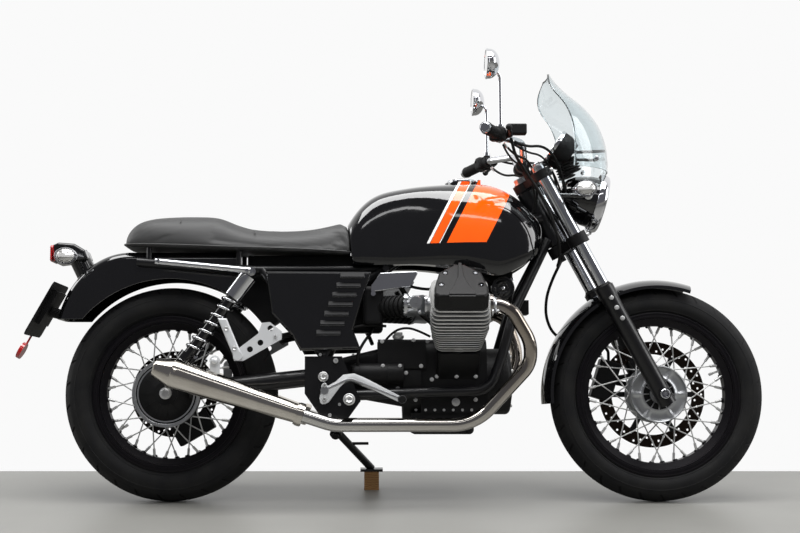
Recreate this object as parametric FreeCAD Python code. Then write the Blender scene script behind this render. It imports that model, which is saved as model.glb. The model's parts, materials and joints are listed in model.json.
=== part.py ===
import FreeCAD, Part
import math
import os

# Roadster motorcycle with a transverse V twin, shaft drive and wire wheels, parked on its side stand.
# Modelled upright: x forward from the rear axle, y to the rider's left, z up from the tyres' contact line.
# The finished pieces are then leant over onto the stand and set about the origin.

# Stance
LEAN_DEG = 6.0
WHEELBASE = 1449.0
RAKE_DEG = 28.0
FORK_OFFSET = 50.0
RUNNING_FIT = 0.3
FACE_FIT = 1.0
CUT_OVERRUN = 20.0

# Wheels
REAR_TYRE_RADIUS = 318.0
REAR_TYRE_WIDTH = 130.0
REAR_BEAD_RADIUS = 216.0
REAR_RIM_WIDTH = 92.0
FRONT_TYRE_RADIUS = 317.0
FRONT_TYRE_WIDTH = 100.0
FRONT_BEAD_RADIUS = 228.0
FRONT_RIM_WIDTH = 78.0
TYRE_WALL = 9.0
RIM_FLANGE_HEIGHT = 14.0
RIM_WALL = 4.0
RIM_WELL_DEPTH = 20.0
RIM_WELL_WIDTH = 34.0
SPOKE_DIAMETER = 4.0
SPOKE_PAIRS = 9
SPOKE_SPLAY = 5.0
SPOKE_CROSSING_DEG = 46.0
NIPPLE_DIAMETER = 8.0
NIPPLE_LENGTH = 16.0
FLANGE_THICKNESS = 15.0
FRONT_FLANGE_RADIUS = 83.0
REAR_FLANGE_RADIUS = 74.0
FLANGE_SPREAD = 28.0
HUB_BARREL_RADIUS = 44.0
HUB_BOSS_RADIUS = 27.0
HUB_END_SPREAD = 50.0
HUB_RIB_COUNT = 12
HUB_RIB_WIDTH = 5.0
AXLE_DIAMETER = 20.0
AXLE_NUT_DIAMETER = 34.0
AXLE_NUT_LENGTH = 14.0
TYRE_SHOULDER_DROP_SHARE = 0.07
TYRE_SHOULDER_WIDTH_SHARE = 0.86
TYRE_WIDEST_SHARE = 0.52

# Brakes
FRONT_DISC_RADIUS = 160.0
FRONT_DISC_TRACK = 38.0
REAR_DISC_RADIUS = 130.0
REAR_DISC_TRACK = 32.0
DISC_THICKNESS = 5.0
DISC_OFFSET = 60.0
DISC_HOLE_DIAMETER = 7.0
DISC_HOLE_ROWS = 3
DISC_HOLE_GROUPS = 16
CARRIER_ARM_WIDTH = 16.0
CARRIER_ARMS = 6
CARRIER_RING_WIDTH = 10.0
CALIPER_LENGTH = 120.0
CALIPER_WIDTH = 64.0
CALIPER_INBOARD = 22.0
CALIPER_OUTBOARD = 34.0
CALIPER_BRIDGE = 14.0
CALIPER_CLEARANCE = 5.0
CALIPER_ARM_DIAMETER = 16.0
CALIPER_ARM_SPREAD = 46.0
FRONT_CALIPER_ANGLE_DEG = 163.0
REAR_CALIPER_ANGLE_DEG = 300.0

# Fork and steering head
FORK_SPREAD = 100.0
STANCHION_DIAMETER = 40.0
FORK_TOP_ALONG = 760.0
UPPER_YOKE_ALONG = 735.0
UPPER_YOKE_THICKNESS = 26.0
LOWER_YOKE_ALONG = 515.0
LOWER_YOKE_THICKNESS = 34.0
YOKE_CLAMP_DIAMETER = 62.0
YOKE_WEB_WIDTH = 56.0
YOKE_WEB_STEP = 3.0
SLIDER_DIAMETER = 52.0
SLIDER_TOP_ALONG = 345.0
SLIDER_COLLAR_HEIGHT = 22.0
SLIDER_FOOT_ALONG = 34.0
STEM_DIAMETER = 28.0
HEAD_TUBE_DIAMETER = 58.0
HEAD_TUBE_CLEARANCE = 3.0

# Brake hose
HOSE_DIAMETER = 9.0
HOSE_END_LENGTH = 40.0
UNION_DIAMETER = 20.0
UNION_LENGTH = 18.0
HOSE_UPPER_ROUTE = (
    (1012.0, -226.0, 1002.0),
    (1050.0, -178.0, 958.0),
    (1095.0, -156.0, 898.0),
    (1127.0, -153.0, 830.0),
    (1146.0, -146.0, 762.0),
    (1154.0, -102.0, 712.0),
    (1152.0, -46.0, 692.0),
)
HOSE_LOWER_ROUTE = (
    (1146.0, 12.0, 664.0),
    (1130.0, 36.0, 612.0),
    (1130.0, 60.0, 556.0),
    (1152.0, 84.0, 506.0),
    (1202.0, 97.0, 474.0),
    (1264.0, 95.0, 470.0),
)

# Headlamp, clocks and screen
HEADLAMP_DIAMETER = 178.0
HEADLAMP_DEPTH = 118.0
HEADLAMP_RIM_WIDTH = 11.0
HEADLAMP_RIM_DEPTH = 16.0
HEADLAMP_GLASS_BULGE = 22.0
HEADLAMP_X = 1281.0
HEADLAMP_Z = 894.0
HEADLAMP_DIP_DEG = 15.0
HEADLAMP_EAR_DIAMETER = 22.0
CLOCK_DIAMETER = 92.0
CLOCK_DEPTH = 58.0
CLOCK_SPREAD = 55.0
CLOCK_X = 1153.0
CLOCK_Z = 1066.0
CLOCK_TILT_DEG = 34.0
CLOCK_GLASS_RECESS = 3.0
CLOCK_STALK_RISE = 30.0
CLOCK_STALK_DIAMETER = 9.0
SCREEN_THICKNESS = 3.5
SCREEN_HALF_WIDTH = 178.0
SCREEN_BOTTOM_Z = 984.0
SCREEN_HEIGHT = 297.0
SCREEN_FRONT_X = 1318.0
SCREEN_WRAP = 121.0
SCREEN_SWEEP = 179.0

# Handlebar and controls
BAR_DIAMETER = 22.0
BAR_BEND_RADIUS = 45.0
BAR_HALF_WIDTH = 385.0
BAR_END_X = 913.0
BAR_END_Z = 1052.0
BAR_GRIP_X = 982.0
BAR_GRIP_Z = 1061.0
BAR_GRIP_RUN = 192.0
BAR_GRIP_HALF = BAR_HALF_WIDTH - BAR_GRIP_RUN
BAR_SHOULDER_X = 1046.0
BAR_SHOULDER_Z = 1058.0
BAR_SHOULDER_SHARE = 0.61
BAR_SHOULDER_HALF = BAR_GRIP_HALF * BAR_SHOULDER_SHARE
BAR_CLAMP_HALF = 62.0
BAR_CLAMP_RISE = 44.0
BAR_CLAMP_WIDTH = 24.0
BAR_RISER_DIAMETER = 25.0
BAR_CLAMP_DIAMETER = 42.0
GRIP_DIAMETER = 34.0
GRIP_LENGTH = 118.0
BAR_END_DIAMETER = 30.0
BAR_END_LENGTH = 16.0
SWITCH_DIAMETER = 44.0
SWITCH_LENGTH = 30.0
PERCH_LENGTH = 24.0
RESERVOIR_LENGTH = 56.0
RESERVOIR_WIDTH = 34.0
RESERVOIR_HEIGHT = 30.0
LEVER_DIAMETER = 12.0
LEVER_REACH = 62.0
LEVER_BALL_DIAMETER = 19.0
MIRROR_STEM_DIAMETER = 10.0
MIRROR_STEM_HEIGHT = 156.0
MIRROR_HEAD_WIDTH = 118.0
MIRROR_HEAD_HEIGHT = 84.0
MIRROR_HEAD_DEPTH = 30.0
MIRROR_HEAD_BACK = 34.0
MIRROR_HEAD_RISE = 26.0
MIRROR_HEAD_OUT = 34.0
MIRROR_BEND_RADIUS = 16.0

# Front fender
FENDER_RADIUS = 343.0
FENDER_HALF_WIDTH = 62.0
FENDER_SHEET = 2.5
FENDER_SKIRT = 30.0
FENDER_FRONT_DEG = 72.0
FENDER_REAR_DEG = 185.0
FENDER_STAY_DIAMETER = 10.0

# Indicators
INDICATOR_LENGTH = 66.0
INDICATOR_HEIGHT = 50.0
INDICATOR_WIDTH = 46.0
INDICATOR_STALK_DIAMETER = 13.0
FRONT_INDICATOR_X = 1226.0
FRONT_INDICATOR_Z = 916.0
FRONT_INDICATOR_Y = 150.0
REAR_INDICATOR_X = -300.0
REAR_INDICATOR_Z = 719.0
REAR_INDICATOR_Y = 130.0

# Engine
CRANK_X = 849.0
CRANK_Z = 355.0
LEFT_CYLINDER_LEAD = 24.0
CYLINDER_ANGLE_DEG = 45.0
DECK_ALONG = 172.0
HEAD_ALONG = 262.0
COVER_ALONG = 346.0
COVER_THICKNESS = 52.0
COVER_LENGTH = 152.0
COVER_HEIGHT = 142.0
COVER_RIB_HEIGHT = 8.0
COVER_EDGE_ROUND = 9.0
COVER_SEAT_DIAMETER = 18.0
BARREL_RADIUS = 56.0
HEAD_CORE_LENGTH = 118.0
HEAD_CORE_HEIGHT = 112.0
FIN_THICKNESS = 5.0
BARREL_FIN_THICKNESS = 3.2
BARREL_FIN_COUNT = 9
FIN_LENGTH = 172.0
FIN_HEIGHT = 148.0
FIN_CORNER = 24.0
CASE_REAR_X = 742.0
CASE_FRONT_X = 936.0
CASE_HALF_WIDTH = 98.0
CASE_BOTTOM_Z = 262.0
CASE_TOP_Z = 478.0
DECK_LENGTH = 126.0
DECK_HEIGHT = 132.0
SUMP_REAR_X = 712.0
SUMP_FRONT_X = 898.0
SUMP_HALF_WIDTH = 88.0
SUMP_BOTTOM_Z = 199.0
SUMP_FIN_COUNT = 8
SUMP_FIN_DEPTH = 9.0
SUMP_FIN_WIDTH = 6.0
ALTERNATOR_RADIUS = 98.0
ALTERNATOR_LENGTH = 74.0
BELL_RADIUS = 112.0
BELL_LENGTH = 52.0
BELL_COVER_REAR_X = 616.0
BELL_COVER_HALF_WIDTH = 114.0
BELL_COVER_BOTTOM_Z = 388.0
BELL_COVER_TOP_Z = 476.0
GEARBOX_REAR_X = 512.0
GEARBOX_HALF_WIDTH = 92.0
GEARBOX_REAR_HALF_WIDTH = 66.0
GEARBOX_TOP_Z = 468.0
GEARBOX_BOTTOM_Z = 280.0
GEARBOX_REAR_TOP_Z = 425.0
GEARBOX_REAR_BOTTOM_Z = 312.0
STARTER_DIAMETER = 60.0
STARTER_LENGTH = 148.0
STARTER_Z = 376.0
CASTING_ROUND = 14.0

# Intake
INTAKE_BODY_DIAMETER = 58.0
INTAKE_BODY_LENGTH = 56.0
INTAKE_STUB_DIAMETER = 46.0
INTAKE_STUB_LENGTH = 14.0
BOOT_DIAMETER = 58.0
BOOT_GROOVE_DEPTH = 4.0
BOOT_RIB_COUNT = 6
AIRBOX_REAR_X = 455.0
AIRBOX_FRONT_X = 632.0
AIRBOX_HALF_WIDTH = 40.0
AIRBOX_BOTTOM_Z = 500.0
AIRBOX_TOP_Z = 668.0
AIRBOX_CHEEK_REAR_X = 572.0
AIRBOX_CHEEK_HALF_WIDTH = 134.0
AIRBOX_CHEEK_BOTTOM_Z = 518.0
AIRBOX_CHEEK_TOP_Z = 632.0

# Exhaust
HEADER_DIAMETER = 39.0
HEADER_WALL = 2.0
HEADER_BEND_RADIUS = 150.0
HEADER_FLANGE_DIAMETER = 66.0
HEADER_FLANGE_LENGTH = 9.0
HEADER_FRONT_X = 1053.0
HEADER_BROW_RUN = 33.0
HEADER_BROW_DROP = 19.0
HEADER_SHOULDER_Z = 464.0
HEADER_LOW_Z = 227.0
HEADER_LOW_Y = 172.0
HEADER_KNEE_Z = 400.0
HEADER_TOE_X = 893.0
SILENCER_FRONT_X = 402.0
SILENCER_FRONT_Z = 254.0
SILENCER_REAR_X = -23.0
SILENCER_REAR_Z = 391.0
SILENCER_Y = 210.0
SILENCER_FRONT_DIAMETER = 55.0
SILENCER_DIAMETER = 88.0
SILENCER_TIP_DIAMETER = 50.0
SILENCER_TIP_LENGTH = 52.0
SILENCER_WALL = 3.0
SILENCER_CLAMP_DIAMETER = 64.0
SILENCER_CLAMP_LENGTH = 22.0

# Fuel tank
TANK_FRONT_X = 1115.0
TANK_LENGTH = 590.0
TANK_REAR_X = TANK_FRONT_X - TANK_LENGTH
TANK_BOTTOM_Z = 697.0
TANK_HEIGHT = 254.0
TANK_HALF_WIDTH = 152.0
TUNNEL_HALF_WIDTH = 72.0
TUNNEL_REAR_HEIGHT = 74.0
TUNNEL_FRONT_HEIGHT = 196.0
HEAD_RELIEF_RADIUS = 44.0
CAP_DIAMETER = 90.0
CAP_THICKNESS = 7.0
CAP_X = 873.0
CAP_RISE = 10.0
CAP_PLUG_DIAMETER = 44.0
CAP_PLUG_LENGTH = 16.0
CAP_COLLAR_DIAMETER = 104.0
CAP_HINGE_DIAMETER = 9.0
CAP_HINGE_WIDTH = 26.0
CAP_PIN_DIAMETER = 4.0

# Seat
SEAT_REAR_X = -137.0
SEAT_BOTTOM_Z = 728.0
SEAT_BOTTOM_RISE = 24.0
SEAT_HEIGHT = 114.0
SEAT_HALF_WIDTH = 124.0
SOFT_CLEARANCE = 0.4

# Side covers and chrome covers
SIDE_COVER_Y = 158.0
SIDE_COVER_DEPTH = 16.0
SIDE_PEG_REAR_X = 364.5
SIDE_PEG_REAR_Z = 553.5
SIDE_PEG_FRONT_X = 503.0
SIDE_PEG_FRONT_Z = 520.0
SIDE_COVER_PEG_DIAMETER = 14.0
SIDE_COVER_SHEET = 3.0
SIDE_COVER_REAR_X = 288.0
SIDE_COVER_LENGTH = 308.0
SIDE_COVER_BOTTOM_Z = 441.0
SIDE_COVER_HEIGHT = 232.0
SIDE_COVER_ROUND = 8.0
LOUVRE_COUNT = 7
LOUVRE_THICKNESS = 17.0
LOUVRE_PROUD = 9.0
CHROME_COVER_Y = 150.0
CHROME_COVER_REAR_X = 595.0
CHROME_COVER_LENGTH = 138.0
CHROME_COVER_BOTTOM_Z = 612.0
CHROME_COVER_HEIGHT = 61.0
CHROME_COVER_THICKNESS = 5.0
CHROME_BOLT_DIAMETER = 14.0

# Frame
SPINE_TUBE_DIAMETER = 32.0
RAIL_TUBE_DIAMETER = 26.0
CRADLE_TUBE_DIAMETER = 30.0
TUBE_BEND_RADIUS = 70.0
SPINE_FRONT_HALF = 24.0
SPINE_MID_HALF = 44.0
SPINE_MID_X = 700.0
SPINE_MID_Z = 738.0
SPINE_DROP_X = 560.0
SPINE_DROP_Z = 640.0
SPINE_DROP_HALF = 60.0
FRAME_FOOT_HALF = 128.0
PIVOT_X = 457.0
PIVOT_Z = 371.0
PIVOT_CLEARANCE = 4.0
PIVOT_DIAMETER = 28.0
PIVOT_PLATE_THICKNESS = 8.0
RAIL_HALF_WIDTH = 98.0
RAIL_MID_X = 246.0
RAIL_MID_Z = 682.0
RAIL_REAR_X = -96.0
RAIL_REAR_Z = 706.0
RAIL_CROSS_GAP = 12.0
SEAT_REST_REAR_X = -60.0
SEAT_REST_FRONT_X = 205.0
SEAT_REST_DIAMETER = 16.0
FENDER_TAB_REAR_X = -80.0
FENDER_TAB_FRONT_X = 160.0
TANK_REST_X = 640.0
TANK_REST_HALF = 96.0
TANK_REST_DIAMETER = 18.0
RAIL_TAB_DIAMETER = 14.0
CRADLE_TOP_HALF = 30.0
CRADLE_HALF_WIDTH = 126.0
CRADLE_KNEE_X = 1022.0
CRADLE_KNEE_Z = 571.0
CRADLE_KNEE_HALF = 84.0
CRADLE_SHIN_X = 984.0
CRADLE_SHIN_Z = 440.0
CRADLE_FOOT_X = 942.0
CRADLE_FOOT_Z = 326.0
CRADLE_REAR_Z = 314.0
CRADLE_MOUNT_DIAMETER = 22.0

# Swingarm, drive and shocks
ARM_Y = 106.0
ARM_DIAMETER = 54.0
ARM_REAR_DIAMETER = 46.0
ARM_CROSS_X = 372.0
LUG_HALF_WIDTH = 15.0
DRIVE_RADIUS = 98.0
DRIVE_INNER_Y = 78.0
DRIVE_DEPTH = 58.0
DRIVE_RING_DEPTH = 16.0
DRIVE_NOSE_X = 128.0
DRIVE_RIB_COUNT = 12
DRIVE_RIB_WIDTH = 5.0
DRIVE_RIB_RISE = 4.0
SHOCK_Y = 140.0
SHOCK_TOP_X = 246.0
SHOCK_TOP_Z = 672.0
SHOCK_LOW_X = 43.0
SHOCK_LOW_Z = 400.0
SHOCK_EYE_DIAMETER = 30.0
SHOCK_EYE_WIDTH = 24.0
SHOCK_CAN_DIAMETER = 56.0
SHOCK_BODY_DIAMETER = 34.0
SHOCK_COLLAR_DIAMETER = 52.0
SHOCK_SPRING_DIAMETER = 50.0
SHOCK_WIRE_DIAMETER = 8.0
SHOCK_SPRING_TURNS = 7
SHOCK_BOLT_DIAMETER = 12.0
SHOCK_CAN_LENGTH = 78.0
SHOCK_COLLAR_LENGTH = 24.0
RAIL_CHROME_Y = 180.0
RAIL_CHROME_REAR_X = -30.0
RAIL_CHROME_REAR_Z = 699.0
RAIL_CHROME_DIAMETER = 18.0

# Rear fender, lamp and plate
REAR_FENDER_HALF_WIDTH = 80.0
REAR_FENDER_SHEET = 3.0
REAR_FENDER_ARCH_RADIUS = 340.0
REAR_FENDER_TAIL_X = -336.0
REAR_FENDER_TAIL_Z = 538.0
REAR_FENDER_FRONT_X = 196.0
REAR_FENDER_TOP_Z = 738.0
REAR_FENDER_ROUND = 26.0
TAIL_LAMP_X = -250.0
TAIL_LAMP_Z = 738.0
TAIL_LAMP_LENGTH = 113.0
TAIL_LAMP_ROUND = 9.0
TAIL_NECK_X = -262.0
TAIL_LAMP_WIDTH = 104.0
TAIL_LAMP_HEIGHT = 64.0
TAIL_NECK_LENGTH = 60.0
TAIL_NECK_WIDTH = 62.0
PLATE_WIDTH = 210.0
PLATE_HEIGHT = 178.0
PLATE_THICKNESS = 3.0
PLATE_TOP_X = -340.0
PLATE_TOP_Z = 648.0
PLATE_TILT_DEG = 29.0
PLATE_BRACKET_WIDTH = 120.0
REFLECTOR_DIAMETER = 52.0
REFLECTOR_THICKNESS = 8.0
PLATE_HOLE_DIAMETER = 6.5
PLATE_HOLE_SPREAD = 75.0

# Foot controls
PEG_X = 533.0
PEG_Z = 297.0
PEG_DIAMETER = 32.0
PEG_LENGTH = 92.0
PEG_INNER_Y = 158.0
PEG_CORE_DIAMETER = 16.0
PEDAL_Y = 190.0
PEDAL_WIDTH = 23.0
PEDAL_THICKNESS = 10.0
PEDAL_TIP_X = 684.0
PEDAL_TIP_Z = 300.0
PEDAL_HUMP_X = 534.0
PEDAL_HUMP_Z = 360.0
PEDAL_REAR_X = 462.0
PEDAL_REAR_Z = 326.0
PASSENGER_PEG_X = 213.0
PASSENGER_PEG_Z = 424.0
PASSENGER_PEG_LENGTH = 108.0
PASSENGER_BRACKET_Z = 500.0
PASSENGER_Y = 190.0
PASSENGER_LEAN_X = -46.0
PASSENGER_PEG_WIDTH = 26.0
PASSENGER_PEG_THICKNESS = 14.0
HANGER_REAR_X = 196.0
HANGER_LENGTH = 142.0
HANGER_BOTTOM_Z = 410.0
HANGER_HEIGHT = 112.0
HANGER_THICKNESS = 9.0
HANGER_HOLE_DIAMETER = 17.0

# Side stand
STAND_PIVOT_X = 490.0
STAND_PIVOT_Y = 132.0
STAND_PIVOT_Z = 206.0
STAND_FOOT_X = 599.0
STAND_FOOT_Y = 226.0
STAND_FOOT_Z = 88.0
STAND_LEG_DIAMETER = 24.0
STAND_FOOT_LENGTH = 70.0
STAND_FOOT_WIDTH = 40.0
STAND_FOOT_THICKNESS = 8.0
STAND_FORK_WIDTH = 34.0
STAND_TANG_LENGTH = 62.0
STAND_TANG_DIAMETER = 9.0
STAND_ROOM = 5.0
STAND_FOLDED_OUT_SHARE = 0.16
STAND_FOLDED_UP_SHARE = 0.05
BLOCK_LENGTH = 46.0
BLOCK_WIDTH = 46.0

# Horn
HORN_X = 985.0
HORN_Y = 96.0
HORN_Z = 628.0
HORN_DIAMETER = 68.0
HORN_DEPTH = 34.0
COIL_REAR_X = 922.0
COIL_FRONT_X = 1020.0
COIL_HALF_WIDTH = 46.0
COIL_BOTTOM_Z = 588.0
COIL_TOP_Z = 700.0
COIL_HANGER_LENGTH = 30.0
COIL_HANGER_HALF = 38.0
COIL_HANGER_Z = 806.0
REGULATOR_REAR_X = 1036.0
REGULATOR_LENGTH = 32.0
REGULATOR_HALF_WIDTH = 36.0
REGULATOR_HEIGHT = 42.0
REGULATOR_TOP_Z = 597.0

# Outlines, as shares of the sizes that they follow
TANK_STATION_SHARES = (
    # top x, top z, bottom x, bottom z, half width, waist
    (0.000, 0.500, 0.030, 0.020, 0.60, 0.98),
    (0.060, 0.700, 0.050, 0.004, 0.66, 0.96),
    (0.140, 0.850, 0.130, 0.000, 0.71, 0.92),
    (0.225, 0.915, 0.230, 0.000, 0.76, 0.88),
    (0.350, 0.962, 0.370, 0.000, 0.84, 0.87),
    (0.480, 0.986, 0.500, -0.030, 0.94, 0.93),
    (0.600, 0.996, 0.620, -0.090, 1.00, 0.99),
    (0.700, 0.985, 0.735, -0.140, 1.00, 1.00),
    (0.790, 0.925, 0.825, -0.080, 0.94, 1.00),
    (0.875, 0.800, 0.900, 0.020, 0.83, 1.00),
    (0.955, 0.620, 0.958, 0.150, 0.66, 1.00),
    (0.992, 0.470, 0.982, 0.270, 0.46, 1.00),
)
TANK_SECTION_SHARES = (
    # half width, height, how much of the waist it takes
    (0.93, 0.00, 0.3),
    (1.00, 0.10, 0.5),
    (1.02, 0.26, 0.8),
    (0.99, 0.48, 1.0),
    (0.88, 0.72, 0.8),
    (0.62, 0.92, 0.2),
    (0.32, 0.985, 0.0),
    (0.00, 1.00, 0.0),
)
SEAT_STATION_SHARES = (
    # top x, top z, bottom x, half width
    (0.000, 0.48, 0.000, 0.62),
    (0.020, 0.70, 0.018, 0.76),
    (0.055, 0.88, 0.052, 0.86),
    (0.105, 0.97, 0.100, 0.94),
    (0.200, 1.00, 0.200, 1.00),
    (0.335, 0.99, 0.335, 1.00),
    (0.425, 0.93, 0.425, 0.99),
    (0.480, 0.80, 0.480, 0.99),
    (0.545, 0.68, 0.545, 0.99),
    (0.640, 0.61, 0.640, 0.98),
    (0.740, 0.61, 0.742, 0.95),
    (0.850, 0.68, 0.855, 0.88),
    (0.920, 0.78, 0.930, 0.82),
    (0.978, 0.86, 1.000, 0.76),
)
SEAT_SECTION_SHARES = (
    # half width, height
    (0.95, 0.00),
    (1.00, 0.16),
    (0.98, 0.50),
    (0.86, 0.80),
    (0.50, 0.97),
    (0.00, 1.00),
)
SIDE_COVER_SHARES = (
    (0.00, 1.00),
    (1.00, 0.99),
    (0.83, 0.26),
    (0.90, 0.02),
    (0.33, 0.00),
    (0.25, 0.19),
    (0.06, 0.46),
)
COVER_SHARES = (
    # half length, height above the cover's middle
    (0.09, 0.50),
    (0.40, 0.25),
    (0.50, -0.20),
    (0.50, -0.42),
    (0.42, -0.50),
)
TONGUE_SHARES = (
    (0.03, 0.47),
    (0.055, 0.04),
    (0.15, -0.26),
    (0.24, -0.44),
    (0.24, -0.51),
)
LIP_SHARES = (
    # along the cover, down its lower side
    (-0.24, -0.10),
    (0.24, -0.10),
    (0.17, 0.62),
    (-0.17, 0.62),
)
COVER_BOLT_SHARES = (
    (0.285, 0.215),
    (0.37, -0.155),
)
HEAD_FIN_SHARES = (0.95, 0.985, 1.0, 1.0, 0.98, 0.945)
BARREL_FIN_SHARE = 0.80
TAIL_LAMP_SHARES = (
    (0.11, 0.00),
    (1.00, 0.19),
    (0.89, 0.66),
    (0.62, 0.94),
    (0.20, 1.00),
    (0.00, 0.84),
)
HANGER_SHARES = (
    (0.04, 0.00),
    (0.22, 0.00),
    (1.00, 0.56),
    (1.00, 0.76),
    (0.76, 1.00),
    (0.60, 0.98),
    (0.52, 0.70),
    (0.00, 0.20),
)
HANGER_HOLE_SHARES = (
    (0.36, 0.30),
    (0.57, 0.47),
    (0.77, 0.84),
)
HANGER_ARM_X_SHARE = 0.87
HANGER_ARM_Z_SHARE = 0.64
LOUVRE_TOP_X_SHARE = 0.705
LOUVRE_TOP_Z_SHARE = 0.975
LOUVRE_BOTTOM_X_SHARE = 0.48
LOUVRE_BOTTOM_Z_SHARE = 0.26
LOUVRE_LENGTH_SHARE = 0.235
BEND_RUN_SHARE = 0.90
BUCKET_ROUND_SHARE = 0.7
BUCKET_STEPS = 6
CHROME_COVER_SHARES = (
    (0.20, 0.92),
    (0.97, 1.00),
    (0.99, 0.88),
    (0.84, 0.26),
    (0.00, 0.00),
    (0.00, 0.30),
)
SCREEN_LEVEL_SHARES = (
    # height, how far the sweep has run, half width, wrap
    (0.000, 0.020, 0.92, 1.00),
    (0.200, 0.028, 0.99, 0.97),
    (0.450, 0.150, 1.00, 0.86),
    (0.640, 0.385, 0.97, 0.72),
    (0.800, 0.700, 0.86, 0.52),
    (0.930, 0.900, 0.62, 0.24),
    (1.000, 1.000, 0.30, 0.05),
)
REAR_FENDER_TOP_SHARES = (
    # along from the tail to the front, up from the tail to the top
    (0.000, 0.000),
    (0.030, 0.250),
    (0.078, 0.500),
    (0.165, 0.760),
    (0.270, 0.930),
    (0.400, 1.000),
    (1.000, 1.000),
)


def vec(x, y, z):
    return FreeCAD.Vector(x, y, z)


X_AXIS = vec(1, 0, 0)
Y_AXIS = vec(0, 1, 0)
Z_AXIS = vec(0, 0, 1)
ORIGIN = vec(0, 0, 0)
SIDES = (("right", -1), ("left", 1))


def fused(shapes):
    """One solid from overlapping or touching shapes."""
    first = shapes[0]
    if len(shapes) == 1:
        return first
    return first.fuse(shapes[1:]).removeSplitter()


def apart(shapes):
    """Solids that share a node and do not touch."""
    return Part.makeCompound([solid for shape in shapes for solid in shape.Solids])


def outermost(shape, sign):
    """The solid of a shape that lies farthest out on one side."""
    return max(shape.Solids, key=lambda solid: sign * solid.CenterOfMass.y)


def mirrored(shape):
    """The same shape on the other side of the mid plane."""
    return shape.mirror(ORIGIN, Y_AXIS)


def on_side(shape, sign):
    """A shape modelled on the left, kept there or mirrored to the right."""
    return shape if sign > 0 else mirrored(shape)


def rod(start, end, diameter, end_diameter=None):
    """A round bar, or a cone where the far end has its own diameter."""
    run = end - start
    if end_diameter is None or abs(end_diameter - diameter) < Part.Precision.confusion():
        return Part.makeCylinder(diameter / 2, run.Length, start, run)
    return Part.makeCone(diameter / 2, end_diameter / 2, run.Length, start, run)


def tube(start, end, outer, bore):
    """A straight tube, open at both ends."""
    return rod(start, end, outer).cut(rod(start, end, bore))


def box(x0, x1, y0, y1, z0, z1):
    """A block between two corners."""
    return Part.makeBox(x1 - x0, y1 - y0, z1 - z0, vec(x0, y0, z0))


def rounded(shape, radius, keep=None):
    """The shape with its edges rounded, or only those that keep() picks."""
    edges = [edge for edge in shape.Edges if keep is None or keep(edge)]
    return shape.makeFillet(radius, edges)


def along(edge, axis):
    """Whether a straight edge runs along an axis."""
    if len(edge.Vertexes) < 2:
        return False
    run = edge.Vertexes[1].Point - edge.Vertexes[0].Point
    return run.Length > 0 and abs(run.normalize().dot(axis)) > math.cos(math.radians(1))


def rounded_box(x0, x1, y0, y1, z0, z1, radius):
    """A block with every edge rounded."""
    return rounded(box(x0, x1, y0, y1, z0, z1), radius)


def bent_path(points, bend_radius):
    """Straight runs through the points, joined by tangent arcs."""
    edges = []
    start = points[0]
    for index in range(1, len(points) - 1):
        corner = points[index]
        back = (points[index - 1] - corner).normalize()
        ahead = (points[index + 1] - corner).normalize()
        half_turn = (math.pi - back.getAngle(ahead)) / 2
        shorter = min((points[index - 1] - corner).Length, (points[index + 1] - corner).Length)
        radius = min(bend_radius, shorter / 2 / math.tan(half_turn) * BEND_RUN_SHARE)
        reach = radius * math.tan(half_turn)
        entry = corner + back * reach
        leave = corner + ahead * reach
        middle = (back + ahead).normalize()
        summit = corner + middle * (radius / math.cos(half_turn) - radius)
        edges.append(Part.LineSegment(start, entry).toShape())
        edges.append(Part.Arc(entry, summit, leave).toShape())
        start = leave
    edges.append(Part.LineSegment(start, points[-1]).toShape())
    return Part.Wire(edges)


def bent_rod(points, bend_radius, diameter):
    """A round bar bent through the points."""
    path = bent_path(points, bend_radius)
    run = points[1] - points[0]
    profile = Part.Wire(Part.makeCircle(diameter / 2, points[0], run))
    return path.makePipeShell([profile], True, False)


def bent_tube(points, bend_radius, outer, bore):
    """A bent tube, open at both ends."""
    return bent_rod(points, bend_radius, outer).cut(bent_rod(points, bend_radius, bore))


def turned(profile, centre, axis):
    """A solid of revolution from (radius, along) points about an axis through centre."""
    points = [vec(radius, 0, height) for radius, height in profile]
    face = Part.Face(Part.makePolygon(points + [points[0]]))
    return placed(face.revolve(ORIGIN, Z_AXIS, 360), centre, axis)


def turned_wire(wire, centre, axis):
    """A solid of revolution from a closed wire in the (radius, along) plane."""
    return placed(Part.Face(wire).revolve(ORIGIN, Z_AXIS, 360), centre, axis)


def placed(shape, centre, axis):
    """The shape moved so that its own z axis lies on an axis through centre."""
    moved = shape.copy()
    moved.Placement = FreeCAD.Placement(centre, FreeCAD.Rotation(Z_AXIS, axis)) * moved.Placement
    return moved


def ring(centre, axis, outer, bore, depth):
    """A flat ring whose back face is at centre."""
    solid = Part.makeCylinder(outer, depth, centre, axis)
    return solid.cut(Part.makeCylinder(bore, depth, centre, axis))


def around(shape, count, centre, axis):
    """Copies of the shape spaced evenly round an axis."""
    copies = []
    for index in range(count):
        copy = shape.copy()
        copy.rotate(centre, axis, 360 / count * index)
        copies.append(copy)
    return copies


def arched_loop(half):
    """A closed wire: a smooth arch over the points of one side and their mirror images, and a flat base."""
    other = [vec(point.x, -point.y, point.z) for point in half[:-1]]
    curve = Part.BSplineCurve()
    curve.interpolate(half + other[::-1])
    base = Part.LineSegment(other[0], half[0]).toShape()
    return Part.Wire([curve.toShape(), base])


def plate(points, y0, y1):
    """An outline in the xz plane, given as (x, z), with its thickness across the bike."""
    corners = [vec(x, y0, z) for x, z in points]
    return Part.Face(Part.makePolygon(corners + [corners[0]])).extrude(vec(0, y1 - y0, 0))


def share_points(shares, x0, length, z0, height):
    """Outline points from shares of a length and a height."""
    return [(x0 + x_share * length, z0 + z_share * height) for x_share, z_share in shares]


# Places that several pieces share

def rear_axle():
    return vec(0, 0, REAR_TYRE_RADIUS)


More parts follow.
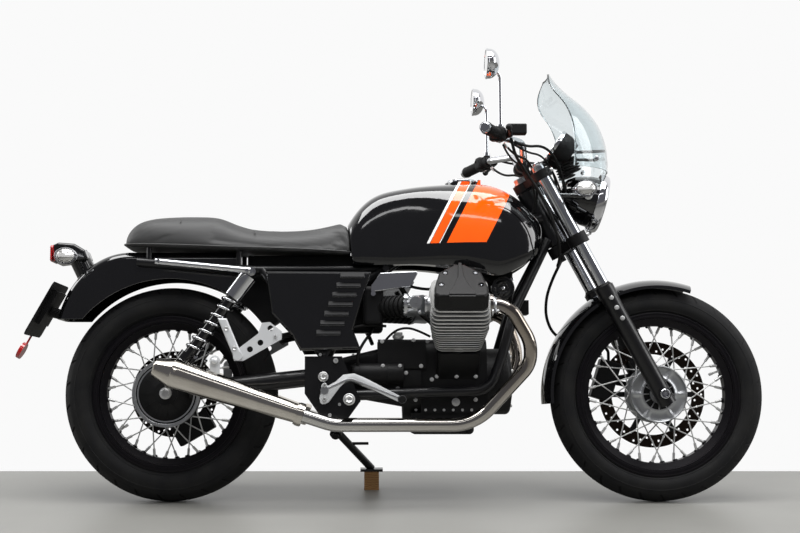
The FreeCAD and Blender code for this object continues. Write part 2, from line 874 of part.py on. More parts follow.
def front_axle():
    return vec(WHEELBASE, 0, FRONT_TYRE_RADIUS)


def fork_up():
    """The direction of the fork legs and of the steering axis."""
    rake = math.radians(RAKE_DEG)
    return vec(-math.sin(rake), 0, math.cos(rake))


def fork_ahead():
    """Square to the fork legs, forward."""
    rake = math.radians(RAKE_DEG)
    return vec(math.cos(rake), 0, math.sin(rake))


def leg_point(distance, y=0):
    """A place on a fork leg, measured up from the axle."""
    return front_axle() + fork_up() * distance + Y_AXIS * y


def stem_point(distance):
    """A place on the steering axis, level with the same place on the legs."""
    return leg_point(distance) - fork_ahead() * FORK_OFFSET


def cylinder_axis(sign):
    """The direction of a cylinder, out and up from the crankshaft."""
    angle = math.radians(CYLINDER_ANGLE_DEG)
    return vec(0, sign * math.sin(angle), math.cos(angle))


def cylinder_x(sign):
    return CRANK_X + (LEFT_CYLINDER_LEAD if sign > 0 else 0)


def cylinder_local(shape, sign):
    """A shape modelled about an upright cylinder at the origin, set over to its side."""
    moved = shape.copy()
    moved.rotate(ORIGIN, X_AXIS, -sign * CYLINDER_ANGLE_DEG)
    moved.translate(vec(cylinder_x(sign), 0, CRANK_Z))
    return moved


# Wheels

def tyre(centre, radius, width, bead_radius, rim_width):
    """A hollow tyre carcass, from bead to bead."""
    bead_half = rim_width / 2 - RIM_WALL - RUNNING_FIT
    bead = bead_radius + RUNNING_FIT
    edges = tyre_edges(radius, width / 2, bead, bead_half)
    edges += tyre_edges(radius - TYRE_WALL, width / 2 - TYRE_WALL, bead, bead_half - TYRE_WALL)
    for side in (-1, 1):
        foot = Part.LineSegment(vec(bead, 0, side * bead_half), vec(bead, 0, side * (bead_half - TYRE_WALL)))
        edges.append(foot.toShape())
    wire = Part.Wire(Part.__sortEdges__(edges))
    return turned_wire(wire, centre, Y_AXIS)


def tyre_edges(radius, half_width, bead_radius, bead_half):
    """Bead, sidewall, crown, sidewall and bead, in the (radius, across) plane."""
    lip = bead_radius + RIM_FLANGE_HEIGHT
    shoulder = radius - TYRE_SHOULDER_DROP_SHARE * radius
    shoulder_half = half_width * TYRE_SHOULDER_WIDTH_SHARE
    widest = lip + (shoulder - lip) * TYRE_WIDEST_SHARE
    edges = []
    for side in (-1, 1):
        edges.append(Part.LineSegment(vec(bead_radius, 0, side * bead_half), vec(lip, 0, side * bead_half)))
        edges.append(Part.Arc(vec(lip, 0, side * bead_half), vec(widest, 0, side * half_width),
                              vec(shoulder, 0, side * shoulder_half)))
    edges.append(Part.Arc(vec(shoulder, 0, -shoulder_half), vec(radius, 0, 0),
                          vec(shoulder, 0, shoulder_half)))
    return [edge.toShape() for edge in edges]


def rim_well_radius(bead_radius):
    """The inner face of the rim's well, where the spokes end."""
    return bead_radius - RIM_WELL_DEPTH - RIM_WALL


def rim(centre, bead_radius, width):
    """A dropped-centre rim, the same wall all over."""
    half = width / 2
    well = RIM_WELL_WIDTH / 2
    top = bead_radius + RIM_FLANGE_HEIGHT
    seat = bead_radius
    floor = bead_radius - RIM_WELL_DEPTH
    outside = [(top, half), (top, half - RIM_WALL), (seat, half - RIM_WALL),
               (seat, well + RIM_WELL_DEPTH / 2),
               (floor, well)]
    upper = outside + [(radius, -across) for radius, across in outside[::-1]]
    inside = [(seat - RIM_WALL, half), (seat - RIM_WALL, well + RIM_WELL_DEPTH / 2 + RIM_WALL / 2),
              (floor - RIM_WALL, well + RIM_WALL / 2)]
    lower = [(radius, -across) for radius, across in inside] + inside[::-1]
    return turned(upper + lower, centre, Y_AXIS)


def laced_hub(centre, flange_radius):
    """A cast hub with two spoke flanges and cooling ribs outside them."""
    half = HUB_END_SPREAD
    flange_in = FLANGE_SPREAD - FLANGE_THICKNESS / 2
    flange_out = FLANGE_SPREAD + FLANGE_THICKNESS / 2
    bore = AXLE_DIAMETER / 2 + RUNNING_FIT
    profile = [(bore, -half), (HUB_BOSS_RADIUS, -half), (HUB_BOSS_RADIUS, -flange_out),
               (flange_radius, -flange_out), (flange_radius, -flange_in), (HUB_BARREL_RADIUS, -flange_in),
               (HUB_BARREL_RADIUS, flange_in), (flange_radius, flange_in), (flange_radius, flange_out),
               (HUB_BOSS_RADIUS, flange_out), (HUB_BOSS_RADIUS, half), (bore, half)]
    hub = turned(profile, centre, Y_AXIS)
    rib_height = (half - flange_out) / 2
    rib = box(HUB_BOSS_RADIUS - HUB_RIB_WIDTH, flange_radius - FLANGE_THICKNESS / 2, -HUB_RIB_WIDTH / 2,
              HUB_RIB_WIDTH / 2, -flange_out - rib_height, -flange_out)
    ribs = around(placed(rib, centre, Y_AXIS), HUB_RIB_COUNT, centre, Y_AXIS)
    return fused([hub] + ribs)


def spokes(centre, flange_radius, bead_radius):
    """Crossed spokes between the hub's flanges and the rim's well, each with its nipple."""
    inner = flange_radius
    outer = rim_well_radius(bead_radius)
    reach = Part.makeCylinder(outer, HUB_END_SPREAD * 2, vec(0, 0, -HUB_END_SPREAD), Z_AXIS)
    core = Part.makeCylinder(inner, HUB_END_SPREAD * 2, vec(0, 0, -HUB_END_SPREAD), Z_AXIS)
    made = []
    step = 360 / SPOKE_PAIRS
    for flange in (-1, 1):
        for index in range(SPOKE_PAIRS):
            for lean in (-1, 1):
                turn = step * (index + (flange + 1) / 4)
                splay = lean * SPOKE_SPLAY * flange / 2
                hub_angle = math.radians(turn + lean * step / 4)
                rim_angle = hub_angle + math.radians(lean * SPOKE_CROSSING_DEG)
                start_radius = inner - NIPPLE_LENGTH / 2
                start = vec(start_radius * math.cos(hub_angle), start_radius * math.sin(hub_angle),
                            flange * FLANGE_SPREAD + splay)
                end_radius = outer + NIPPLE_LENGTH / 2
                end = vec(end_radius * math.cos(rim_angle), end_radius * math.sin(rim_angle),
                          flange * RIM_WELL_WIDTH / 4 + splay)
                run = (end - start).normalize()
                wire = rod(start, end, SPOKE_DIAMETER)
                nipple = rod(end - run * NIPPLE_LENGTH * 2, end, NIPPLE_DIAMETER)
                made.append(wire.fuse(nipple).common(reach).cut(core))
    return placed(apart(made), centre, Y_AXIS)


def disc(centre, radius, track):
    """A drilled brake disc on its carrier, bolted to the left end of the hub."""
    back = centre + Y_AXIS * (DISC_OFFSET - DISC_THICKNESS / 2)
    track_ring = ring(back, Y_AXIS, radius, radius - track, DISC_THICKNESS)
    holes = []
    for group in range(DISC_HOLE_GROUPS):
        for row in range(DISC_HOLE_ROWS):
            at_radius = radius - track * (row + 1) / (DISC_HOLE_ROWS + 1)
            angle = math.radians(360 / DISC_HOLE_GROUPS * (group + row / DISC_HOLE_ROWS))
            at = back + vec(at_radius * math.cos(angle), 0, at_radius * math.sin(angle))
            holes.append(Part.makeCylinder(DISC_HOLE_DIAMETER / 2, DISC_THICKNESS, at, Y_AXIS))
    track_ring = track_ring.cut(holes)
    hub_ring = ring(centre + Y_AXIS * HUB_END_SPREAD, Y_AXIS, HUB_BARREL_RADIUS + CARRIER_RING_WIDTH,
                    AXLE_DIAMETER / 2 + FACE_FIT, DISC_OFFSET - HUB_END_SPREAD)
    arm = box(HUB_BARREL_RADIUS, radius - track + CARRIER_RING_WIDTH / 2, -CARRIER_ARM_WIDTH / 2,
              CARRIER_ARM_WIDTH / 2, DISC_OFFSET - DISC_THICKNESS, DISC_OFFSET)
    arms = around(placed(arm, centre, Y_AXIS), CARRIER_ARMS, centre, Y_AXIS)
    return fused([track_ring, hub_ring] + arms)


def caliper(centre, radius, angle_deg):
    """A caliper body that straddles the edge of the disc."""
    half_length = CALIPER_LENGTH / 2
    outside = radius + CALIPER_CLEARANCE + CALIPER_BRIDGE
    slot_half = DISC_THICKNESS / 2 + CALIPER_CLEARANCE
    body = rounded_box(outside - CALIPER_WIDTH, outside, -half_length, half_length,
                       DISC_OFFSET - CALIPER_INBOARD, DISC_OFFSET + CALIPER_OUTBOARD, CASTING_ROUND / 3)
    slot = box(0, radius + CALIPER_CLEARANCE, -CALIPER_LENGTH, CALIPER_LENGTH,
               DISC_OFFSET - slot_half, DISC_OFFSET + slot_half)
    body = placed(body.cut(slot), centre, Y_AXIS)
    body.rotate(centre, Y_AXIS, -angle_deg)
    return body


def caliper_middle(centre, radius, angle_deg):
    """The middle of a caliper's outboard half."""
    angle = math.radians(angle_deg)
    reach = radius + CALIPER_CLEARANCE + CALIPER_BRIDGE - CALIPER_WIDTH / 2
    outboard = DISC_OFFSET + (DISC_THICKNESS / 2 + CALIPER_CLEARANCE + CALIPER_OUTBOARD) / 2
    return centre + vec(reach * math.cos(angle), outboard, reach * math.sin(angle))


# Fork, yokes and what they carry

def yokes():
    """Upper and lower yoke, joined by the steering stem."""
    parts = []
    for distance, thickness in ((UPPER_YOKE_ALONG, UPPER_YOKE_THICKNESS),
                                (LOWER_YOKE_ALONG, LOWER_YOKE_THICKNESS)):
        low = distance - thickness / 2
        high = distance + thickness / 2
        for sign in (-1, 1):
            parts.append(rod(leg_point(low, sign * FORK_SPREAD), leg_point(high, sign * FORK_SPREAD),
                             YOKE_CLAMP_DIAMETER))
        parts.append(rod(stem_point(low), stem_point(high), HEAD_TUBE_DIAMETER))
        parts.append(yoke_web(distance, thickness))
    parts.append(rod(stem_point(LOWER_YOKE_ALONG), stem_point(UPPER_YOKE_ALONG), STEM_DIAMETER))
    body = fused(parts)
    bores = [rod(leg_point(0, sign * FORK_SPREAD), leg_point(FORK_TOP_ALONG, sign * FORK_SPREAD),
                 STANCHION_DIAMETER + RUNNING_FIT) for sign in (-1, 1)]
    body = body.cut(bores)
    return fused([body] + [bar_clamp(sign) for sign in (-1, 1)])


def yoke_web(distance, thickness):
    """The waisted plate between a yoke's two clamps and its stem."""
    front = FORK_OFFSET + YOKE_WEB_WIDTH / 2
    side = FORK_SPREAD - YOKE_CLAMP_DIAMETER / 4
    half = thickness / 2 - YOKE_WEB_STEP
    outline = [(0, -HEAD_TUBE_DIAMETER / 2), (FORK_OFFSET - YOKE_WEB_WIDTH / 2, -side), (front, -side),
               (front, side), (FORK_OFFSET - YOKE_WEB_WIDTH / 2, side), (0, HEAD_TUBE_DIAMETER / 2)]
    corners = [vec(x, y, -half) for x, y in outline]
    web = Part.Face(Part.makePolygon(corners + [corners[0]])).extrude(Z_AXIS * half * 2)
    web.rotate(ORIGIN, Y_AXIS, -RAKE_DEG)
    web.translate(stem_point(distance))
    return web


def bar_centre():
    """The middle of the handlebar, above the upper yoke."""
    above = stem_point(UPPER_YOKE_ALONG + UPPER_YOKE_THICKNESS / 2 + BAR_CLAMP_RISE)
    return above + fork_ahead() * FORK_OFFSET / 2


def bar_clamp(sign):
    """A riser from the upper yoke with the clamp that holds the bar."""
    top = bar_centre() + Y_AXIS * sign * BAR_CLAMP_HALF / 2
    foot = top - fork_up() * (BAR_CLAMP_RISE + UPPER_YOKE_THICKNESS / 4)
    riser = rod(foot, top, BAR_RISER_DIAMETER)
    half = Y_AXIS * BAR_CLAMP_WIDTH / 2
    clamp = rod(top - half, top + half, BAR_CLAMP_DIAMETER)
    bore = rod(top - half * 2, top + half * 2, BAR_DIAMETER + RUNNING_FIT)
    return riser.fuse(clamp).cut(bore)


def fork_tubes():
    """The two chromed stanchions."""
    return apart([rod(leg_point(SLIDER_TOP_ALONG / 2, sign * FORK_SPREAD),
                      leg_point(FORK_TOP_ALONG, sign * FORK_SPREAD), STANCHION_DIAMETER) for sign in (-1, 1)])


def fork_sliders():
    """The two sliders with their dust seals and axle lugs, and the front axle through them."""
    made = []
    for sign in (-1, 1):
        top = leg_point(SLIDER_TOP_ALONG, sign * FORK_SPREAD)
        foot = leg_point(-SLIDER_FOOT_ALONG, sign * FORK_SPREAD)
        body = rod(foot, top, SLIDER_DIAMETER)
        collar = rod(leg_point(SLIDER_TOP_ALONG - SLIDER_COLLAR_HEIGHT, sign * FORK_SPREAD),
                     leg_point(SLIDER_TOP_ALONG + SLIDER_COLLAR_HEIGHT / 2, sign * FORK_SPREAD),
                     SLIDER_DIAMETER + SLIDER_COLLAR_HEIGHT / 4)
        bore = rod(leg_point(SLIDER_TOP_ALONG / 2, sign * FORK_SPREAD),
                   leg_point(FORK_TOP_ALONG, sign * FORK_SPREAD), STANCHION_DIAMETER + RUNNING_FIT)
        made.append(body.fuse(collar).cut(bore))
    outer = FORK_SPREAD + SLIDER_DIAMETER / 2 + AXLE_NUT_LENGTH
    axle = rod(front_axle() - Y_AXIS * outer, front_axle() + Y_AXIS * outer, AXLE_DIAMETER)
    spacer = rod(front_axle() - Y_AXIS * FORK_SPREAD, front_axle() - Y_AXIS * (HUB_END_SPREAD + FACE_FIT),
                 HUB_BOSS_RADIUS)
    nuts = [rod(front_axle() + Y_AXIS * sign * FORK_SPREAD, front_axle() + Y_AXIS * sign * outer,
                AXLE_NUT_DIAMETER) for sign in (-1, 1)]
    return fused(made + [axle, spacer] + nuts)


def headlamp_axis():
    """The way the headlamp points: ahead and a little down."""
    dip = math.radians(HEADLAMP_DIP_DEG)
    return vec(math.cos(dip), 0, -math.sin(dip))


def headlamp_shell():
    """The round bucket with its rim, and the ears that hold it to the fork legs."""
    centre = vec(HEADLAMP_X, 0, HEADLAMP_Z)
    radius = HEADLAMP_DIAMETER / 2
    inner = radius - HEADLAMP_RIM_WIDTH
    bucket = []
    for index in range(BUCKET_STEPS + 1):
        angle = math.pi / 2 * index / BUCKET_STEPS
        bucket.append((inner * math.cos(angle) ** BUCKET_ROUND_SHARE, -HEADLAMP_DEPTH * math.sin(angle)))
    profile = [(0, -HEADLAMP_DEPTH)] + bucket[-2::-1]
    profile += [(radius, -HEADLAMP_RIM_DEPTH / 2), (radius, HEADLAMP_RIM_DEPTH / 2),
                (inner, HEADLAMP_RIM_DEPTH),
                (inner - RUNNING_FIT, 0), (0, 0)]
    shell = turned(profile, centre, headlamp_axis())
    back = centre - headlamp_axis() * HEADLAMP_DEPTH / 3
    leg = leg_at_height(back.z)
    ears = []
    for sign in (-1, 1):
        corner = vec(back.x, sign * (FORK_SPREAD - YOKE_CLAMP_DIAMETER / 4), back.z)
        start = vec(back.x, sign * (inner - HEADLAMP_EAR_DIAMETER), back.z)
        ears.append(rod(start, corner + Y_AXIS * sign * HEADLAMP_EAR_DIAMETER / 2, HEADLAMP_EAR_DIAMETER))
        ears.append(rod(corner, vec(leg.x, sign * FORK_SPREAD, back.z), HEADLAMP_EAR_DIAMETER * 4 / 5))
    legs = [rod(leg_point(SLIDER_TOP_ALONG, sign * FORK_SPREAD),
                leg_point(FORK_TOP_ALONG, sign * FORK_SPREAD),
                STANCHION_DIAMETER + RUNNING_FIT * 2) for sign in (-1, 1)]
    shell = fused([shell] + ears).cut(legs)
    return max(shell.Solids, key=lambda solid: solid.Volume)


def leg_at_height(z):
    """The point of the fork legs' line at a height."""
    distance = (z - FRONT_TYRE_RADIUS) / fork_up().z
    return leg_point(distance)


def headlamp_glass():
    """The domed lens in front of the rim."""
    centre = vec(HEADLAMP_X, 0, HEADLAMP_Z)
    inner = HEADLAMP_DIAMETER / 2 - HEADLAMP_RIM_WIDTH - FACE_FIT
    bulge = HEADLAMP_GLASS_BULGE
    ball = (inner * inner + bulge * bulge) / (2 * bulge)
    half_angle = math.asin(inner / ball) / 2
    crown = bulge + RUNNING_FIT
    halfway = vec(ball * math.sin(half_angle), 0, crown - ball + ball * math.cos(half_angle))
    rim_point = vec(inner, 0, RUNNING_FIT)
    arc = Part.Arc(rim_point, halfway, vec(0, 0, crown)).toShape()
    middle = Part.LineSegment(vec(0, 0, crown), vec(0, 0, RUNNING_FIT)).toShape()
    floor = Part.LineSegment(vec(0, 0, RUNNING_FIT), rim_point).toShape()
    return turned_wire(Part.Wire([arc, middle, floor]), centre, headlamp_axis())


def clock_facing():
    """The way the clocks face: back and up at the rider."""
    tilt = math.radians(CLOCK_TILT_DEG)
    return vec(-math.cos(tilt), 0, math.sin(tilt))


def instruments():
    """Two round clocks side by side on one bracket, with the stays of the screen."""
    facing = clock_facing()
    radius = CLOCK_DIAMETER / 2
    back = vec(CLOCK_X, 0, CLOCK_Z) - facing * CLOCK_DEPTH * 3 / 4
    foot = leg_point(UPPER_YOKE_ALONG + UPPER_YOKE_THICKNESS / 2 - YOKE_WEB_STEP + RUNNING_FIT)
    parts = [rod(back - Y_AXIS * CLOCK_SPREAD, back + Y_AXIS * CLOCK_SPREAD, CLOCK_DEPTH / 3)]
    for sign in (-1, 1):
        profile = [(0, -CLOCK_DEPTH), (radius * 3 / 4, -CLOCK_DEPTH), (radius, -CLOCK_DEPTH / 2), (radius, 0),
                   (radius - CLOCK_GLASS_RECESS, 0), (radius - CLOCK_GLASS_RECESS * 2, -CLOCK_GLASS_RECESS),
                   (0, -CLOCK_GLASS_RECESS)]
        parts.append(turned(profile, vec(CLOCK_X, sign * CLOCK_SPREAD, CLOCK_Z), facing))
        across = Y_AXIS * sign * CLOCK_SPREAD * 3 / 4
        parts.append(bent_rod([foot + across, foot + across + fork_up() * CLOCK_STALK_RISE, back + across],
                              CLOCK_STALK_RISE, CLOCK_STALK_DIAMETER))
        parts.append(screen_stay(back + Y_AXIS * sign * CLOCK_SPREAD, sign))
    return fused(parts)


def screen_level(level, drop):
    """One level line of the screen: an arc wrapped back at both sides."""
    height_share, sweep_share, width_share, wrap_share = level
    z = SCREEN_BOTTOM_Z + SCREEN_HEIGHT * height_share
    x = SCREEN_FRONT_X - SCREEN_SWEEP * sweep_share - drop
    half = SCREEN_HALF_WIDTH * width_share - drop / 2
    wrap = SCREEN_WRAP * wrap_share
    return vec(x, 0, z), vec(x - wrap, half, z), vec(x - wrap, -half, z)


def windscreen():
    """A clear fly screen, curved both ways and of one thickness."""
    wires = []
    for level in SCREEN_LEVEL_SHARES:
        front, left, right = screen_level(level, 0)
        inner_front, inner_left, inner_right = screen_level(level, SCREEN_THICKNESS)
        wires.append(Part.Wire([
            Part.Arc(left, front, right).toShape(),
            Part.LineSegment(right, inner_right).toShape(),
            Part.Arc(inner_right, inner_front, inner_left).toShape(),
            Part.LineSegment(inner_left, left).toShape(),
        ]))
    return Part.makeLoft(wires, True, False)


def screen_stay(start, sign):
    """A stay from the clocks' bracket forward to the inside of the screen."""
    end = vec(SCREEN_FRONT_X + CUT_OVERRUN, sign * CLOCK_SPREAD * 3 / 2, start.z)
    stay = rod(start, end, CLOCK_STALK_DIAMETER).cut(windscreen())
    return min(stay.Solids, key=lambda solid: solid.CenterOfMass.x)


def bar_points(sign):
    """The handlebar's route from its middle to one end."""
    middle = bar_centre()
    return [middle, middle + Y_AXIS * sign * BAR_CLAMP_HALF,
            vec(BAR_SHOULDER_X, sign * BAR_SHOULDER_HALF, BAR_SHOULDER_Z),
            vec(BAR_GRIP_X, sign * BAR_GRIP_HALF, BAR_GRIP_Z),
            vec(BAR_END_X, sign * BAR_HALF_WIDTH, BAR_END_Z)]


def handlebar():
    """One bent bar with its end weights."""
    left = bar_points(1)
    right = bar_points(-1)
    bar = bent_rod(right[:0:-1] + left[1:], BAR_BEND_RADIUS, BAR_DIAMETER)
    weights = []
    for points in (left, right):
        run = (points[-1] - points[-2]).normalize()
        weights.append(rod(points[-1] - run * BAR_END_LENGTH / 2, points[-1] + run * BAR_END_LENGTH / 2,
                           BAR_END_DIAMETER))
    return fused([bar] + weights)


def control_start(sign):
    """Where the switch housing begins, inboard of the grip, and the direction inward along the bar."""
    points = bar_points(sign)
    inward = (points[-2] - points[-1]).normalize()
    return points[-1] + inward * (BAR_END_LENGTH / 2 + GRIP_LENGTH + FACE_FIT), inward


def grips():
    """Two rubber grips, each with its inner flange."""
    made = []
    for sign in (-1, 1):
        end, inward = control_start(sign)
        end = end - inward * FACE_FIT
        start = end - inward * GRIP_LENGTH
        flange = rod(end - inward * LEVER_DIAMETER / 2, end, GRIP_DIAMETER + LEVER_DIAMETER)
        made.append(rod(start, end, GRIP_DIAMETER).fuse(flange).cut(rod(start, end, BAR_DIAMETER)))
    return apart(made)


def hand_controls():
    """Switch housings, lever perches and levers, and the brake fluid reservoir."""
    made = []
    for sign in (-1, 1):
        start, inward = control_start(sign)
        middle = start + inward * SWITCH_LENGTH
        end = middle + inward * PERCH_LENGTH
        ahead = lever_way(inward)
        housing = rod(start, middle, SWITCH_DIAMETER)
        perch = rod(middle, end, SWITCH_DIAMETER * 3 / 4)
        pivot = middle + inward * PERCH_LENGTH / 2 + ahead * LEVER_REACH / 2
        arm = rod(middle + inward * PERCH_LENGTH / 2, pivot, PERCH_LENGTH * 2 / 3)
        tip = pivot - inward * (GRIP_LENGTH + SWITCH_LENGTH) + ahead * LEVER_REACH / 2
        lever = rod(pivot, tip, LEVER_DIAMETER)
        ball = Part.makeSphere(LEVER_BALL_DIAMETER / 2, tip)
        pieces = [housing, perch, arm, lever, ball, mirror_socket(sign)]
        if sign < 0:
            low = pivot + ahead * RESERVOIR_WIDTH / 2
            cup = rounded_box(low.x - RESERVOIR_LENGTH / 2, low.x + RESERVOIR_LENGTH / 2,
                              low.y - RESERVOIR_WIDTH / 2, low.y + RESERVOIR_WIDTH / 2,
                              low.z, low.z + RESERVOIR_HEIGHT, LEVER_DIAMETER / 3)
            pieces.append(cup)
        bore = rod(start - inward, end + inward * BAR_DIAMETER, BAR_DIAMETER + RUNNING_FIT)
        made.append(fused(pieces).cut(bore))
    return apart(made)


def master_port():
    """The middle of the front brake's master cylinder, at the lever's pivot."""
    start, inward = control_start(-1)
    return start + inward * (SWITCH_LENGTH + PERCH_LENGTH / 2) + lever_way(inward) * LEVER_REACH / 2


def lever_way(inward):
    """Level and ahead, square to the grip."""
    way = inward.cross(Z_AXIS).normalize()
    return way if way.x > 0 else -way


def mirror_base(sign):
    """The place on the perch where a mirror stem stands."""
    start, inward = control_start(sign)
    return start + inward * (SWITCH_LENGTH + PERCH_LENGTH / 2) + Z_AXIS * SWITCH_DIAMETER / 2


def mirror_socket(sign):
    """The threaded boss under a mirror stem."""
    top = mirror_base(sign)
    return rod(top - Z_AXIS * SWITCH_DIAMETER / 2, top, MIRROR_STEM_DIAMETER * 2)


def mirrors():
    """Two round-cornered mirrors, each on its upright stem."""
    made = []
    for sign in (-1, 1):
        foot = mirror_base(sign) + Z_AXIS * RUNNING_FIT
        top = foot + Z_AXIS * MIRROR_STEM_HEIGHT
        head = top + vec(-MIRROR_HEAD_BACK, sign * MIRROR_HEAD_OUT, MIRROR_HEAD_RISE)
        stem = bent_rod([foot, top, head], MIRROR_BEND_RADIUS, MIRROR_STEM_DIAMETER)
        nut = rod(foot, foot + Z_AXIS * MIRROR_STEM_DIAMETER, MIRROR_STEM_DIAMETER * 2)
        made.append(fused([stem, nut, mirror_head(head)]))
    return apart(made)


def mirror_head(centre):
    """A shallow oval bowl that faces the rider."""
    unit = Part.makeSphere(1)
    unit.rotate(ORIGIN, Z_AXIS, 180)
    matrix = FreeCAD.Matrix()
    matrix.scale(MIRROR_HEAD_DEPTH, MIRROR_HEAD_WIDTH / 2, MIRROR_HEAD_HEIGHT / 2)
    bowl = unit.transformGeometry(matrix)
    behind = box(-MIRROR_HEAD_DEPTH * 2, -MIRROR_HEAD_DEPTH / 4, -MIRROR_HEAD_WIDTH, MIRROR_HEAD_WIDTH,
                 -MIRROR_HEAD_HEIGHT, MIRROR_HEAD_HEIGHT)
    bowl = bowl.cut(behind)
    bowl.translate(centre)
    return bowl


def front_fender():
    """A curved mudguard round the front tyre, held between the sliders by two lugs."""
    skirt = FENDER_RADIUS - FENDER_SKIRT
    outer = fender_wire(FENDER_RADIUS, skirt, FENDER_HALF_WIDTH)
    inner = fender_wire(FENDER_RADIUS - FENDER_SHEET, skirt, FENDER_HALF_WIDTH - FENDER_SHEET)
    edges = outer + inner
    for side in (-1, 1):
        edges.append(Part.LineSegment(vec(skirt, 0, side * FENDER_HALF_WIDTH),
                                      vec(skirt, 0, side * (FENDER_HALF_WIDTH - FENDER_SHEET))).toShape())
    face = Part.Face(Part.Wire(Part.__sortEdges__(edges)))
    sweep = face.revolve(ORIGIN, Z_AXIS, FENDER_REAR_DEG - FENDER_FRONT_DEG)
    guard = placed(sweep, front_axle(), Y_AXIS)
    guard.rotate(front_axle(), Y_AXIS, -FENDER_REAR_DEG)
    lugs = []
    for sign in (-1, 1):
        at = leg_point(skirt + FENDER_STAY_DIAMETER / 2)
        lugs.append(rod(at + Y_AXIS * sign * (FENDER_HALF_WIDTH - FENDER_SHEET / 2),
                        at + Y_AXIS * sign * (FORK_SPREAD - SLIDER_DIAMETER / 2 - RUNNING_FIT),
                        FENDER_STAY_DIAMETER))
    return fused([guard] + lugs)


def fender_wire(crown, skirt, half):
    """The fender's section: an arched crown and two short skirts."""
    shoulder = crown - half / 3
    left = Part.LineSegment(vec(skirt, 0, -half), vec(shoulder, 0, -half)).toShape()
    arch = Part.Arc(vec(shoulder, 0, -half), vec(crown, 0, 0), vec(shoulder, 0, half)).toShape()
    right = Part.LineSegment(vec(shoulder, 0, half), vec(skirt, 0, half)).toShape()
    return [left, arch, right]


def indicator(at, sign, stalk_y):
    """An oval indicator, long fore and aft, on a stalk from the mid plane."""
    unit = Part.makeSphere(1)
    matrix = FreeCAD.Matrix()
    matrix.scale(INDICATOR_LENGTH / 2, INDICATOR_WIDTH / 2, INDICATOR_HEIGHT / 2)
    body = unit.transformGeometry(matrix)
    body.translate(vec(at.x, sign * at.y, at.z))
    stalk = rod(vec(at.x, sign * stalk_y, at.z), vec(at.x, sign * at.y, at.z), INDICATOR_STALK_DIAMETER)
    return fused([body, stalk])


def front_indicators():
    """Two indicators on stalks from the headlamp's ears."""
    at = vec(FRONT_INDICATOR_X, FRONT_INDICATOR_Y, FRONT_INDICATOR_Z)
    shell = headlamp_shell()
    return apart([outermost(indicator(at, sign, FORK_SPREAD - HEADLAMP_EAR_DIAMETER).cut(shell), sign)
                  for sign in (-1, 1)])


def front_caliper():
    """The front caliper with its bracket to the left slider."""
    radius = FRONT_DISC_RADIUS
    body = caliper(front_axle(), radius, FRONT_CALIPER_ANGLE_DEG)
    middle = caliper_middle(front_axle(), radius, FRONT_CALIPER_ANGLE_DEG)
    slider = rod(leg_point(-SLIDER_FOOT_ALONG, FORK_SPREAD), leg_point(SLIDER_TOP_ALONG, FORK_SPREAD),
                 SLIDER_DIAMETER + RUNNING_FIT * 2)
    arms = [rod(middle, leg_point(distance, FORK_SPREAD), CALIPER_ARM_DIAMETER)
            for distance in (CALIPER_ARM_SPREAD / 2, CALIPER_ARM_SPREAD * 3 / 2)]
    bracket = fused([body] + arms).cut(slider)
    return max(bracket.Solids, key=lambda solid: solid.Volume)


def brake_hose():
    """The front brake's hose, from the master cylinder behind the fork to a union and on to the caliper."""
    master = master_port() - Z_AXIS * (PERCH_LENGTH / 3 + RUNNING_FIT)
    union = stem_point(LOWER_YOKE_ALONG - LOWER_YOKE_THICKNESS / 2 - RUNNING_FIT)
    joint = union - fork_up() * UNION_LENGTH / 2
    end = caliper_port()
    upper = [master] + [vec(*point) for point in HOSE_UPPER_ROUTE] + [joint]
    lower = [joint] + [vec(*point) for point in HOSE_LOWER_ROUTE] + [end + Z_AXIS * HOSE_END_LENGTH, end]
    banjo = rod(union, union - fork_up() * UNION_LENGTH, UNION_DIAMETER)
    return fused([bent_rod(route, WHEELBASE, HOSE_DIAMETER) for route in (upper, lower)] + [banjo])


def caliper_port():
    """Where the hose meets the top of the front caliper."""
    middle = caliper_middle(front_axle(), FRONT_DISC_RADIUS, FRONT_CALIPER_ANGLE_DEG)
    angle = math.radians(FRONT_CALIPER_ANGLE_DEG)
    top = middle + vec(math.sin(angle), 0, -math.cos(angle)) * (CALIPER_LENGTH / 2 - HOSE_DIAMETER)
    probe = rod(top, top + Z_AXIS * CALIPER_LENGTH, HOSE_DIAMETER)
    return vec(top.x, top.y, probe.common(front_caliper()).BoundBox.ZMax + RUNNING_FIT)


# Engine

def fin_plate(level, length, height, thickness):
    """One cooling fin at a level up the cylinder."""
    fin = box(-length / 2, length / 2, -height / 2, height / 2, level, level + thickness)
    return rounded(fin, FIN_CORNER, lambda edge: along(edge, Z_AXIS))


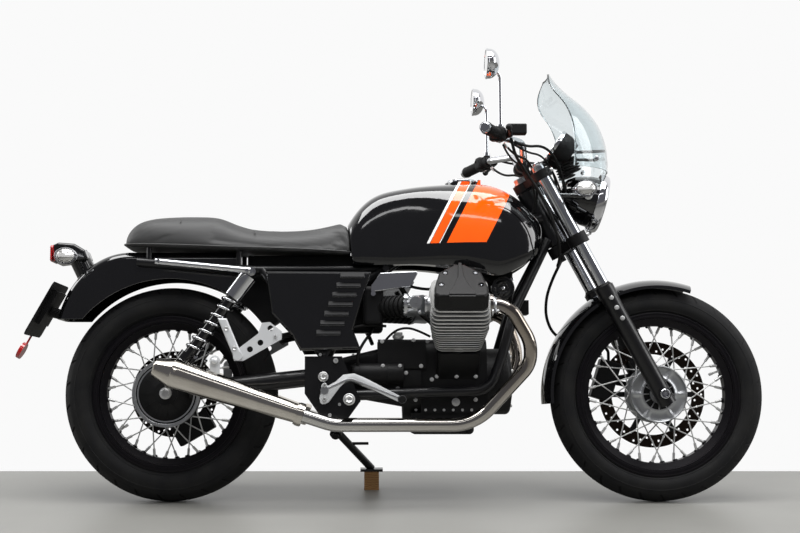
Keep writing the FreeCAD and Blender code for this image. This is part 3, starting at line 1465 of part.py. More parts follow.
def cylinder(sign):
    """Barrel and head, with fine fins that widen up the barrel and coarse ones round the head."""
    barrel = Part.makeCylinder(BARREL_RADIUS, HEAD_ALONG - DECK_ALONG, vec(0, 0, DECK_ALONG), Z_AXIS)
    core = box(-HEAD_CORE_LENGTH / 2, HEAD_CORE_LENGTH / 2, -HEAD_CORE_HEIGHT / 2, HEAD_CORE_HEIGHT / 2,
               HEAD_ALONG, COVER_ALONG)
    fins = []
    pitch = (HEAD_ALONG - DECK_ALONG) / BARREL_FIN_COUNT
    for index in range(BARREL_FIN_COUNT):
        grown = BARREL_FIN_SHARE + (1 - BARREL_FIN_SHARE) * index / BARREL_FIN_COUNT
        fins.append(fin_plate(DECK_ALONG + pitch * (index + 1 / 2), FIN_LENGTH * grown, FIN_HEIGHT * grown,
                              BARREL_FIN_THICKNESS))
    pitch = (COVER_ALONG - HEAD_ALONG) / len(HEAD_FIN_SHARES)
    for index, share in enumerate(HEAD_FIN_SHARES):
        fins.append(fin_plate(HEAD_ALONG + pitch * (index + 1 / 4), FIN_LENGTH * share, FIN_HEIGHT * share,
                              FIN_THICKNESS))
    exhaust = rod(vec(0, 0, port_level()), vec(FIN_LENGTH / 2, 0, port_level()), HEADER_FLANGE_DIAMETER)
    intake = rod(vec(0, 0, port_level()), vec(-FIN_LENGTH / 2, 0, port_level()), INTAKE_STUB_DIAMETER)
    return cylinder_local(fused([barrel, core, exhaust, intake] + fins), sign)


def port_level():
    """How far up the cylinder both ports lie."""
    return (HEAD_ALONG + COVER_ALONG) / 2


def port(sign, way):
    """The mouth of a port in the head's front or rear face, in the bike's own frame."""
    return vec(cylinder_x(sign) + way * FIN_LENGTH / 2, 0, CRANK_Z) + cylinder_axis(sign) * port_level()


def rocker_covers():
    """The two cast covers: narrow at the top, with a raised tongue and four sunk bolt seats."""
    return apart([cylinder_local(rocker_cover(), sign) for name, sign in SIDES])


def rocker_cover():
    """One cover about an upright cylinder at the origin, its narrow edge towards the bike's middle."""
    top = COVER_ALONG + COVER_THICKNESS
    body = raised_outline(COVER_SHARES, COVER_ALONG, top)
    body = rounded(body, COVER_EDGE_ROUND, lambda edge: edge.BoundBox.ZMin > top - RUNNING_FIT)
    tongue = raised_outline(TONGUE_SHARES, top - COVER_RIB_HEIGHT, top + COVER_RIB_HEIGHT)
    tongue = rounded(tongue, COVER_RIB_HEIGHT / 4, lambda edge: edge.BoundBox.ZMin > top)
    lip = [vec(COVER_LENGTH * x_share, 0, top - COVER_THICKNESS * z_share) for x_share, z_share in LIP_SHARES]
    apron = Part.Face(Part.makePolygon(lip + [lip[0]])).extrude(Y_AXIS * COVER_RIB_HEIGHT * 2)
    apron.translate(-Y_AXIS * (COVER_HEIGHT / 2 + COVER_RIB_HEIGHT))
    seats = []
    for x_share, y_share in COVER_BOLT_SHARES:
        for side in (-1, 1):
            at = vec(side * COVER_LENGTH * x_share, COVER_HEIGHT * y_share, top - COVER_RIB_HEIGHT)
            seats.append(Part.makeCylinder(COVER_SEAT_DIAMETER / 2, COVER_RIB_HEIGHT * 2, at, Z_AXIS))
    return fused([body, tongue, apron]).cut(seats)


def raised_outline(shares, low, high):
    """A mirrored outline in shares of the rocker cover, with its thickness along the cylinder."""
    half = [(COVER_LENGTH * x_share, COVER_HEIGHT * y_share) for x_share, y_share in shares]
    points = [vec(x, y, low) for x, y in half] + [vec(-x, y, low) for x, y in half[::-1]]
    return Part.Face(Part.makePolygon(points + [points[0]])).extrude(Z_AXIS * (high - low))


def crankcase():
    """The crankcase with its cylinder decks, bell housing, front cover and finned sump."""
    case = box(CASE_REAR_X, CASE_FRONT_X, -CASE_HALF_WIDTH, CASE_HALF_WIDTH, CASE_BOTTOM_Z, CASE_TOP_Z)
    case = rounded(case, CASE_HALF_WIDTH / 2,
                   lambda edge: along(edge, X_AXIS) and edge.BoundBox.ZMin > CRANK_Z)
    decks = [bell_cover(sign, CASE_REAR_X - BELL_LENGTH, CASE_REAR_X + CASTING_ROUND) for name, sign in SIDES]
    for name, sign in SIDES:
        deck = box(-DECK_LENGTH / 2, DECK_LENGTH / 2, -DECK_HEIGHT / 2, DECK_HEIGHT / 2, 0, DECK_ALONG)
        deck = rounded(deck, CASTING_ROUND, lambda edge: along(edge, Z_AXIS))
        decks.append(cylinder_local(deck, sign))
    bell = Part.makeCylinder(BELL_RADIUS, BELL_LENGTH, vec(CASE_REAR_X - BELL_LENGTH, 0, CRANK_Z), X_AXIS)
    front = Part.makeCylinder(ALTERNATOR_RADIUS, ALTERNATOR_LENGTH, vec(CASE_FRONT_X, 0, CRANK_Z), X_AXIS)
    front = rounded(front, CASTING_ROUND, lambda edge: edge.BoundBox.XMin > CASE_FRONT_X + CASTING_ROUND)
    sump = box(SUMP_REAR_X, SUMP_FRONT_X, -SUMP_HALF_WIDTH, SUMP_HALF_WIDTH, SUMP_BOTTOM_Z, CASE_BOTTOM_Z)
    sump = rounded(sump, CASTING_ROUND, lambda edge: edge.BoundBox.ZMin < CASE_BOTTOM_Z - CASTING_ROUND)
    body = fused([case, bell, front, sump] + decks)
    gap = (SUMP_FRONT_X - SUMP_REAR_X) / (SUMP_FIN_COUNT + 1)
    grooves = []
    for index in range(SUMP_FIN_COUNT):
        x = SUMP_REAR_X + gap * (index + 1)
        for sign in (-1, 1):
            y0 = sign * SUMP_HALF_WIDTH - SUMP_FIN_DEPTH
            grooves.append(box(x - SUMP_FIN_WIDTH / 2, x + SUMP_FIN_WIDTH / 2, y0, y0 + SUMP_FIN_DEPTH * 2,
                               SUMP_BOTTOM_Z - SUMP_FIN_DEPTH, CASE_BOTTOM_Z - CASTING_ROUND))
    return body.cut(grooves)


def gearbox():
    """The tapering gearbox behind the bell housing, with the starter motor on its right."""
    front_x = CASE_REAR_X - BELL_LENGTH
    front = section_loop(front_x, GEARBOX_HALF_WIDTH, GEARBOX_BOTTOM_Z, GEARBOX_TOP_Z)
    rear = section_loop(GEARBOX_REAR_X, GEARBOX_REAR_HALF_WIDTH, GEARBOX_REAR_BOTTOM_Z, GEARBOX_REAR_TOP_Z)
    body = Part.makeLoft([front, rear], True, True)
    starter_y = -GEARBOX_HALF_WIDTH - STARTER_DIAMETER / 4
    starter = rod(vec(front_x, starter_y, STARTER_Z), vec(front_x - STARTER_LENGTH, starter_y, STARTER_Z),
                  STARTER_DIAMETER)
    starter = rounded(starter, STARTER_DIAMETER / 8,
                      lambda edge: edge.BoundBox.XMax < front_x - STARTER_LENGTH + RUNNING_FIT)
    pivot = rod(vec(PIVOT_X, -GEARBOX_REAR_HALF_WIDTH, PIVOT_Z),
                vec(PIVOT_X, GEARBOX_REAR_HALF_WIDTH, PIVOT_Z),
                ARM_DIAMETER)
    tail = box(PIVOT_X, GEARBOX_REAR_X + CASTING_ROUND, -GEARBOX_REAR_HALF_WIDTH, GEARBOX_REAR_HALF_WIDTH,
               PIVOT_Z - ARM_DIAMETER / 2, PIVOT_Z + ARM_DIAMETER / 2)
    covers = [bell_cover(sign, BELL_COVER_REAR_X, front_x) for name, sign in SIDES]
    return fused([body, starter, pivot, tail] + covers)


def bell_cover(sign, rear_x, front_x):
    """A boxy cover on the side of the bell housing or gearbox."""
    outer = sign * BELL_COVER_HALF_WIDTH
    inner = sign * GEARBOX_REAR_HALF_WIDTH
    cover = box(rear_x, front_x, min(inner, outer), max(inner, outer), BELL_COVER_BOTTOM_Z, BELL_COVER_TOP_Z)
    return rounded(cover, CASTING_ROUND / 2,
                   lambda edge: along(edge, X_AXIS) and abs(edge.BoundBox.Center.y - outer) < RUNNING_FIT)


def section_loop(x, half, bottom, top):
    """A rounded rectangle across the bike."""
    face = Part.Face(Part.makePolygon([vec(x, -half, bottom), vec(x, half, bottom), vec(x, half, top),
                                       vec(x, -half, top), vec(x, -half, bottom)]))
    solid = face.extrude(X_AXIS)
    solid = rounded(solid, half / 3, lambda edge: along(edge, X_AXIS))
    end = min(solid.Faces, key=lambda item: item.CenterOfMass.x)
    return end.OuterWire


def intakes():
    """On each side the stub, throttle body and ribbed boot, from the head back to the airbox."""
    made = []
    for name, sign in SIDES:
        start = port(sign, -1)
        stub_end = start - X_AXIS * INTAKE_STUB_LENGTH
        face = vec(AIRBOX_FRONT_X, sign * (AIRBOX_CHEEK_HALF_WIDTH - BOOT_DIAMETER / 2), start.z)
        back = (face - stub_end).normalize()
        body_end = stub_end + back * INTAKE_BODY_LENGTH
        run = face - body_end
        parts = [rod(start, stub_end, INTAKE_STUB_DIAMETER),
                 Part.makeSphere(INTAKE_STUB_DIAMETER / 2, stub_end),
                 rod(stub_end + back * INTAKE_STUB_LENGTH / 2, body_end, INTAKE_BODY_DIAMETER),
                 rod(stub_end, body_end, INTAKE_STUB_DIAMETER),
                 rod(body_end, face + back * BOOT_DIAMETER / 2, BOOT_DIAMETER)]
        for index in range(BOOT_RIB_COUNT):
            at = body_end + run * (index + 1 / 2) / BOOT_RIB_COUNT
            thick = run / BOOT_RIB_COUNT / 4
            parts.append(rod(at - thick, at + thick, BOOT_DIAMETER + BOOT_GROOVE_DEPTH * 2))
        trimmed = fused(parts).cut(airbox())
        made.append(max(trimmed.Solids, key=lambda solid: solid.Volume))
    return apart(made)


def airbox():
    """The air filter and battery housing under the seat nose, with a cheek for each intake boot."""
    middle = rounded_box(AIRBOX_REAR_X, AIRBOX_FRONT_X, -AIRBOX_HALF_WIDTH, AIRBOX_HALF_WIDTH,
                         AIRBOX_BOTTOM_Z,
                         AIRBOX_TOP_Z, CASTING_ROUND)
    cheeks = rounded_box(AIRBOX_CHEEK_REAR_X, AIRBOX_FRONT_X, -AIRBOX_CHEEK_HALF_WIDTH,
                         AIRBOX_CHEEK_HALF_WIDTH,
                         AIRBOX_CHEEK_BOTTOM_Z, AIRBOX_CHEEK_TOP_Z, CASTING_ROUND)
    return fused([middle, cheeks])


def header_points(sign):
    """The header pipe's route: ahead out of the port, over its brow, down and back to the silencer."""
    start = port(sign, 1)
    slope = silencer_axis().z / silencer_axis().x
    bend_x = SILENCER_FRONT_X + (HEADER_LOW_Z - SILENCER_FRONT_Z) / slope
    inward = vec(0, sign * HEADER_LOW_Y - start.y, 0)
    brow = start + X_AXIS * HEADER_BROW_RUN
    turn = brow + vec(HEADER_BROW_RUN, 0, -HEADER_BROW_DROP)
    return [start, brow, turn, vec(HEADER_FRONT_X, start.y, HEADER_SHOULDER_Z) + inward / 3,
            vec(HEADER_FRONT_X, start.y, HEADER_KNEE_Z) + inward * 2 / 3,
            vec(HEADER_TOE_X, sign * HEADER_LOW_Y, HEADER_LOW_Z),
            vec(bend_x, sign * SILENCER_Y, HEADER_LOW_Z),
            vec(SILENCER_FRONT_X, sign * SILENCER_Y, SILENCER_FRONT_Z)]


def header(sign):
    """A header pipe with the flange that holds it to the head."""
    points = header_points(sign)
    pipe = bent_tube(points, HEADER_BEND_RADIUS, HEADER_DIAMETER, HEADER_DIAMETER - HEADER_WALL * 2)
    flange = tube(points[0], points[0] + X_AXIS * HEADER_FLANGE_LENGTH, HEADER_FLANGE_DIAMETER,
                  HEADER_DIAMETER - HEADER_WALL)
    return fused([pipe, flange])


def silencer_axis():
    """The way the silencer runs, back and up."""
    return vec(SILENCER_REAR_X - SILENCER_FRONT_X, 0, SILENCER_REAR_Z - SILENCER_FRONT_Z).normalize()


def silencer(sign):
    """A long megaphone silencer with a short reversed cone and an open tip."""
    front = vec(SILENCER_FRONT_X, sign * SILENCER_Y, SILENCER_FRONT_Z)
    rear = vec(SILENCER_REAR_X, sign * SILENCER_Y, SILENCER_REAR_Z)
    length = (rear - front).Length
    gap = RUNNING_FIT
    small = SILENCER_FRONT_DIAMETER / 2
    large = SILENCER_DIAMETER / 2
    tip = SILENCER_TIP_DIAMETER / 2
    clamp = SILENCER_CLAMP_DIAMETER / 2
    wall = SILENCER_WALL
    bore = HEADER_DIAMETER / 2
    neck = length - SILENCER_TIP_LENGTH
    profile = [(bore, gap), (clamp, gap), (clamp, SILENCER_CLAMP_LENGTH), (small, SILENCER_CLAMP_LENGTH),
               (large, neck - SILENCER_TIP_LENGTH / 3), (large, neck), (tip, length),
               (tip - wall, length), (tip - wall, neck), (large - wall, neck - SILENCER_TIP_LENGTH / 2),
               (small - wall, SILENCER_CLAMP_LENGTH * 2), (bore, SILENCER_CLAMP_LENGTH)]
    return turned(profile, front, silencer_axis())


# Fuel tank and cap

def tank_station(shares):
    """One section of the tank, between its bottom and top line."""
    top_x, top_z, bottom_x, bottom_z, width, waist = shares
    bottom = vec(TANK_REAR_X + TANK_LENGTH * bottom_x, 0, TANK_BOTTOM_Z + TANK_HEIGHT * bottom_z)
    top = vec(TANK_REAR_X + TANK_LENGTH * top_x, 0, TANK_BOTTOM_Z + TANK_HEIGHT * top_z)
    points = []
    for width_share, height_share, waist_share in TANK_SECTION_SHARES:
        pinch = 1 - (1 - waist) * waist_share
        half = TANK_HALF_WIDTH * width * width_share * pinch
        points.append(bottom + (top - bottom) * height_share + Y_AXIS * half)
    return arched_loop(points)


def tank_body():
    """The tank's outer form."""
    return Part.makeLoft([tank_station(shares) for shares in TANK_STATION_SHARES], True, False)


def cap_seat():
    """The place on the tank's top where the filler cap sits."""
    return vec(CAP_X, 0, TANK_BOTTOM_Z + TANK_HEIGHT)


def fuel_tank():
    """The teardrop tank, tunnelled for the frame, with the collar and hinge of its filler."""
    below = TANK_BOTTOM_Z - TANK_HEIGHT / 4
    tunnel = plate([(TANK_REAR_X - CUT_OVERRUN, below), (TANK_FRONT_X + CUT_OVERRUN, below),
                    (TANK_FRONT_X + CUT_OVERRUN, TANK_BOTTOM_Z + TUNNEL_FRONT_HEIGHT),
                    (TANK_REAR_X - CUT_OVERRUN, TANK_BOTTOM_Z + TUNNEL_REAR_HEIGHT)],
                   -TUNNEL_HALF_WIDTH, TUNNEL_HALF_WIDTH)
    relief = rod(stem_point(LOWER_YOKE_ALONG - YOKE_WEB_WIDTH), stem_point(UPPER_YOKE_ALONG + YOKE_WEB_WIDTH),
                 HEAD_RELIEF_RADIUS * 2)
    body = tank_body().cut([tunnel, relief])
    seat = cap_seat()
    collar = rod(seat - Z_AXIS * CAP_PLUG_LENGTH, seat + Z_AXIS * (CAP_RISE - CAP_THICKNESS),
                 CAP_COLLAR_DIAMETER)
    well = rod(seat - Z_AXIS * CAP_PLUG_LENGTH, seat + Z_AXIS * CAP_RISE, CAP_PLUG_DIAMETER + FACE_FIT * 2)
    hinge = cap_hinge()
    ears = []
    for sign in (-1, 1):
        inner = sign * (CAP_HINGE_WIDTH / 2 + RUNNING_FIT)
        outer = sign * (CAP_HINGE_WIDTH / 2 + CAP_HINGE_DIAMETER)
        ears.append(box(hinge.x - CAP_HINGE_DIAMETER / 2, hinge.x + CAP_HINGE_DIAMETER / 2, min(inner, outer),
                        max(inner, outer), seat.z - CAP_PLUG_LENGTH, hinge.z + CAP_PIN_DIAMETER))
    pin = rod(hinge - Y_AXIS * CAP_HINGE_WIDTH, hinge + Y_AXIS * CAP_HINGE_WIDTH, CAP_PIN_DIAMETER)
    pin = pin.common(box(hinge.x - CAP_HINGE_DIAMETER, hinge.x + CAP_HINGE_DIAMETER, -outer, outer,
                         hinge.z - CAP_HINGE_DIAMETER, hinge.z + CAP_HINGE_DIAMETER))
    return fused([body, collar, pin] + ears).cut(well)


def cap_hinge():
    """The middle of the filler cap's hinge pin, ahead of its front edge."""
    return cap_seat() + vec(CAP_DIAMETER / 2 + CAP_HINGE_DIAMETER / 2 + FACE_FIT, 0,
                            CAP_RISE - CAP_THICKNESS + RUNNING_FIT + CAP_HINGE_DIAMETER / 2)


def filler_cap():
    """The round cap with its plug and its hinge knuckle."""
    seat = cap_seat() + Z_AXIS * (CAP_RISE - CAP_THICKNESS + RUNNING_FIT)
    lid = rounded(Part.makeCylinder(CAP_DIAMETER / 2, CAP_THICKNESS, seat, Z_AXIS), CAP_THICKNESS / 4,
                  lambda edge: edge.BoundBox.ZMin > seat.z + CAP_THICKNESS / 2)
    plug = rod(seat - Z_AXIS * CAP_PLUG_LENGTH / 2, seat, CAP_PLUG_DIAMETER - FACE_FIT * 4)
    hinge = cap_hinge()
    half = CAP_HINGE_WIDTH / 2
    knuckle = rod(hinge - Y_AXIS * half, hinge + Y_AXIS * half, CAP_HINGE_DIAMETER)
    leaf = box(seat.x + CAP_DIAMETER / 3, hinge.x, -half, half, seat.z, seat.z + CAP_HINGE_DIAMETER / 2)
    bore = rod(hinge - Y_AXIS * CAP_HINGE_WIDTH, hinge + Y_AXIS * CAP_HINGE_WIDTH,
               CAP_PIN_DIAMETER + RUNNING_FIT)
    return fused([lid, plug, knuckle, leaf]).cut(bore)


# Seat, covers and fender

def seat_station(shares):
    """One section of the seat, from its flat base up."""
    top_x, top_z, bottom_x, width = shares
    length = seat_front_x() - SEAT_REAR_X
    base_x = SEAT_REAR_X + length * bottom_x
    bottom = vec(base_x, 0, seat_base(base_x))
    top = vec(SEAT_REAR_X + length * top_x, 0, SEAT_BOTTOM_Z + SEAT_HEIGHT * top_z)
    points = [bottom + (top - bottom) * up + Y_AXIS * SEAT_HALF_WIDTH * width * across
              for across, up in SEAT_SECTION_SHARES]
    return arched_loop(points)


def seat():
    """The stepped dual seat, its nose against the back of the tank."""
    body = Part.makeLoft([seat_station(shares) for shares in SEAT_STATION_SHARES], True, False)
    tank = tank_body()
    tank.translate(-X_AXIS * SOFT_CLEARANCE)
    return body.cut(tank)


def side_cover(sign):
    """A shallow pan with a row of raised louvres down its front edge, on two pegs from the frame."""
    points = share_points(SIDE_COVER_SHARES, SIDE_COVER_REAR_X, SIDE_COVER_LENGTH, SIDE_COVER_BOTTOM_Z,
                          SIDE_COVER_HEIGHT)
    outer = plate(points, SIDE_COVER_Y - SIDE_COVER_DEPTH, SIDE_COVER_Y)
    outer = rounded(outer, SIDE_COVER_ROUND, lambda edge: edge.BoundBox.YMin > SIDE_COVER_Y - RUNNING_FIT)
    hollow = plate(inset(points), SIDE_COVER_Y - SIDE_COVER_DEPTH - CUT_OVERRUN,
                   SIDE_COVER_Y - SIDE_COVER_SHEET * 2)
    slats = [louvre(index / (LOUVRE_COUNT - 1)) for index in range(LOUVRE_COUNT)]
    tubes = [frame_strut(1, RAIL_TUBE_DIAMETER + RUNNING_FIT * 2),
             frame_spine(1, SPINE_TUBE_DIAMETER + RUNNING_FIT * 2)]
    held = []
    for x, z in ((SIDE_PEG_REAR_X, SIDE_PEG_REAR_Z), (SIDE_PEG_FRONT_X, SIDE_PEG_FRONT_Z)):
        peg = rod(vec(x, FRAME_FOOT_HALF / 2, z), vec(x, SIDE_COVER_Y - SIDE_COVER_SHEET, z),
                  SIDE_COVER_PEG_DIAMETER)
        held.append(outermost(peg.cut(tubes), 1))
    return on_side(fused([outer.cut(hollow)] + slats + held), sign)


def louvre(share):
    """One pressed louvre, flush at its top and proud at its foot, a share of the way down the row."""
    x_share = LOUVRE_TOP_X_SHARE + (LOUVRE_BOTTOM_X_SHARE - LOUVRE_TOP_X_SHARE) * share
    z_share = LOUVRE_TOP_Z_SHARE + (LOUVRE_BOTTOM_Z_SHARE - LOUVRE_TOP_Z_SHARE) * share
    x = SIDE_COVER_REAR_X + SIDE_COVER_LENGTH * x_share
    z = SIDE_COVER_BOTTOM_Z + SIDE_COVER_HEIGHT * z_share
    under = SIDE_COVER_Y - SIDE_COVER_SHEET
    proud = SIDE_COVER_Y + LOUVRE_PROUD
    corners = [vec(x, under, z), vec(x, SIDE_COVER_Y, z), vec(x, proud, z - LOUVRE_THICKNESS * 2 / 3),
               vec(x, proud, z - LOUVRE_THICKNESS), vec(x, under, z - LOUVRE_THICKNESS)]
    slat = Part.Face(Part.makePolygon(corners + [corners[0]]))
    slat = slat.extrude(X_AXIS * SIDE_COVER_LENGTH * LOUVRE_LENGTH_SHARE)
    return rounded(slat, LOUVRE_PROUD / 3, lambda edge: edge.BoundBox.YMax > proud - RUNNING_FIT)


def inset(points):
    """An outline moved in by one sheet thickness."""
    wire = Part.makePolygon([vec(x, 0, z) for x, z in points + [points[0]]])
    moved = wire.makeOffset2D(-SIDE_COVER_SHEET * 2)
    return [(vertex.Point.x, vertex.Point.z) for vertex in moved.OrderedVertexes]


def chrome_covers():
    """The two bright plates under the tank, each on one bolt."""
    made = []
    for name, sign in SIDES:
        points = share_points(CHROME_COVER_SHARES, CHROME_COVER_REAR_X, CHROME_COVER_LENGTH,
                              CHROME_COVER_BOTTOM_Z,
                              CHROME_COVER_HEIGHT)
        sheet = plate(points, CHROME_COVER_Y - CHROME_COVER_THICKNESS, CHROME_COVER_Y)
        sheet = rounded(sheet, CHROME_COVER_THICKNESS / 2,
                        lambda edge: edge.BoundBox.YMin > CHROME_COVER_Y - RUNNING_FIT)
        bolt_at = vec(CHROME_COVER_REAR_X + CHROME_BOLT_DIAMETER / 2, CHROME_COVER_Y,
                      CHROME_COVER_BOTTOM_Z - CHROME_BOLT_DIAMETER / 3)
        bolt = rod(vec(bolt_at.x, AIRBOX_CHEEK_HALF_WIDTH + RUNNING_FIT, bolt_at.z),
                   bolt_at + Y_AXIS * CHROME_COVER_THICKNESS, CHROME_BOLT_DIAMETER)
        made.append(on_side(fused([sheet, bolt]), sign))
    return apart(made)


def seat_front_x():
    return TANK_REAR_X + TANK_LENGTH * TANK_STATION_SHARES[0][2] + SOFT_CLEARANCE


def seat_base(x):
    """The height of the seat's underside at a place along it."""
    share = (x - SEAT_REAR_X) / (seat_front_x() - SEAT_REAR_X)
    return SEAT_BOTTOM_Z + SEAT_BOTTOM_RISE * (1 - share)


def rear_fender():
    """The painted fender: a channel over the wheel, with a cut-off tail."""
    length = REAR_FENDER_FRONT_X - REAR_FENDER_TAIL_X
    height = REAR_FENDER_TOP_Z - REAR_FENDER_TAIL_Z
    outer = fender_block(length, height, 0, REAR_FENDER_HALF_WIDTH)
    inner = fender_block(length, height, REAR_FENDER_SHEET, REAR_FENDER_HALF_WIDTH - REAR_FENDER_SHEET)
    arch = Part.makeCylinder(REAR_FENDER_ARCH_RADIUS, REAR_FENDER_HALF_WIDTH * 4,
                             rear_axle() - Y_AXIS * REAR_FENDER_HALF_WIDTH * 2, Y_AXIS)
    return outer.cut(inner).cut(arch)


def fender_block(length, height, sheet, half):
    """The rear fender's outer form, or what hollows it."""
    curve_points = [vec(REAR_FENDER_TAIL_X + length * along_share + sheet * (1 - along_share), 0,
                        REAR_FENDER_TAIL_Z + height * up_share - sheet * min(up_share * 4, 1))
                    for along_share, up_share in REAR_FENDER_TOP_SHARES[:-1]]
    spline = Part.BSplineCurve()
    spline.interpolate(curve_points)
    top_end = vec(REAR_FENDER_FRONT_X, 0, curve_points[-1].z)
    low_front = vec(REAR_FENDER_FRONT_X, 0, REAR_FENDER_TAIL_Z)
    edges = [spline.toShape(), Part.LineSegment(curve_points[-1], top_end).toShape(),
             Part.LineSegment(top_end, low_front).toShape(),
             Part.LineSegment(low_front, curve_points[0]).toShape()]
    face = Part.Face(Part.Wire(edges))
    face.translate(-Y_AXIS * half)
    block = face.extrude(Y_AXIS * half * 2)
    level = REAR_FENDER_TAIL_Z + height - sheet - RUNNING_FIT
    top_edges = [edge for edge in block.Edges if edge.BoundBox.YLength < RUNNING_FIT
                 and edge.BoundBox.ZMax > level and edge.BoundBox.XMin < REAR_FENDER_FRONT_X - CASTING_ROUND]
    return block.makeFillet(REAR_FENDER_ROUND - sheet, top_edges)


def rail_height(x):
    """The height of the seat rails' centre line behind the shocks."""
    return RAIL_MID_Z + (RAIL_REAR_Z - RAIL_MID_Z) * (RAIL_MID_X - x) / (RAIL_MID_X - RAIL_REAR_X)


def head_high():
    return UPPER_YOKE_ALONG - UPPER_YOKE_THICKNESS / 2 - HEAD_TUBE_CLEARANCE


def head_low():
    return LOWER_YOKE_ALONG + LOWER_YOKE_THICKNESS / 2 + HEAD_TUBE_CLEARANCE


def frame_strut(sign, diameter):
    """The strut from the pivot plate up to the seat rail."""
    return rod(vec(PIVOT_X, sign * FRAME_FOOT_HALF, PIVOT_Z + ARM_DIAMETER),
               vec(RAIL_MID_X + RAIL_TUBE_DIAMETER, sign * RAIL_HALF_WIDTH, RAIL_MID_Z), diameter)


def frame_spine(sign, diameter):
    """One spine tube, from the head tube over the engine and down to the pivot plate."""
    points = [stem_point((head_low() + head_high()) / 2) + Y_AXIS * sign * SPINE_FRONT_HALF,
              vec(SPINE_MID_X, sign * SPINE_MID_HALF, SPINE_MID_Z),
              vec(SPINE_DROP_X, sign * SPINE_DROP_HALF, SPINE_DROP_Z),
              vec(PIVOT_X, sign * FRAME_FOOT_HALF, PIVOT_Z + ARM_DIAMETER)]
    return bent_rod(points, TUBE_BEND_RADIUS, diameter)


def pivot_plate(sign, margin=0):
    """A pivot plate, or with a margin the room that it needs."""
    outline = [(PIVOT_X - ARM_DIAMETER, PIVOT_Z + ARM_DIAMETER),
               (PIVOT_X + ARM_DIAMETER, PIVOT_Z + ARM_DIAMETER),
               (PEG_X + PEG_DIAMETER, PEG_Z), (STAND_PIVOT_X + PEG_DIAMETER, STAND_PIVOT_Z + PEG_DIAMETER),
               (STAND_PIVOT_X - PEG_DIAMETER, STAND_PIVOT_Z + PEG_DIAMETER),
               (PIVOT_X - ARM_DIAMETER, PIVOT_Z - ARM_DIAMETER)]
    return on_side(plate(outline, plate_inner() - margin, plate_outer() + margin), sign)


def plate_outer():
    return plate_inner() + PIVOT_PLATE_THICKNESS


def plate_inner():
    """The inner face of the pivot plates, clear of the swingarm."""
    return ARM_Y + ARM_DIAMETER / 2 + PIVOT_CLEARANCE


# Frame

def main_frame():
    """The welded frame: head tube, twin spine, seat rails, struts and pivot plates."""
    parts = [rod(stem_point(head_low()), stem_point(head_high()), HEAD_TUBE_DIAMETER)]
    for name, sign in SIDES:
        parts += frame_side(sign)
    cross_x = REAR_FENDER_FRONT_X + RAIL_TUBE_DIAMETER / 2 + RAIL_CROSS_GAP
    parts.append(across_bar(cross_x, RAIL_HALF_WIDTH, rail_height(cross_x), RAIL_TUBE_DIAMETER))
    parts.append(across_bar(TANK_REST_X, TANK_REST_HALF, TANK_BOTTOM_Z - RUNNING_FIT - TANK_REST_DIAMETER / 2,
                            TANK_REST_DIAMETER))
    stem_bore = rod(stem_point(LOWER_YOKE_ALONG), stem_point(UPPER_YOKE_ALONG), STEM_DIAMETER + FACE_FIT * 2)
    return fused([fused(parts + [stand_lug()]).cut([stem_bore, stand_room()]), stand_pin()])


def stand_pin():
    """The pin that the side stand turns on, with its head."""
    axis = stand_axis()
    reach = STAND_FORK_WIDTH / 2 + FACE_FIT
    head = stand_pivot() - axis * reach
    return fused([rod(head, stand_pivot() + axis * (reach + PIVOT_PLATE_THICKNESS), SHOCK_BOLT_DIAMETER),
                  rod(head - axis * PIVOT_PLATE_THICKNESS, head, STAND_LEG_DIAMETER)])


def stand_room():
    """The room round the side stand's barrel."""
    half = stand_axis() * (STAND_FORK_WIDTH / 2 + FACE_FIT)
    return rod(stand_pivot() - half, stand_pivot() + half, STAND_LEG_DIAMETER * 3 / 2 + STAND_ROOM * 2)


def stand_lug():
    """The ear that carries the side stand's pin, on a stalk from the left pivot plate."""
    axis = stand_axis()
    inner = stand_pivot() + axis * (STAND_FORK_WIDTH / 2 + FACE_FIT)
    outer = inner + axis * PIVOT_PLATE_THICKNESS
    stalk = rod((inner + outer) / 2, vec(STAND_PIVOT_X, (plate_inner() + plate_outer()) / 2, PEG_Z),
                STAND_LEG_DIAMETER * 2 / 3)
    return fused([rod(inner, outer, STAND_LEG_DIAMETER * 3 / 2), stalk])


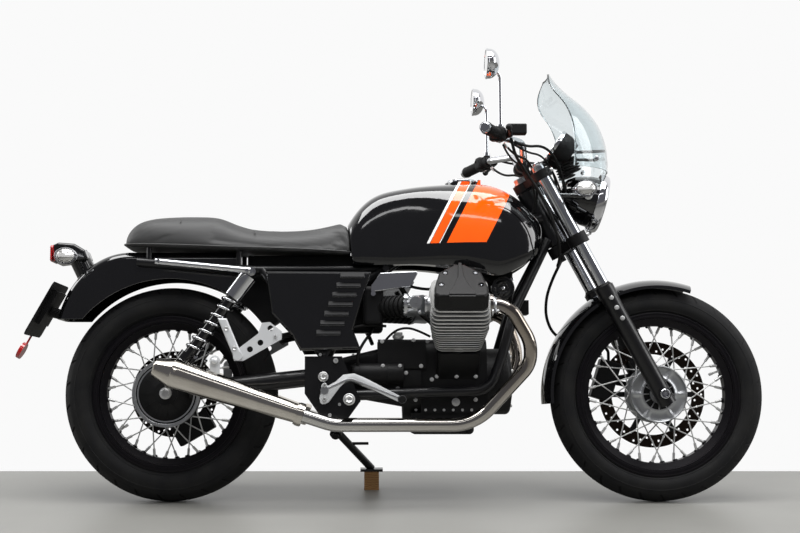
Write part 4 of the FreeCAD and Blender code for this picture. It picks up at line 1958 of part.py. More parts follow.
def frame_side(sign):
    """The tubes, plate and lugs of one side of the frame."""
    spine_point = vec(SPINE_MID_X, sign * SPINE_MID_HALF, SPINE_MID_Z)
    drop_point = vec(SPINE_DROP_X, sign * SPINE_DROP_HALF, SPINE_DROP_Z)
    rail = [(spine_point + drop_point) / 2, vec(RAIL_MID_X, sign * RAIL_HALF_WIDTH, RAIL_MID_Z),
            vec(RAIL_REAR_X, sign * RAIL_HALF_WIDTH, RAIL_REAR_Z)]
    shock_boss = rod(vec(SHOCK_TOP_X, sign * RAIL_HALF_WIDTH, SHOCK_TOP_Z),
                     vec(SHOCK_TOP_X, sign * (SHOCK_Y - SHOCK_EYE_WIDTH / 2 - RUNNING_FIT), SHOCK_TOP_Z),
                     SHOCK_EYE_DIAMETER - CASTING_ROUND / 2)
    pivot_bolt = rod(vec(PIVOT_X, sign * (ARM_Y + ARM_DIAMETER / 2 + RUNNING_FIT), PIVOT_Z),
                     vec(PIVOT_X, sign * (plate_outer() + PIVOT_PLATE_THICKNESS / 2),
                         PIVOT_Z), PIVOT_DIAMETER)
    parts = [frame_spine(sign, SPINE_TUBE_DIAMETER), frame_strut(sign, RAIL_TUBE_DIAMETER), pivot_plate(sign),
             bent_rod(rail, TUBE_BEND_RADIUS, RAIL_TUBE_DIAMETER), shock_boss, pivot_bolt]
    for x in (SEAT_REST_REAR_X, SEAT_REST_FRONT_X):
        parts.append(rod(vec(x, sign * RAIL_HALF_WIDTH, rail_height(x)),
                         vec(x, sign * RAIL_HALF_WIDTH, seat_base(x) - SOFT_CLEARANCE), SEAT_REST_DIAMETER))
    for x in (FENDER_TAB_REAR_X, FENDER_TAB_FRONT_X):
        parts.append(rod(vec(x, sign * RAIL_HALF_WIDTH, rail_height(x)),
                         vec(x, sign * (REAR_FENDER_HALF_WIDTH + RUNNING_FIT),
                             rail_height(x)), RAIL_TAB_DIAMETER))
    return parts


def across_bar(x, half, z, diameter):
    """A straight bar across the bike."""
    return rod(vec(x, -half, z), vec(x, half, z), diameter)


def engine_cradle():
    """The two bolt-on cradle tubes, from the head down the front of the engine and back below it."""
    made = []
    for name, sign in SIDES:
        top = stem_point(LOWER_YOKE_ALONG + LOWER_YOKE_THICKNESS)
        start = vec(top.x - HEAD_TUBE_DIAMETER / 3, sign * CRADLE_TOP_HALF, top.z)
        rear_x = PEG_X + CASTING_ROUND
        points = [start, vec(CRADLE_KNEE_X, sign * CRADLE_KNEE_HALF, CRADLE_KNEE_Z),
                  vec(CRADLE_SHIN_X, sign * (CRADLE_KNEE_HALF + CRADLE_HALF_WIDTH) / 2, CRADLE_SHIN_Z),
                  vec(CRADLE_FOOT_X, sign * CRADLE_HALF_WIDTH, CRADLE_FOOT_Z),
                  vec(rear_x, sign * CRADLE_HALF_WIDTH, CRADLE_REAR_Z)]
        mount_x = (SUMP_FRONT_X + SUMP_REAR_X) / 2
        mount_z = (CRADLE_FOOT_Z + CRADLE_REAR_Z) / 2
        mount = rod(vec(mount_x, sign * (CASE_HALF_WIDTH + RUNNING_FIT), mount_z),
                    vec(mount_x, sign * CRADLE_HALF_WIDTH, mount_z), CRADLE_MOUNT_DIAMETER)
        tube_side = fused([bent_rod(points, TUBE_BEND_RADIUS, CRADLE_TUBE_DIAMETER), mount])
        head = rod(stem_point(head_low()), stem_point(head_high()), HEAD_TUBE_DIAMETER + RUNNING_FIT * 2)
        made.append(tube_side.cut([head, pivot_plate(sign, RUNNING_FIT)]))
    return apart([max(shape.Solids, key=lambda solid: solid.Volume) for shape in made])


# Swingarm, final drive and shocks

def swingarm():
    """Two arms from the pivot to the rear axle; the right one houses the drive shaft."""
    parts = []
    for sign in (-1, 1):
        tip_x = DRIVE_NOSE_X if sign < 0 else AXLE_NUT_DIAMETER / 2 + AXLE_NUT_LENGTH / 3
        start = vec(PIVOT_X, sign * ARM_Y, PIVOT_Z)
        end = vec(tip_x, sign * ARM_Y, arm_height(tip_x))
        parts.append(rod(start, end, ARM_REAR_DIAMETER, ARM_DIAMETER if sign < 0 else ARM_REAR_DIAMETER))
        parts.append(rod(vec(PIVOT_X, sign * (GEARBOX_REAR_HALF_WIDTH + RUNNING_FIT), PIVOT_Z),
                         vec(PIVOT_X, sign * (ARM_Y + ARM_DIAMETER / 2), PIVOT_Z), ARM_DIAMETER))
    cross = vec(ARM_CROSS_X, 0, arm_height(ARM_CROSS_X))
    parts.append(rod(cross - Y_AXIS * ARM_Y, cross + Y_AXIS * ARM_Y, ARM_REAR_DIAMETER * 3 / 4))
    parts.append(rod(vec(0, ARM_Y - LUG_HALF_WIDTH, REAR_TYRE_RADIUS),
                     vec(0, ARM_Y + LUG_HALF_WIDTH, REAR_TYRE_RADIUS),
                     ARM_DIAMETER + CASTING_ROUND))
    parts += shock_lug(1)
    bore = rod(vec(0, DISC_OFFSET, REAR_TYRE_RADIUS), vec(0, ARM_Y * 2, REAR_TYRE_RADIUS),
               AXLE_DIAMETER + RUNNING_FIT * 2)
    return fused(parts).cut(bore)


def shock_lug(sign):
    """The lug and its web that carry a shock's lower eye."""
    base = vec(SHOCK_LOW_X, sign * ARM_Y, SHOCK_LOW_Z)
    face = vec(SHOCK_LOW_X, sign * (SHOCK_Y - SHOCK_EYE_WIDTH / 2 - RUNNING_FIT), SHOCK_LOW_Z)
    lug_diameter = SHOCK_EYE_DIAMETER - CASTING_ROUND / 2
    return [rod(base - Y_AXIS * sign * lug_diameter / 2, face, lug_diameter),
            rod(base, vec(SHOCK_LOW_X, sign * ARM_Y, REAR_TYRE_RADIUS), lug_diameter)]


def arm_height(x):
    """The height of the arms' centre line."""
    return REAR_TYRE_RADIUS + (PIVOT_Z - REAR_TYRE_RADIUS) * x / PIVOT_X


def final_drive():
    """The bevel box on the right: a round ribbed cover in a bright ring, and the shaft's nose."""
    inner = DRIVE_INNER_Y
    outer = DRIVE_INNER_Y + DRIVE_DEPTH
    face = inner + CASTING_ROUND + DRIVE_RING_DEPTH
    boss = AXLE_NUT_DIAMETER
    bore = AXLE_DIAMETER / 2 + RUNNING_FIT
    profile = [(bore, inner), (DRIVE_RADIUS - CASTING_ROUND, inner), (DRIVE_RADIUS, inner + CASTING_ROUND),
               (DRIVE_RADIUS, face), (DRIVE_RADIUS - CASTING_ROUND, face),
               (boss, outer - CASTING_ROUND / 2), (boss, outer), (bore, outer)]
    body = turned(profile, rear_axle(), -Y_AXIS)
    foot = DRIVE_RADIUS - CASTING_ROUND * 3 / 2
    outline = [(boss - DRIVE_RIB_RISE, inner), (foot, inner), (foot, face + DRIVE_RIB_RISE),
               (boss - DRIVE_RIB_RISE, outer - CASTING_ROUND / 2 + DRIVE_RIB_RISE)]
    rib = placed(plate(outline, -DRIVE_RIB_WIDTH / 2, DRIVE_RIB_WIDTH / 2), rear_axle(), -Y_AXIS)
    ribs = around(rib, DRIVE_RIB_COUNT, rear_axle(), Y_AXIS)
    nose_x = DRIVE_RADIUS * 2 / 3
    nose = rod(vec(nose_x, -ARM_Y, arm_height(nose_x)),
               vec(DRIVE_NOSE_X - RUNNING_FIT, -ARM_Y, arm_height(DRIVE_NOSE_X)),
               ARM_DIAMETER + CASTING_ROUND / 2, ARM_DIAMETER)
    return fused([body, nose] + ribs + shock_lug(-1))


def rear_caliper():
    """The rear caliper with its bracket to the left arm."""
    radius = REAR_DISC_RADIUS
    body = caliper(rear_axle(), radius, REAR_CALIPER_ANGLE_DEG)
    middle = caliper_middle(rear_axle(), radius, REAR_CALIPER_ANGLE_DEG)
    tip_x = middle.x + CALIPER_LENGTH / 2
    arm = rod(vec(PIVOT_X, ARM_Y, PIVOT_Z), vec(0, ARM_Y, arm_height(0)), ARM_REAR_DIAMETER + RUNNING_FIT * 2)
    arms = [rod(middle, vec(x, ARM_Y, arm_height(x)), CALIPER_ARM_DIAMETER) for x in (middle.x, tip_x)]
    lug = rod(vec(0, DISC_OFFSET, REAR_TYRE_RADIUS), vec(0, ARM_Y * 2, REAR_TYRE_RADIUS),
              ARM_DIAMETER + CASTING_ROUND + RUNNING_FIT * 2)
    bracket = fused([body] + arms).cut([arm, lug])
    return max(bracket.Solids, key=lambda solid: solid.Volume)


def rear_axle_pin():
    """The rear axle with its spacers and nuts."""
    left = ARM_Y + LUG_HALF_WIDTH
    right = DRIVE_INNER_Y + DRIVE_DEPTH
    centre = rear_axle()
    spans = ((-right - AXLE_NUT_LENGTH, left + AXLE_NUT_LENGTH, AXLE_DIAMETER),
             (-right - AXLE_NUT_LENGTH, -right - RUNNING_FIT, AXLE_NUT_DIAMETER),
             (left + RUNNING_FIT, left + AXLE_NUT_LENGTH, AXLE_NUT_DIAMETER),
             (-DRIVE_INNER_Y + RUNNING_FIT, -HUB_END_SPREAD - FACE_FIT, HUB_BOSS_RADIUS * 2),
             (DISC_OFFSET + FACE_FIT, ARM_Y - LUG_HALF_WIDTH - RUNNING_FIT, AXLE_NUT_DIAMETER))
    return fused([rod(centre + Y_AXIS * start, centre + Y_AXIS * end, diameter)
                  for start, end, diameter in spans])


def shock_frame(sign):
    """The two eyes of a shock and the direction from the lower to the upper."""
    low = vec(SHOCK_LOW_X, sign * SHOCK_Y, SHOCK_LOW_Z)
    top = vec(SHOCK_TOP_X, sign * SHOCK_Y, SHOCK_TOP_Z)
    return low, top, (top - low).normalize()


def shock_absorbers():
    """The two damper bodies with their eyes, collars and top cans."""
    low, top, up = shock_frame(-1)
    half_eye = Y_AXIS * SHOCK_EYE_WIDTH / 2
    eye = SHOCK_EYE_DIAMETER / 2
    parts = [rod(at - half_eye, at + half_eye, SHOCK_EYE_DIAMETER) for at in (low, top)]
    parts.append(rod(low, top, SHOCK_EYE_WIDTH - FACE_FIT))
    parts.append(rod(low + up * eye, top - up * eye, SHOCK_BODY_DIAMETER))
    parts.append(rod(top - up * (eye + SHOCK_CAN_LENGTH), top - up * eye, SHOCK_CAN_DIAMETER))
    parts.append(rod(low + up * eye, low + up * (eye + SHOCK_COLLAR_LENGTH), SHOCK_COLLAR_DIAMETER))
    right = fused(parts)
    return apart([right, mirrored(right)])


def shock_springs():
    """The coil springs between the collars and the cans."""
    made = []
    for name, sign in SIDES:
        low, top, up = shock_frame(sign)
        rise = SHOCK_EYE_DIAMETER / 2 + SHOCK_COLLAR_LENGTH + RUNNING_FIT + SHOCK_WIRE_DIAMETER / 2
        start = low + up * rise
        length = (top - low).Length - SHOCK_EYE_DIAMETER - SHOCK_COLLAR_LENGTH - SHOCK_CAN_LENGTH
        length = length - SHOCK_WIRE_DIAMETER - RUNNING_FIT * 2
        radius = (SHOCK_SPRING_DIAMETER - SHOCK_WIRE_DIAMETER) / 2 + RUNNING_FIT
        helix = Part.makeHelix(length / SHOCK_SPRING_TURNS, length, radius)
        profile = Part.Wire(Part.makeCircle(SHOCK_WIRE_DIAMETER / 2, vec(radius, 0, 0), Y_AXIS))
        coil = Part.Wire(helix).makePipeShell([profile], True, True)
        made.append(placed(coil, start, up))
    return apart(made)


def seat_rails():
    """The two bright rails below the seat, each on two lugs from the seat loop."""
    made = []
    for name, sign in SIDES:
        front = vec(SHOCK_TOP_X, sign * RAIL_CHROME_Y, SHOCK_TOP_Z)
        rear = vec(RAIL_CHROME_REAR_X, sign * RAIL_CHROME_Y, RAIL_CHROME_REAR_Z)
        lug_x = RAIL_CHROME_REAR_X + RAIL_CHROME_Y / 4
        share = (lug_x - rear.x) / (front.x - rear.x)
        lug_end = rear + (front - rear) * share
        lug_start = vec(lug_x, sign * (RAIL_HALF_WIDTH + RAIL_TUBE_DIAMETER / 4), rail_height(lug_x))
        room = rod(vec(RAIL_MID_X, sign * RAIL_HALF_WIDTH, RAIL_MID_Z),
                   vec(RAIL_REAR_X, sign * RAIL_HALF_WIDTH, RAIL_REAR_Z),
                   RAIL_TUBE_DIAMETER + RUNNING_FIT * 2)
        lug = rod(lug_start, lug_end, RAIL_CHROME_DIAMETER * 2 / 3).cut(room)
        bolt = rod(vec(front.x, sign * (SHOCK_Y + SHOCK_EYE_WIDTH / 2 + RUNNING_FIT), front.z), front,
                   RAIL_CHROME_DIAMETER)
        made.append(fused([rod(rear, front, RAIL_CHROME_DIAMETER), bolt, lug]))
    return apart(made)


# Tail

def tail_lamp():
    """The lamp housing, its back upright and its top sloping down forward, on a neck above the fender."""
    points = share_points(TAIL_LAMP_SHARES, TAIL_LAMP_X - TAIL_LAMP_LENGTH, TAIL_LAMP_LENGTH,
                          TAIL_LAMP_Z - TAIL_LAMP_HEIGHT / 2, TAIL_LAMP_HEIGHT)
    body = plate(points, -TAIL_LAMP_WIDTH / 2, TAIL_LAMP_WIDTH / 2)
    body = rounded(body, TAIL_LAMP_ROUND)
    neck = rod(vec(TAIL_NECK_X - TAIL_NECK_LENGTH / 2, 0, TAIL_LAMP_Z), tail_foot(), TAIL_NECK_WIDTH)
    return fused([body, neck]).cut(fender_solid())


def tail_foot():
    """The middle of the neck's foot, inside the fender."""
    return vec(TAIL_NECK_X, 0, TAIL_LAMP_Z - TAIL_NECK_LENGTH)


def fender_solid():
    """The rear fender filled in, to trim what stands on it."""
    return fender_block(REAR_FENDER_FRONT_X - REAR_FENDER_TAIL_X, REAR_FENDER_TOP_Z - REAR_FENDER_TAIL_Z, 0,
                        REAR_FENDER_HALF_WIDTH)


def rear_indicators():
    """Two indicators on stalks from the tail lamp."""
    at = vec(REAR_INDICATOR_X, REAR_INDICATOR_Y, REAR_INDICATOR_Z)
    lamp = tail_lamp()
    return apart([outermost(indicator(at, sign, TAIL_LAMP_WIDTH / 3).cut(lamp), sign) for sign in (-1, 1)])


def plate_holder():
    """The number plate on its bracket behind the fender, with the round reflector below it."""
    sheet = rounded(box(0, PLATE_THICKNESS, -PLATE_WIDTH / 2, PLATE_WIDTH / 2, -PLATE_HEIGHT, 0),
                    CASTING_ROUND, lambda edge: along(edge, X_AXIS))
    holes = [rod(vec(-CUT_OVERRUN, sign * PLATE_HOLE_SPREAD, -PLATE_HEIGHT / 6),
                 vec(CUT_OVERRUN, sign * PLATE_HOLE_SPREAD, -PLATE_HEIGHT / 6), PLATE_HOLE_DIAMETER)
             for sign in (-1, 1)]
    back = box(PLATE_THICKNESS, PLATE_THICKNESS + CASTING_ROUND, -PLATE_BRACKET_WIDTH / 2,
               PLATE_BRACKET_WIDTH / 2,
               -PLATE_HEIGHT * 3 / 4, -PLATE_HEIGHT / 8)
    stem = rod(vec(0, 0, -PLATE_HEIGHT + PLATE_HOLE_DIAMETER), vec(0, 0, -PLATE_HEIGHT - REFLECTOR_DIAMETER),
               PLATE_HOLE_DIAMETER)
    reflector = rod(vec(-REFLECTOR_THICKNESS, 0, -PLATE_HEIGHT - REFLECTOR_DIAMETER),
                    vec(PLATE_HOLE_DIAMETER / 2, 0, -PLATE_HEIGHT - REFLECTOR_DIAMETER), REFLECTOR_DIAMETER)
    arm = rod(vec(PLATE_THICKNESS + CASTING_ROUND / 2, 0, -PLATE_HEIGHT / 2),
              vec(PLATE_HEIGHT, 0, -PLATE_HEIGHT / 4), TAIL_NECK_WIDTH / 2)
    body = fused([sheet.cut(holes), back, stem, reflector, arm])
    body.rotate(ORIGIN, Y_AXIS, PLATE_TILT_DEG)
    body.translate(vec(PLATE_TOP_X, 0, PLATE_TOP_Z))
    trimmed = body.cut(fender_solid())
    return max(trimmed.Solids, key=lambda solid: solid.BoundBox.YLength)


# Foot controls

def footpegs():
    """The rider's two pegs, and the passenger's two folded ones on their drilled hangers."""
    made = []
    for sign in (-1, 1):
        start = vec(PEG_X, sign * (plate_outer() + RUNNING_FIT), PEG_Z)
        middle = vec(PEG_X, sign * PEG_INNER_Y, PEG_Z)
        end = vec(PEG_X, sign * (PEG_INNER_Y + PEG_LENGTH), PEG_Z)
        made.append(fused([rod(start, middle, PEG_CORE_DIAMETER), rod(middle, end, PEG_DIAMETER)]))
        made.append(passenger_hanger(sign))
    return apart(made)


def passenger_hanger(sign):
    """The drilled plate behind a side cover, its arm from the frame strut and the folded peg on it."""
    outer = PASSENGER_Y
    inner = PASSENGER_Y - HANGER_THICKNESS
    points = share_points(HANGER_SHARES, HANGER_REAR_X, HANGER_LENGTH, HANGER_BOTTOM_Z, HANGER_HEIGHT)
    holes = []
    for x_share, z_share in HANGER_HOLE_SHARES:
        x = HANGER_REAR_X + HANGER_LENGTH * x_share
        z = HANGER_BOTTOM_Z + HANGER_HEIGHT * z_share
        holes.append(rod(vec(x, inner, z), vec(x, outer, z), HANGER_HOLE_DIAMETER))
    sheet = plate(points, inner, outer).cut(holes)
    foot = vec(PASSENGER_PEG_X, outer, PASSENGER_PEG_Z)
    head = foot + vec(PASSENGER_LEAN_X, 0, PASSENGER_PEG_LENGTH)
    half = PASSENGER_PEG_WIDTH / 2
    outline = [(foot.x - half, foot.z), (foot.x + half, foot.z), (head.x + half, head.z),
               (head.x - half, head.z)]
    peg = plate(outline, outer, outer + PASSENGER_PEG_THICKNESS)
    peg = rounded(peg, PASSENGER_PEG_THICKNESS / 3, lambda edge: edge.BoundBox.YMin > outer + RUNNING_FIT)
    boss = rod(foot - Y_AXIS * HANGER_THICKNESS, foot + Y_AXIS * PASSENGER_PEG_THICKNESS, PASSENGER_PEG_WIDTH)
    strut_share = (PASSENGER_BRACKET_Z - PIVOT_Z - ARM_DIAMETER) / (RAIL_MID_Z - PIVOT_Z - ARM_DIAMETER)
    strut = vec(PIVOT_X + (RAIL_MID_X + RAIL_TUBE_DIAMETER - PIVOT_X) * strut_share,
                FRAME_FOOT_HALF + (RAIL_HALF_WIDTH - FRAME_FOOT_HALF) * strut_share, PASSENGER_BRACKET_Z)
    root = vec(HANGER_REAR_X + HANGER_LENGTH * HANGER_ARM_X_SHARE, outer,
               HANGER_BOTTOM_Z + HANGER_HEIGHT * HANGER_ARM_Z_SHARE)
    elbow = vec(root.x, strut.y, root.z)
    arm = bent_rod([root, elbow, strut], PEG_CORE_DIAMETER, PEG_CORE_DIAMETER)
    arm = outermost(arm.cut(frame_strut(1, RAIL_TUBE_DIAMETER + RUNNING_FIT * 2)), 1)
    return on_side(fused([sheet, peg, boss, arm]), sign)


def foot_controls():
    """The brake pedal on the right and the gear lever on the left, each pivoted on its plate."""
    made = []
    for name, sign in SIDES:
        pivot = vec(PEDAL_REAR_X, sign * PEDAL_Y, PEDAL_REAR_Z)
        tip = vec(PEDAL_TIP_X, sign * PEDAL_Y, PEDAL_TIP_Z)
        lever = bent_rod([pivot, vec(PEDAL_HUMP_X, sign * PEDAL_Y, PEDAL_HUMP_Z), tip], TUBE_BEND_RADIUS / 2,
                         PEDAL_THICKNESS * 3 / 2)
        hub = rod(vec(pivot.x, sign * (plate_outer() + RUNNING_FIT), pivot.z),
                  pivot + Y_AXIS * sign * PEDAL_THICKNESS, PEDAL_WIDTH)
        pad = rod(tip - Y_AXIS * sign * PEDAL_WIDTH / 2, tip + Y_AXIS * sign * PEDAL_WIDTH, PEDAL_WIDTH)
        made.append(fused([lever, hub, pad]))
    return apart(made)


# Side stand

def stand_pivot():
    return vec(STAND_PIVOT_X, STAND_PIVOT_Y, STAND_PIVOT_Z)


def stand_foot():
    return vec(STAND_FOOT_X, STAND_FOOT_Y, STAND_FOOT_Z)


def stand_axis():
    """The stand's pivot axis: square to the leg as it stands and as it lies folded."""
    down = (stand_foot() - stand_pivot()).normalize()
    folded = vec(-1, STAND_FOLDED_OUT_SHARE, STAND_FOLDED_UP_SHARE).normalize()
    return down.cross(folded).normalize()


def side_stand():
    """The leg with its barrel round the pivot, its foot and its kick tang."""
    down = (stand_foot() - stand_pivot()).normalize()
    axis = stand_axis()
    barrel = rod(stand_pivot() - axis * STAND_FORK_WIDTH / 2, stand_pivot() + axis * STAND_FORK_WIDTH / 2,
                 STAND_LEG_DIAMETER * 3 / 2)
    leg = rod(stand_pivot(), stand_foot(), STAND_LEG_DIAMETER)
    tang_start = stand_pivot() + down * STAND_TANG_LENGTH
    tang = rod(tang_start, tang_start + vec(STAND_TANG_LENGTH, STAND_TANG_LENGTH / 4, 0), STAND_TANG_DIAMETER)
    foot = foot_block(0, STAND_FOOT_THICKNESS, STAND_FOOT_LENGTH, STAND_FOOT_WIDTH)
    bore = rod(stand_pivot() - axis * STAND_FORK_WIDTH, stand_pivot() + axis * STAND_FORK_WIDTH,
               SHOCK_BOLT_DIAMETER + RUNNING_FIT * 2)
    below = foot_block(-CUT_OVERRUN, 0, STAND_FOOT_LENGTH * 2, STAND_FOOT_WIDTH * 2)
    return fused([barrel, leg, tang, foot]).cut([bore, below])


def foot_block(low, high, length, width):
    """A block square to the floor that the leaning bike stands on, measured from under the foot."""
    block = box(-length / 2, length / 2, -width / 2, width / 2, low, high)
    block.rotate(ORIGIN, X_AXIS, LEAN_DEG)
    block.translate(stand_foot() - Z_AXIS * STAND_FOOT_THICKNESS)
    return block


def floor_drop():
    """How far the underside of the stand's foot lies above the floor, square to it."""
    lean = math.radians(LEAN_DEG)
    under = stand_foot() - Z_AXIS * STAND_FOOT_THICKNESS
    return under.z * math.cos(lean) - under.y * math.sin(lean) + tyre_lift()


def tyre_lift():
    """How much the bike rises as it leans from the tyres' middle onto their rounded crowns."""
    half = REAR_TYRE_WIDTH / 2 * TYRE_SHOULDER_WIDTH_SHARE
    drop = REAR_TYRE_RADIUS * TYRE_SHOULDER_DROP_SHARE
    crown = (half * half + drop * drop) / (2 * drop)
    return crown - crown * math.cos(math.radians(LEAN_DEG))


def stand_block():
    """The wooden block under the stand's foot."""
    return foot_block(-floor_drop(), 0, BLOCK_LENGTH, BLOCK_WIDTH)


def horn():
    """The horn on the side of the coil box that hangs between the spine tubes, with the regulator ahead."""
    coils = rounded_box(COIL_REAR_X, COIL_FRONT_X, -COIL_HALF_WIDTH, COIL_HALF_WIDTH, COIL_BOTTOM_Z,
                        COIL_TOP_Z,
                        CASTING_ROUND / 2)
    middle = (COIL_REAR_X + COIL_FRONT_X) / 2
    hanger = box(middle - COIL_HANGER_LENGTH / 2, middle + COIL_HANGER_LENGTH / 2, -COIL_HANGER_HALF,
                 COIL_HANGER_HALF, COIL_TOP_Z - CASTING_ROUND, COIL_HANGER_Z)
    spines = [frame_spine(sign, SPINE_TUBE_DIAMETER + RUNNING_FIT * 2) for sign in (-1, 1)]
    hanger = min(hanger.cut(spines).Solids, key=lambda solid: solid.BoundBox.ZMin)
    regulator = box(REGULATOR_REAR_X, REGULATOR_REAR_X + REGULATOR_LENGTH, -REGULATOR_HALF_WIDTH,
                    REGULATOR_HALF_WIDTH, REGULATOR_TOP_Z - REGULATOR_HEIGHT, REGULATOR_TOP_Z)
    strap = box(middle, REGULATOR_REAR_X + CASTING_ROUND, -COIL_HANGER_HALF / 2, COIL_HANGER_HALF / 2,
                COIL_BOTTOM_Z, REGULATOR_TOP_Z)
    centre = vec(HORN_X, -HORN_Y, HORN_Z)
    body = turned([(0, 0), (HORN_DIAMETER / 2, 0), (HORN_DIAMETER / 2, HORN_DEPTH / 3),
                   (HORN_DIAMETER / 4, HORN_DEPTH), (0, HORN_DEPTH)], centre, Y_AXIS)
    back = centre + Y_AXIS * HORN_DEPTH * 3 / 4
    bracket = rod(back, vec(HORN_X, -COIL_HALF_WIDTH / 2, HORN_Z), STAND_TANG_DIAMETER * 3 / 2)
    return fused([coils, hanger, regulator, strap, body, bracket])


def nodes():
    """Every piece by its node's name, in the upright frame."""
    made = {
        "main_frame": main_frame(),
        "engine_cradle": engine_cradle(),
        "crankcase": crankcase(),
        "gearbox": gearbox(),
        "rocker_covers": rocker_covers(),
        "intakes": intakes(),
        "airbox": airbox(),
        "fuel_tank": fuel_tank(),
        "filler_cap": filler_cap(),
        "seat": seat(),
        "chrome_covers": chrome_covers(),
        "rear_fender": rear_fender(),
        "tail_lamp": tail_lamp(),
        "rear_indicators": rear_indicators(),
        "plate_holder": plate_holder(),
        "seat_rails": seat_rails(),
        "shock_absorbers": shock_absorbers(),
        "shock_springs": shock_springs(),
        "swingarm": swingarm(),
        "final_drive": final_drive(),
        "rear_caliper": rear_caliper(),
        "rear_axle": rear_axle_pin(),
        "footpegs": footpegs(),
        "foot_controls": foot_controls(),
        "horn": horn(),
        "yokes": yokes(),
        "fork_tubes": fork_tubes(),
        "fork_sliders": fork_sliders(),
        "headlamp_shell": headlamp_shell(),
        "headlamp_glass": headlamp_glass(),
        "instruments": instruments(),
        "windscreen": windscreen(),
        "handlebar": handlebar(),
        "grips": grips(),
        "hand_controls": hand_controls(),
        "mirrors": mirrors(),
        "front_fender": front_fender(),
        "front_indicators": front_indicators(),
        "front_caliper": front_caliper(),
        "brake_hose": brake_hose(),
        "side_stand": side_stand(),
        "stand_block": stand_block(),
    }
    for name, sign in SIDES:
        made["cylinder_" + name] = cylinder(sign)
        made["header_" + name] = header(sign)
        made["silencer_" + name] = silencer(sign)
        made["side_cover_" + name] = side_cover(sign)
    wheels = (("front", front_axle(), FRONT_TYRE_RADIUS, FRONT_TYRE_WIDTH, FRONT_BEAD_RADIUS, FRONT_RIM_WIDTH,
               FRONT_FLANGE_RADIUS, FRONT_DISC_RADIUS, FRONT_DISC_TRACK),
              ("rear", rear_axle(), REAR_TYRE_RADIUS, REAR_TYRE_WIDTH, REAR_BEAD_RADIUS, REAR_RIM_WIDTH,
               REAR_FLANGE_RADIUS, REAR_DISC_RADIUS, REAR_DISC_TRACK))
    for name, centre, radius, width, bead, rim_width, flange, disc_radius, track in wheels:
        made[name + "_tyre"] = tyre(centre, radius, width, bead, rim_width)
        made[name + "_rim"] = rim(centre, bead, rim_width)
        made[name + "_spokes"] = spokes(centre, flange, bead)
        made[name + "_hub"] = laced_hub(centre, flange)
        made[name + "_disc"] = disc(centre, disc_radius, track)
    return made


def parked(shapes):
    """The placement that leans the bike onto its stand, over the origin on the floor."""
    lean = FreeCAD.Placement(vec(0, 0, tyre_lift()), FreeCAD.Rotation(X_AXIS, -LEAN_DEG))
    bounds = FreeCAD.BoundBox()
    for shape in shapes:
        moved = shape.copy()
        moved.Placement = lean * moved.Placement
        bounds.add(moved.optimalBoundingBox(False, False))
    shift = vec(-bounds.Center.x, -bounds.Center.y, -bounds.ZMin)
    return FreeCAD.Placement(shift, FreeCAD.Rotation()) * lean


def main():
    os.makedirs("parts", exist_ok=True)
    made = nodes()
    place = parked(list(made.values()))
    for name, shape in made.items():
        moved = shape.copy()
        moved.Placement = place * moved.Placement
        moved.exportStep("parts/" + name + ".step")
    return made, place


if __name__ == "__main__":
    main()
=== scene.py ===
"""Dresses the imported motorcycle: finishes for every node, the fine pieces, the studio and the camera."""

import json
import logging
import math
from dataclasses import dataclass, field, replace
from enum import Enum
from typing import Callable, Iterable, Sequence

import bpy
from mathutils import Matrix, Vector


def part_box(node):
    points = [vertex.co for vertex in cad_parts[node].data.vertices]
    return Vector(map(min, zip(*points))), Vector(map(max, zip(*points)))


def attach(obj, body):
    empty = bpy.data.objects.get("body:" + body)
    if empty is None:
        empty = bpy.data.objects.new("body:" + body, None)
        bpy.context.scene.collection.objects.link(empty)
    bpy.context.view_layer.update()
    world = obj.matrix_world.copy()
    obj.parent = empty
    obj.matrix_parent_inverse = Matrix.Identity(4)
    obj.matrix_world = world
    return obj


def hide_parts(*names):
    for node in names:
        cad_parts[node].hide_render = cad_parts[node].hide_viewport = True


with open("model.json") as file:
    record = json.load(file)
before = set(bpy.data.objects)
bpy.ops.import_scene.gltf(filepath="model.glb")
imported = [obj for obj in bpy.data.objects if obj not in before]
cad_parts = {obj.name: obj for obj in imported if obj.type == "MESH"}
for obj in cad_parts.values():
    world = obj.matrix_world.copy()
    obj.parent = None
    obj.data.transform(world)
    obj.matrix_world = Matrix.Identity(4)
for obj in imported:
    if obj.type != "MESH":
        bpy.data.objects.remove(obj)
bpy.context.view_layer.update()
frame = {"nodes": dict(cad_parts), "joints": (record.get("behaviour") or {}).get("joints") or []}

log = logging.getLogger("motorcycle")

MM = 0.001

Point = tuple[float, float, float]
Socket = bpy.types.NodeSocket
Tree = bpy.types.NodeTree
Piece = bpy.types.Object


class Side(Enum):
    """Which side of the motorcycle a piece is on, as the sign of its y."""

    RIGHT = -1
    LEFT = 1

    @property
    def word(self) -> str:
        """The side's name in a piece's name."""
        return self.name.lower()

    @property
    def out(self) -> Vector:
        """The way outwards on this side."""
        return Vector((0, self.value, 0))

    def at(self, x: float, y: float, z: float) -> Vector:
        """A point on this side, y millimetres from the mid plane."""
        return Vector((x, self.value * y, z))


class Body(Enum):
    """The moving bodies that pieces ride on."""

    CHASSIS = "chassis"
    STEERING = "steering"
    FRONT_WHEEL = "front_wheel"
    REAR_WHEEL = "rear_wheel"
    SIDE_STAND = "side_stand"
    FILLER_CAP = "filler_cap"


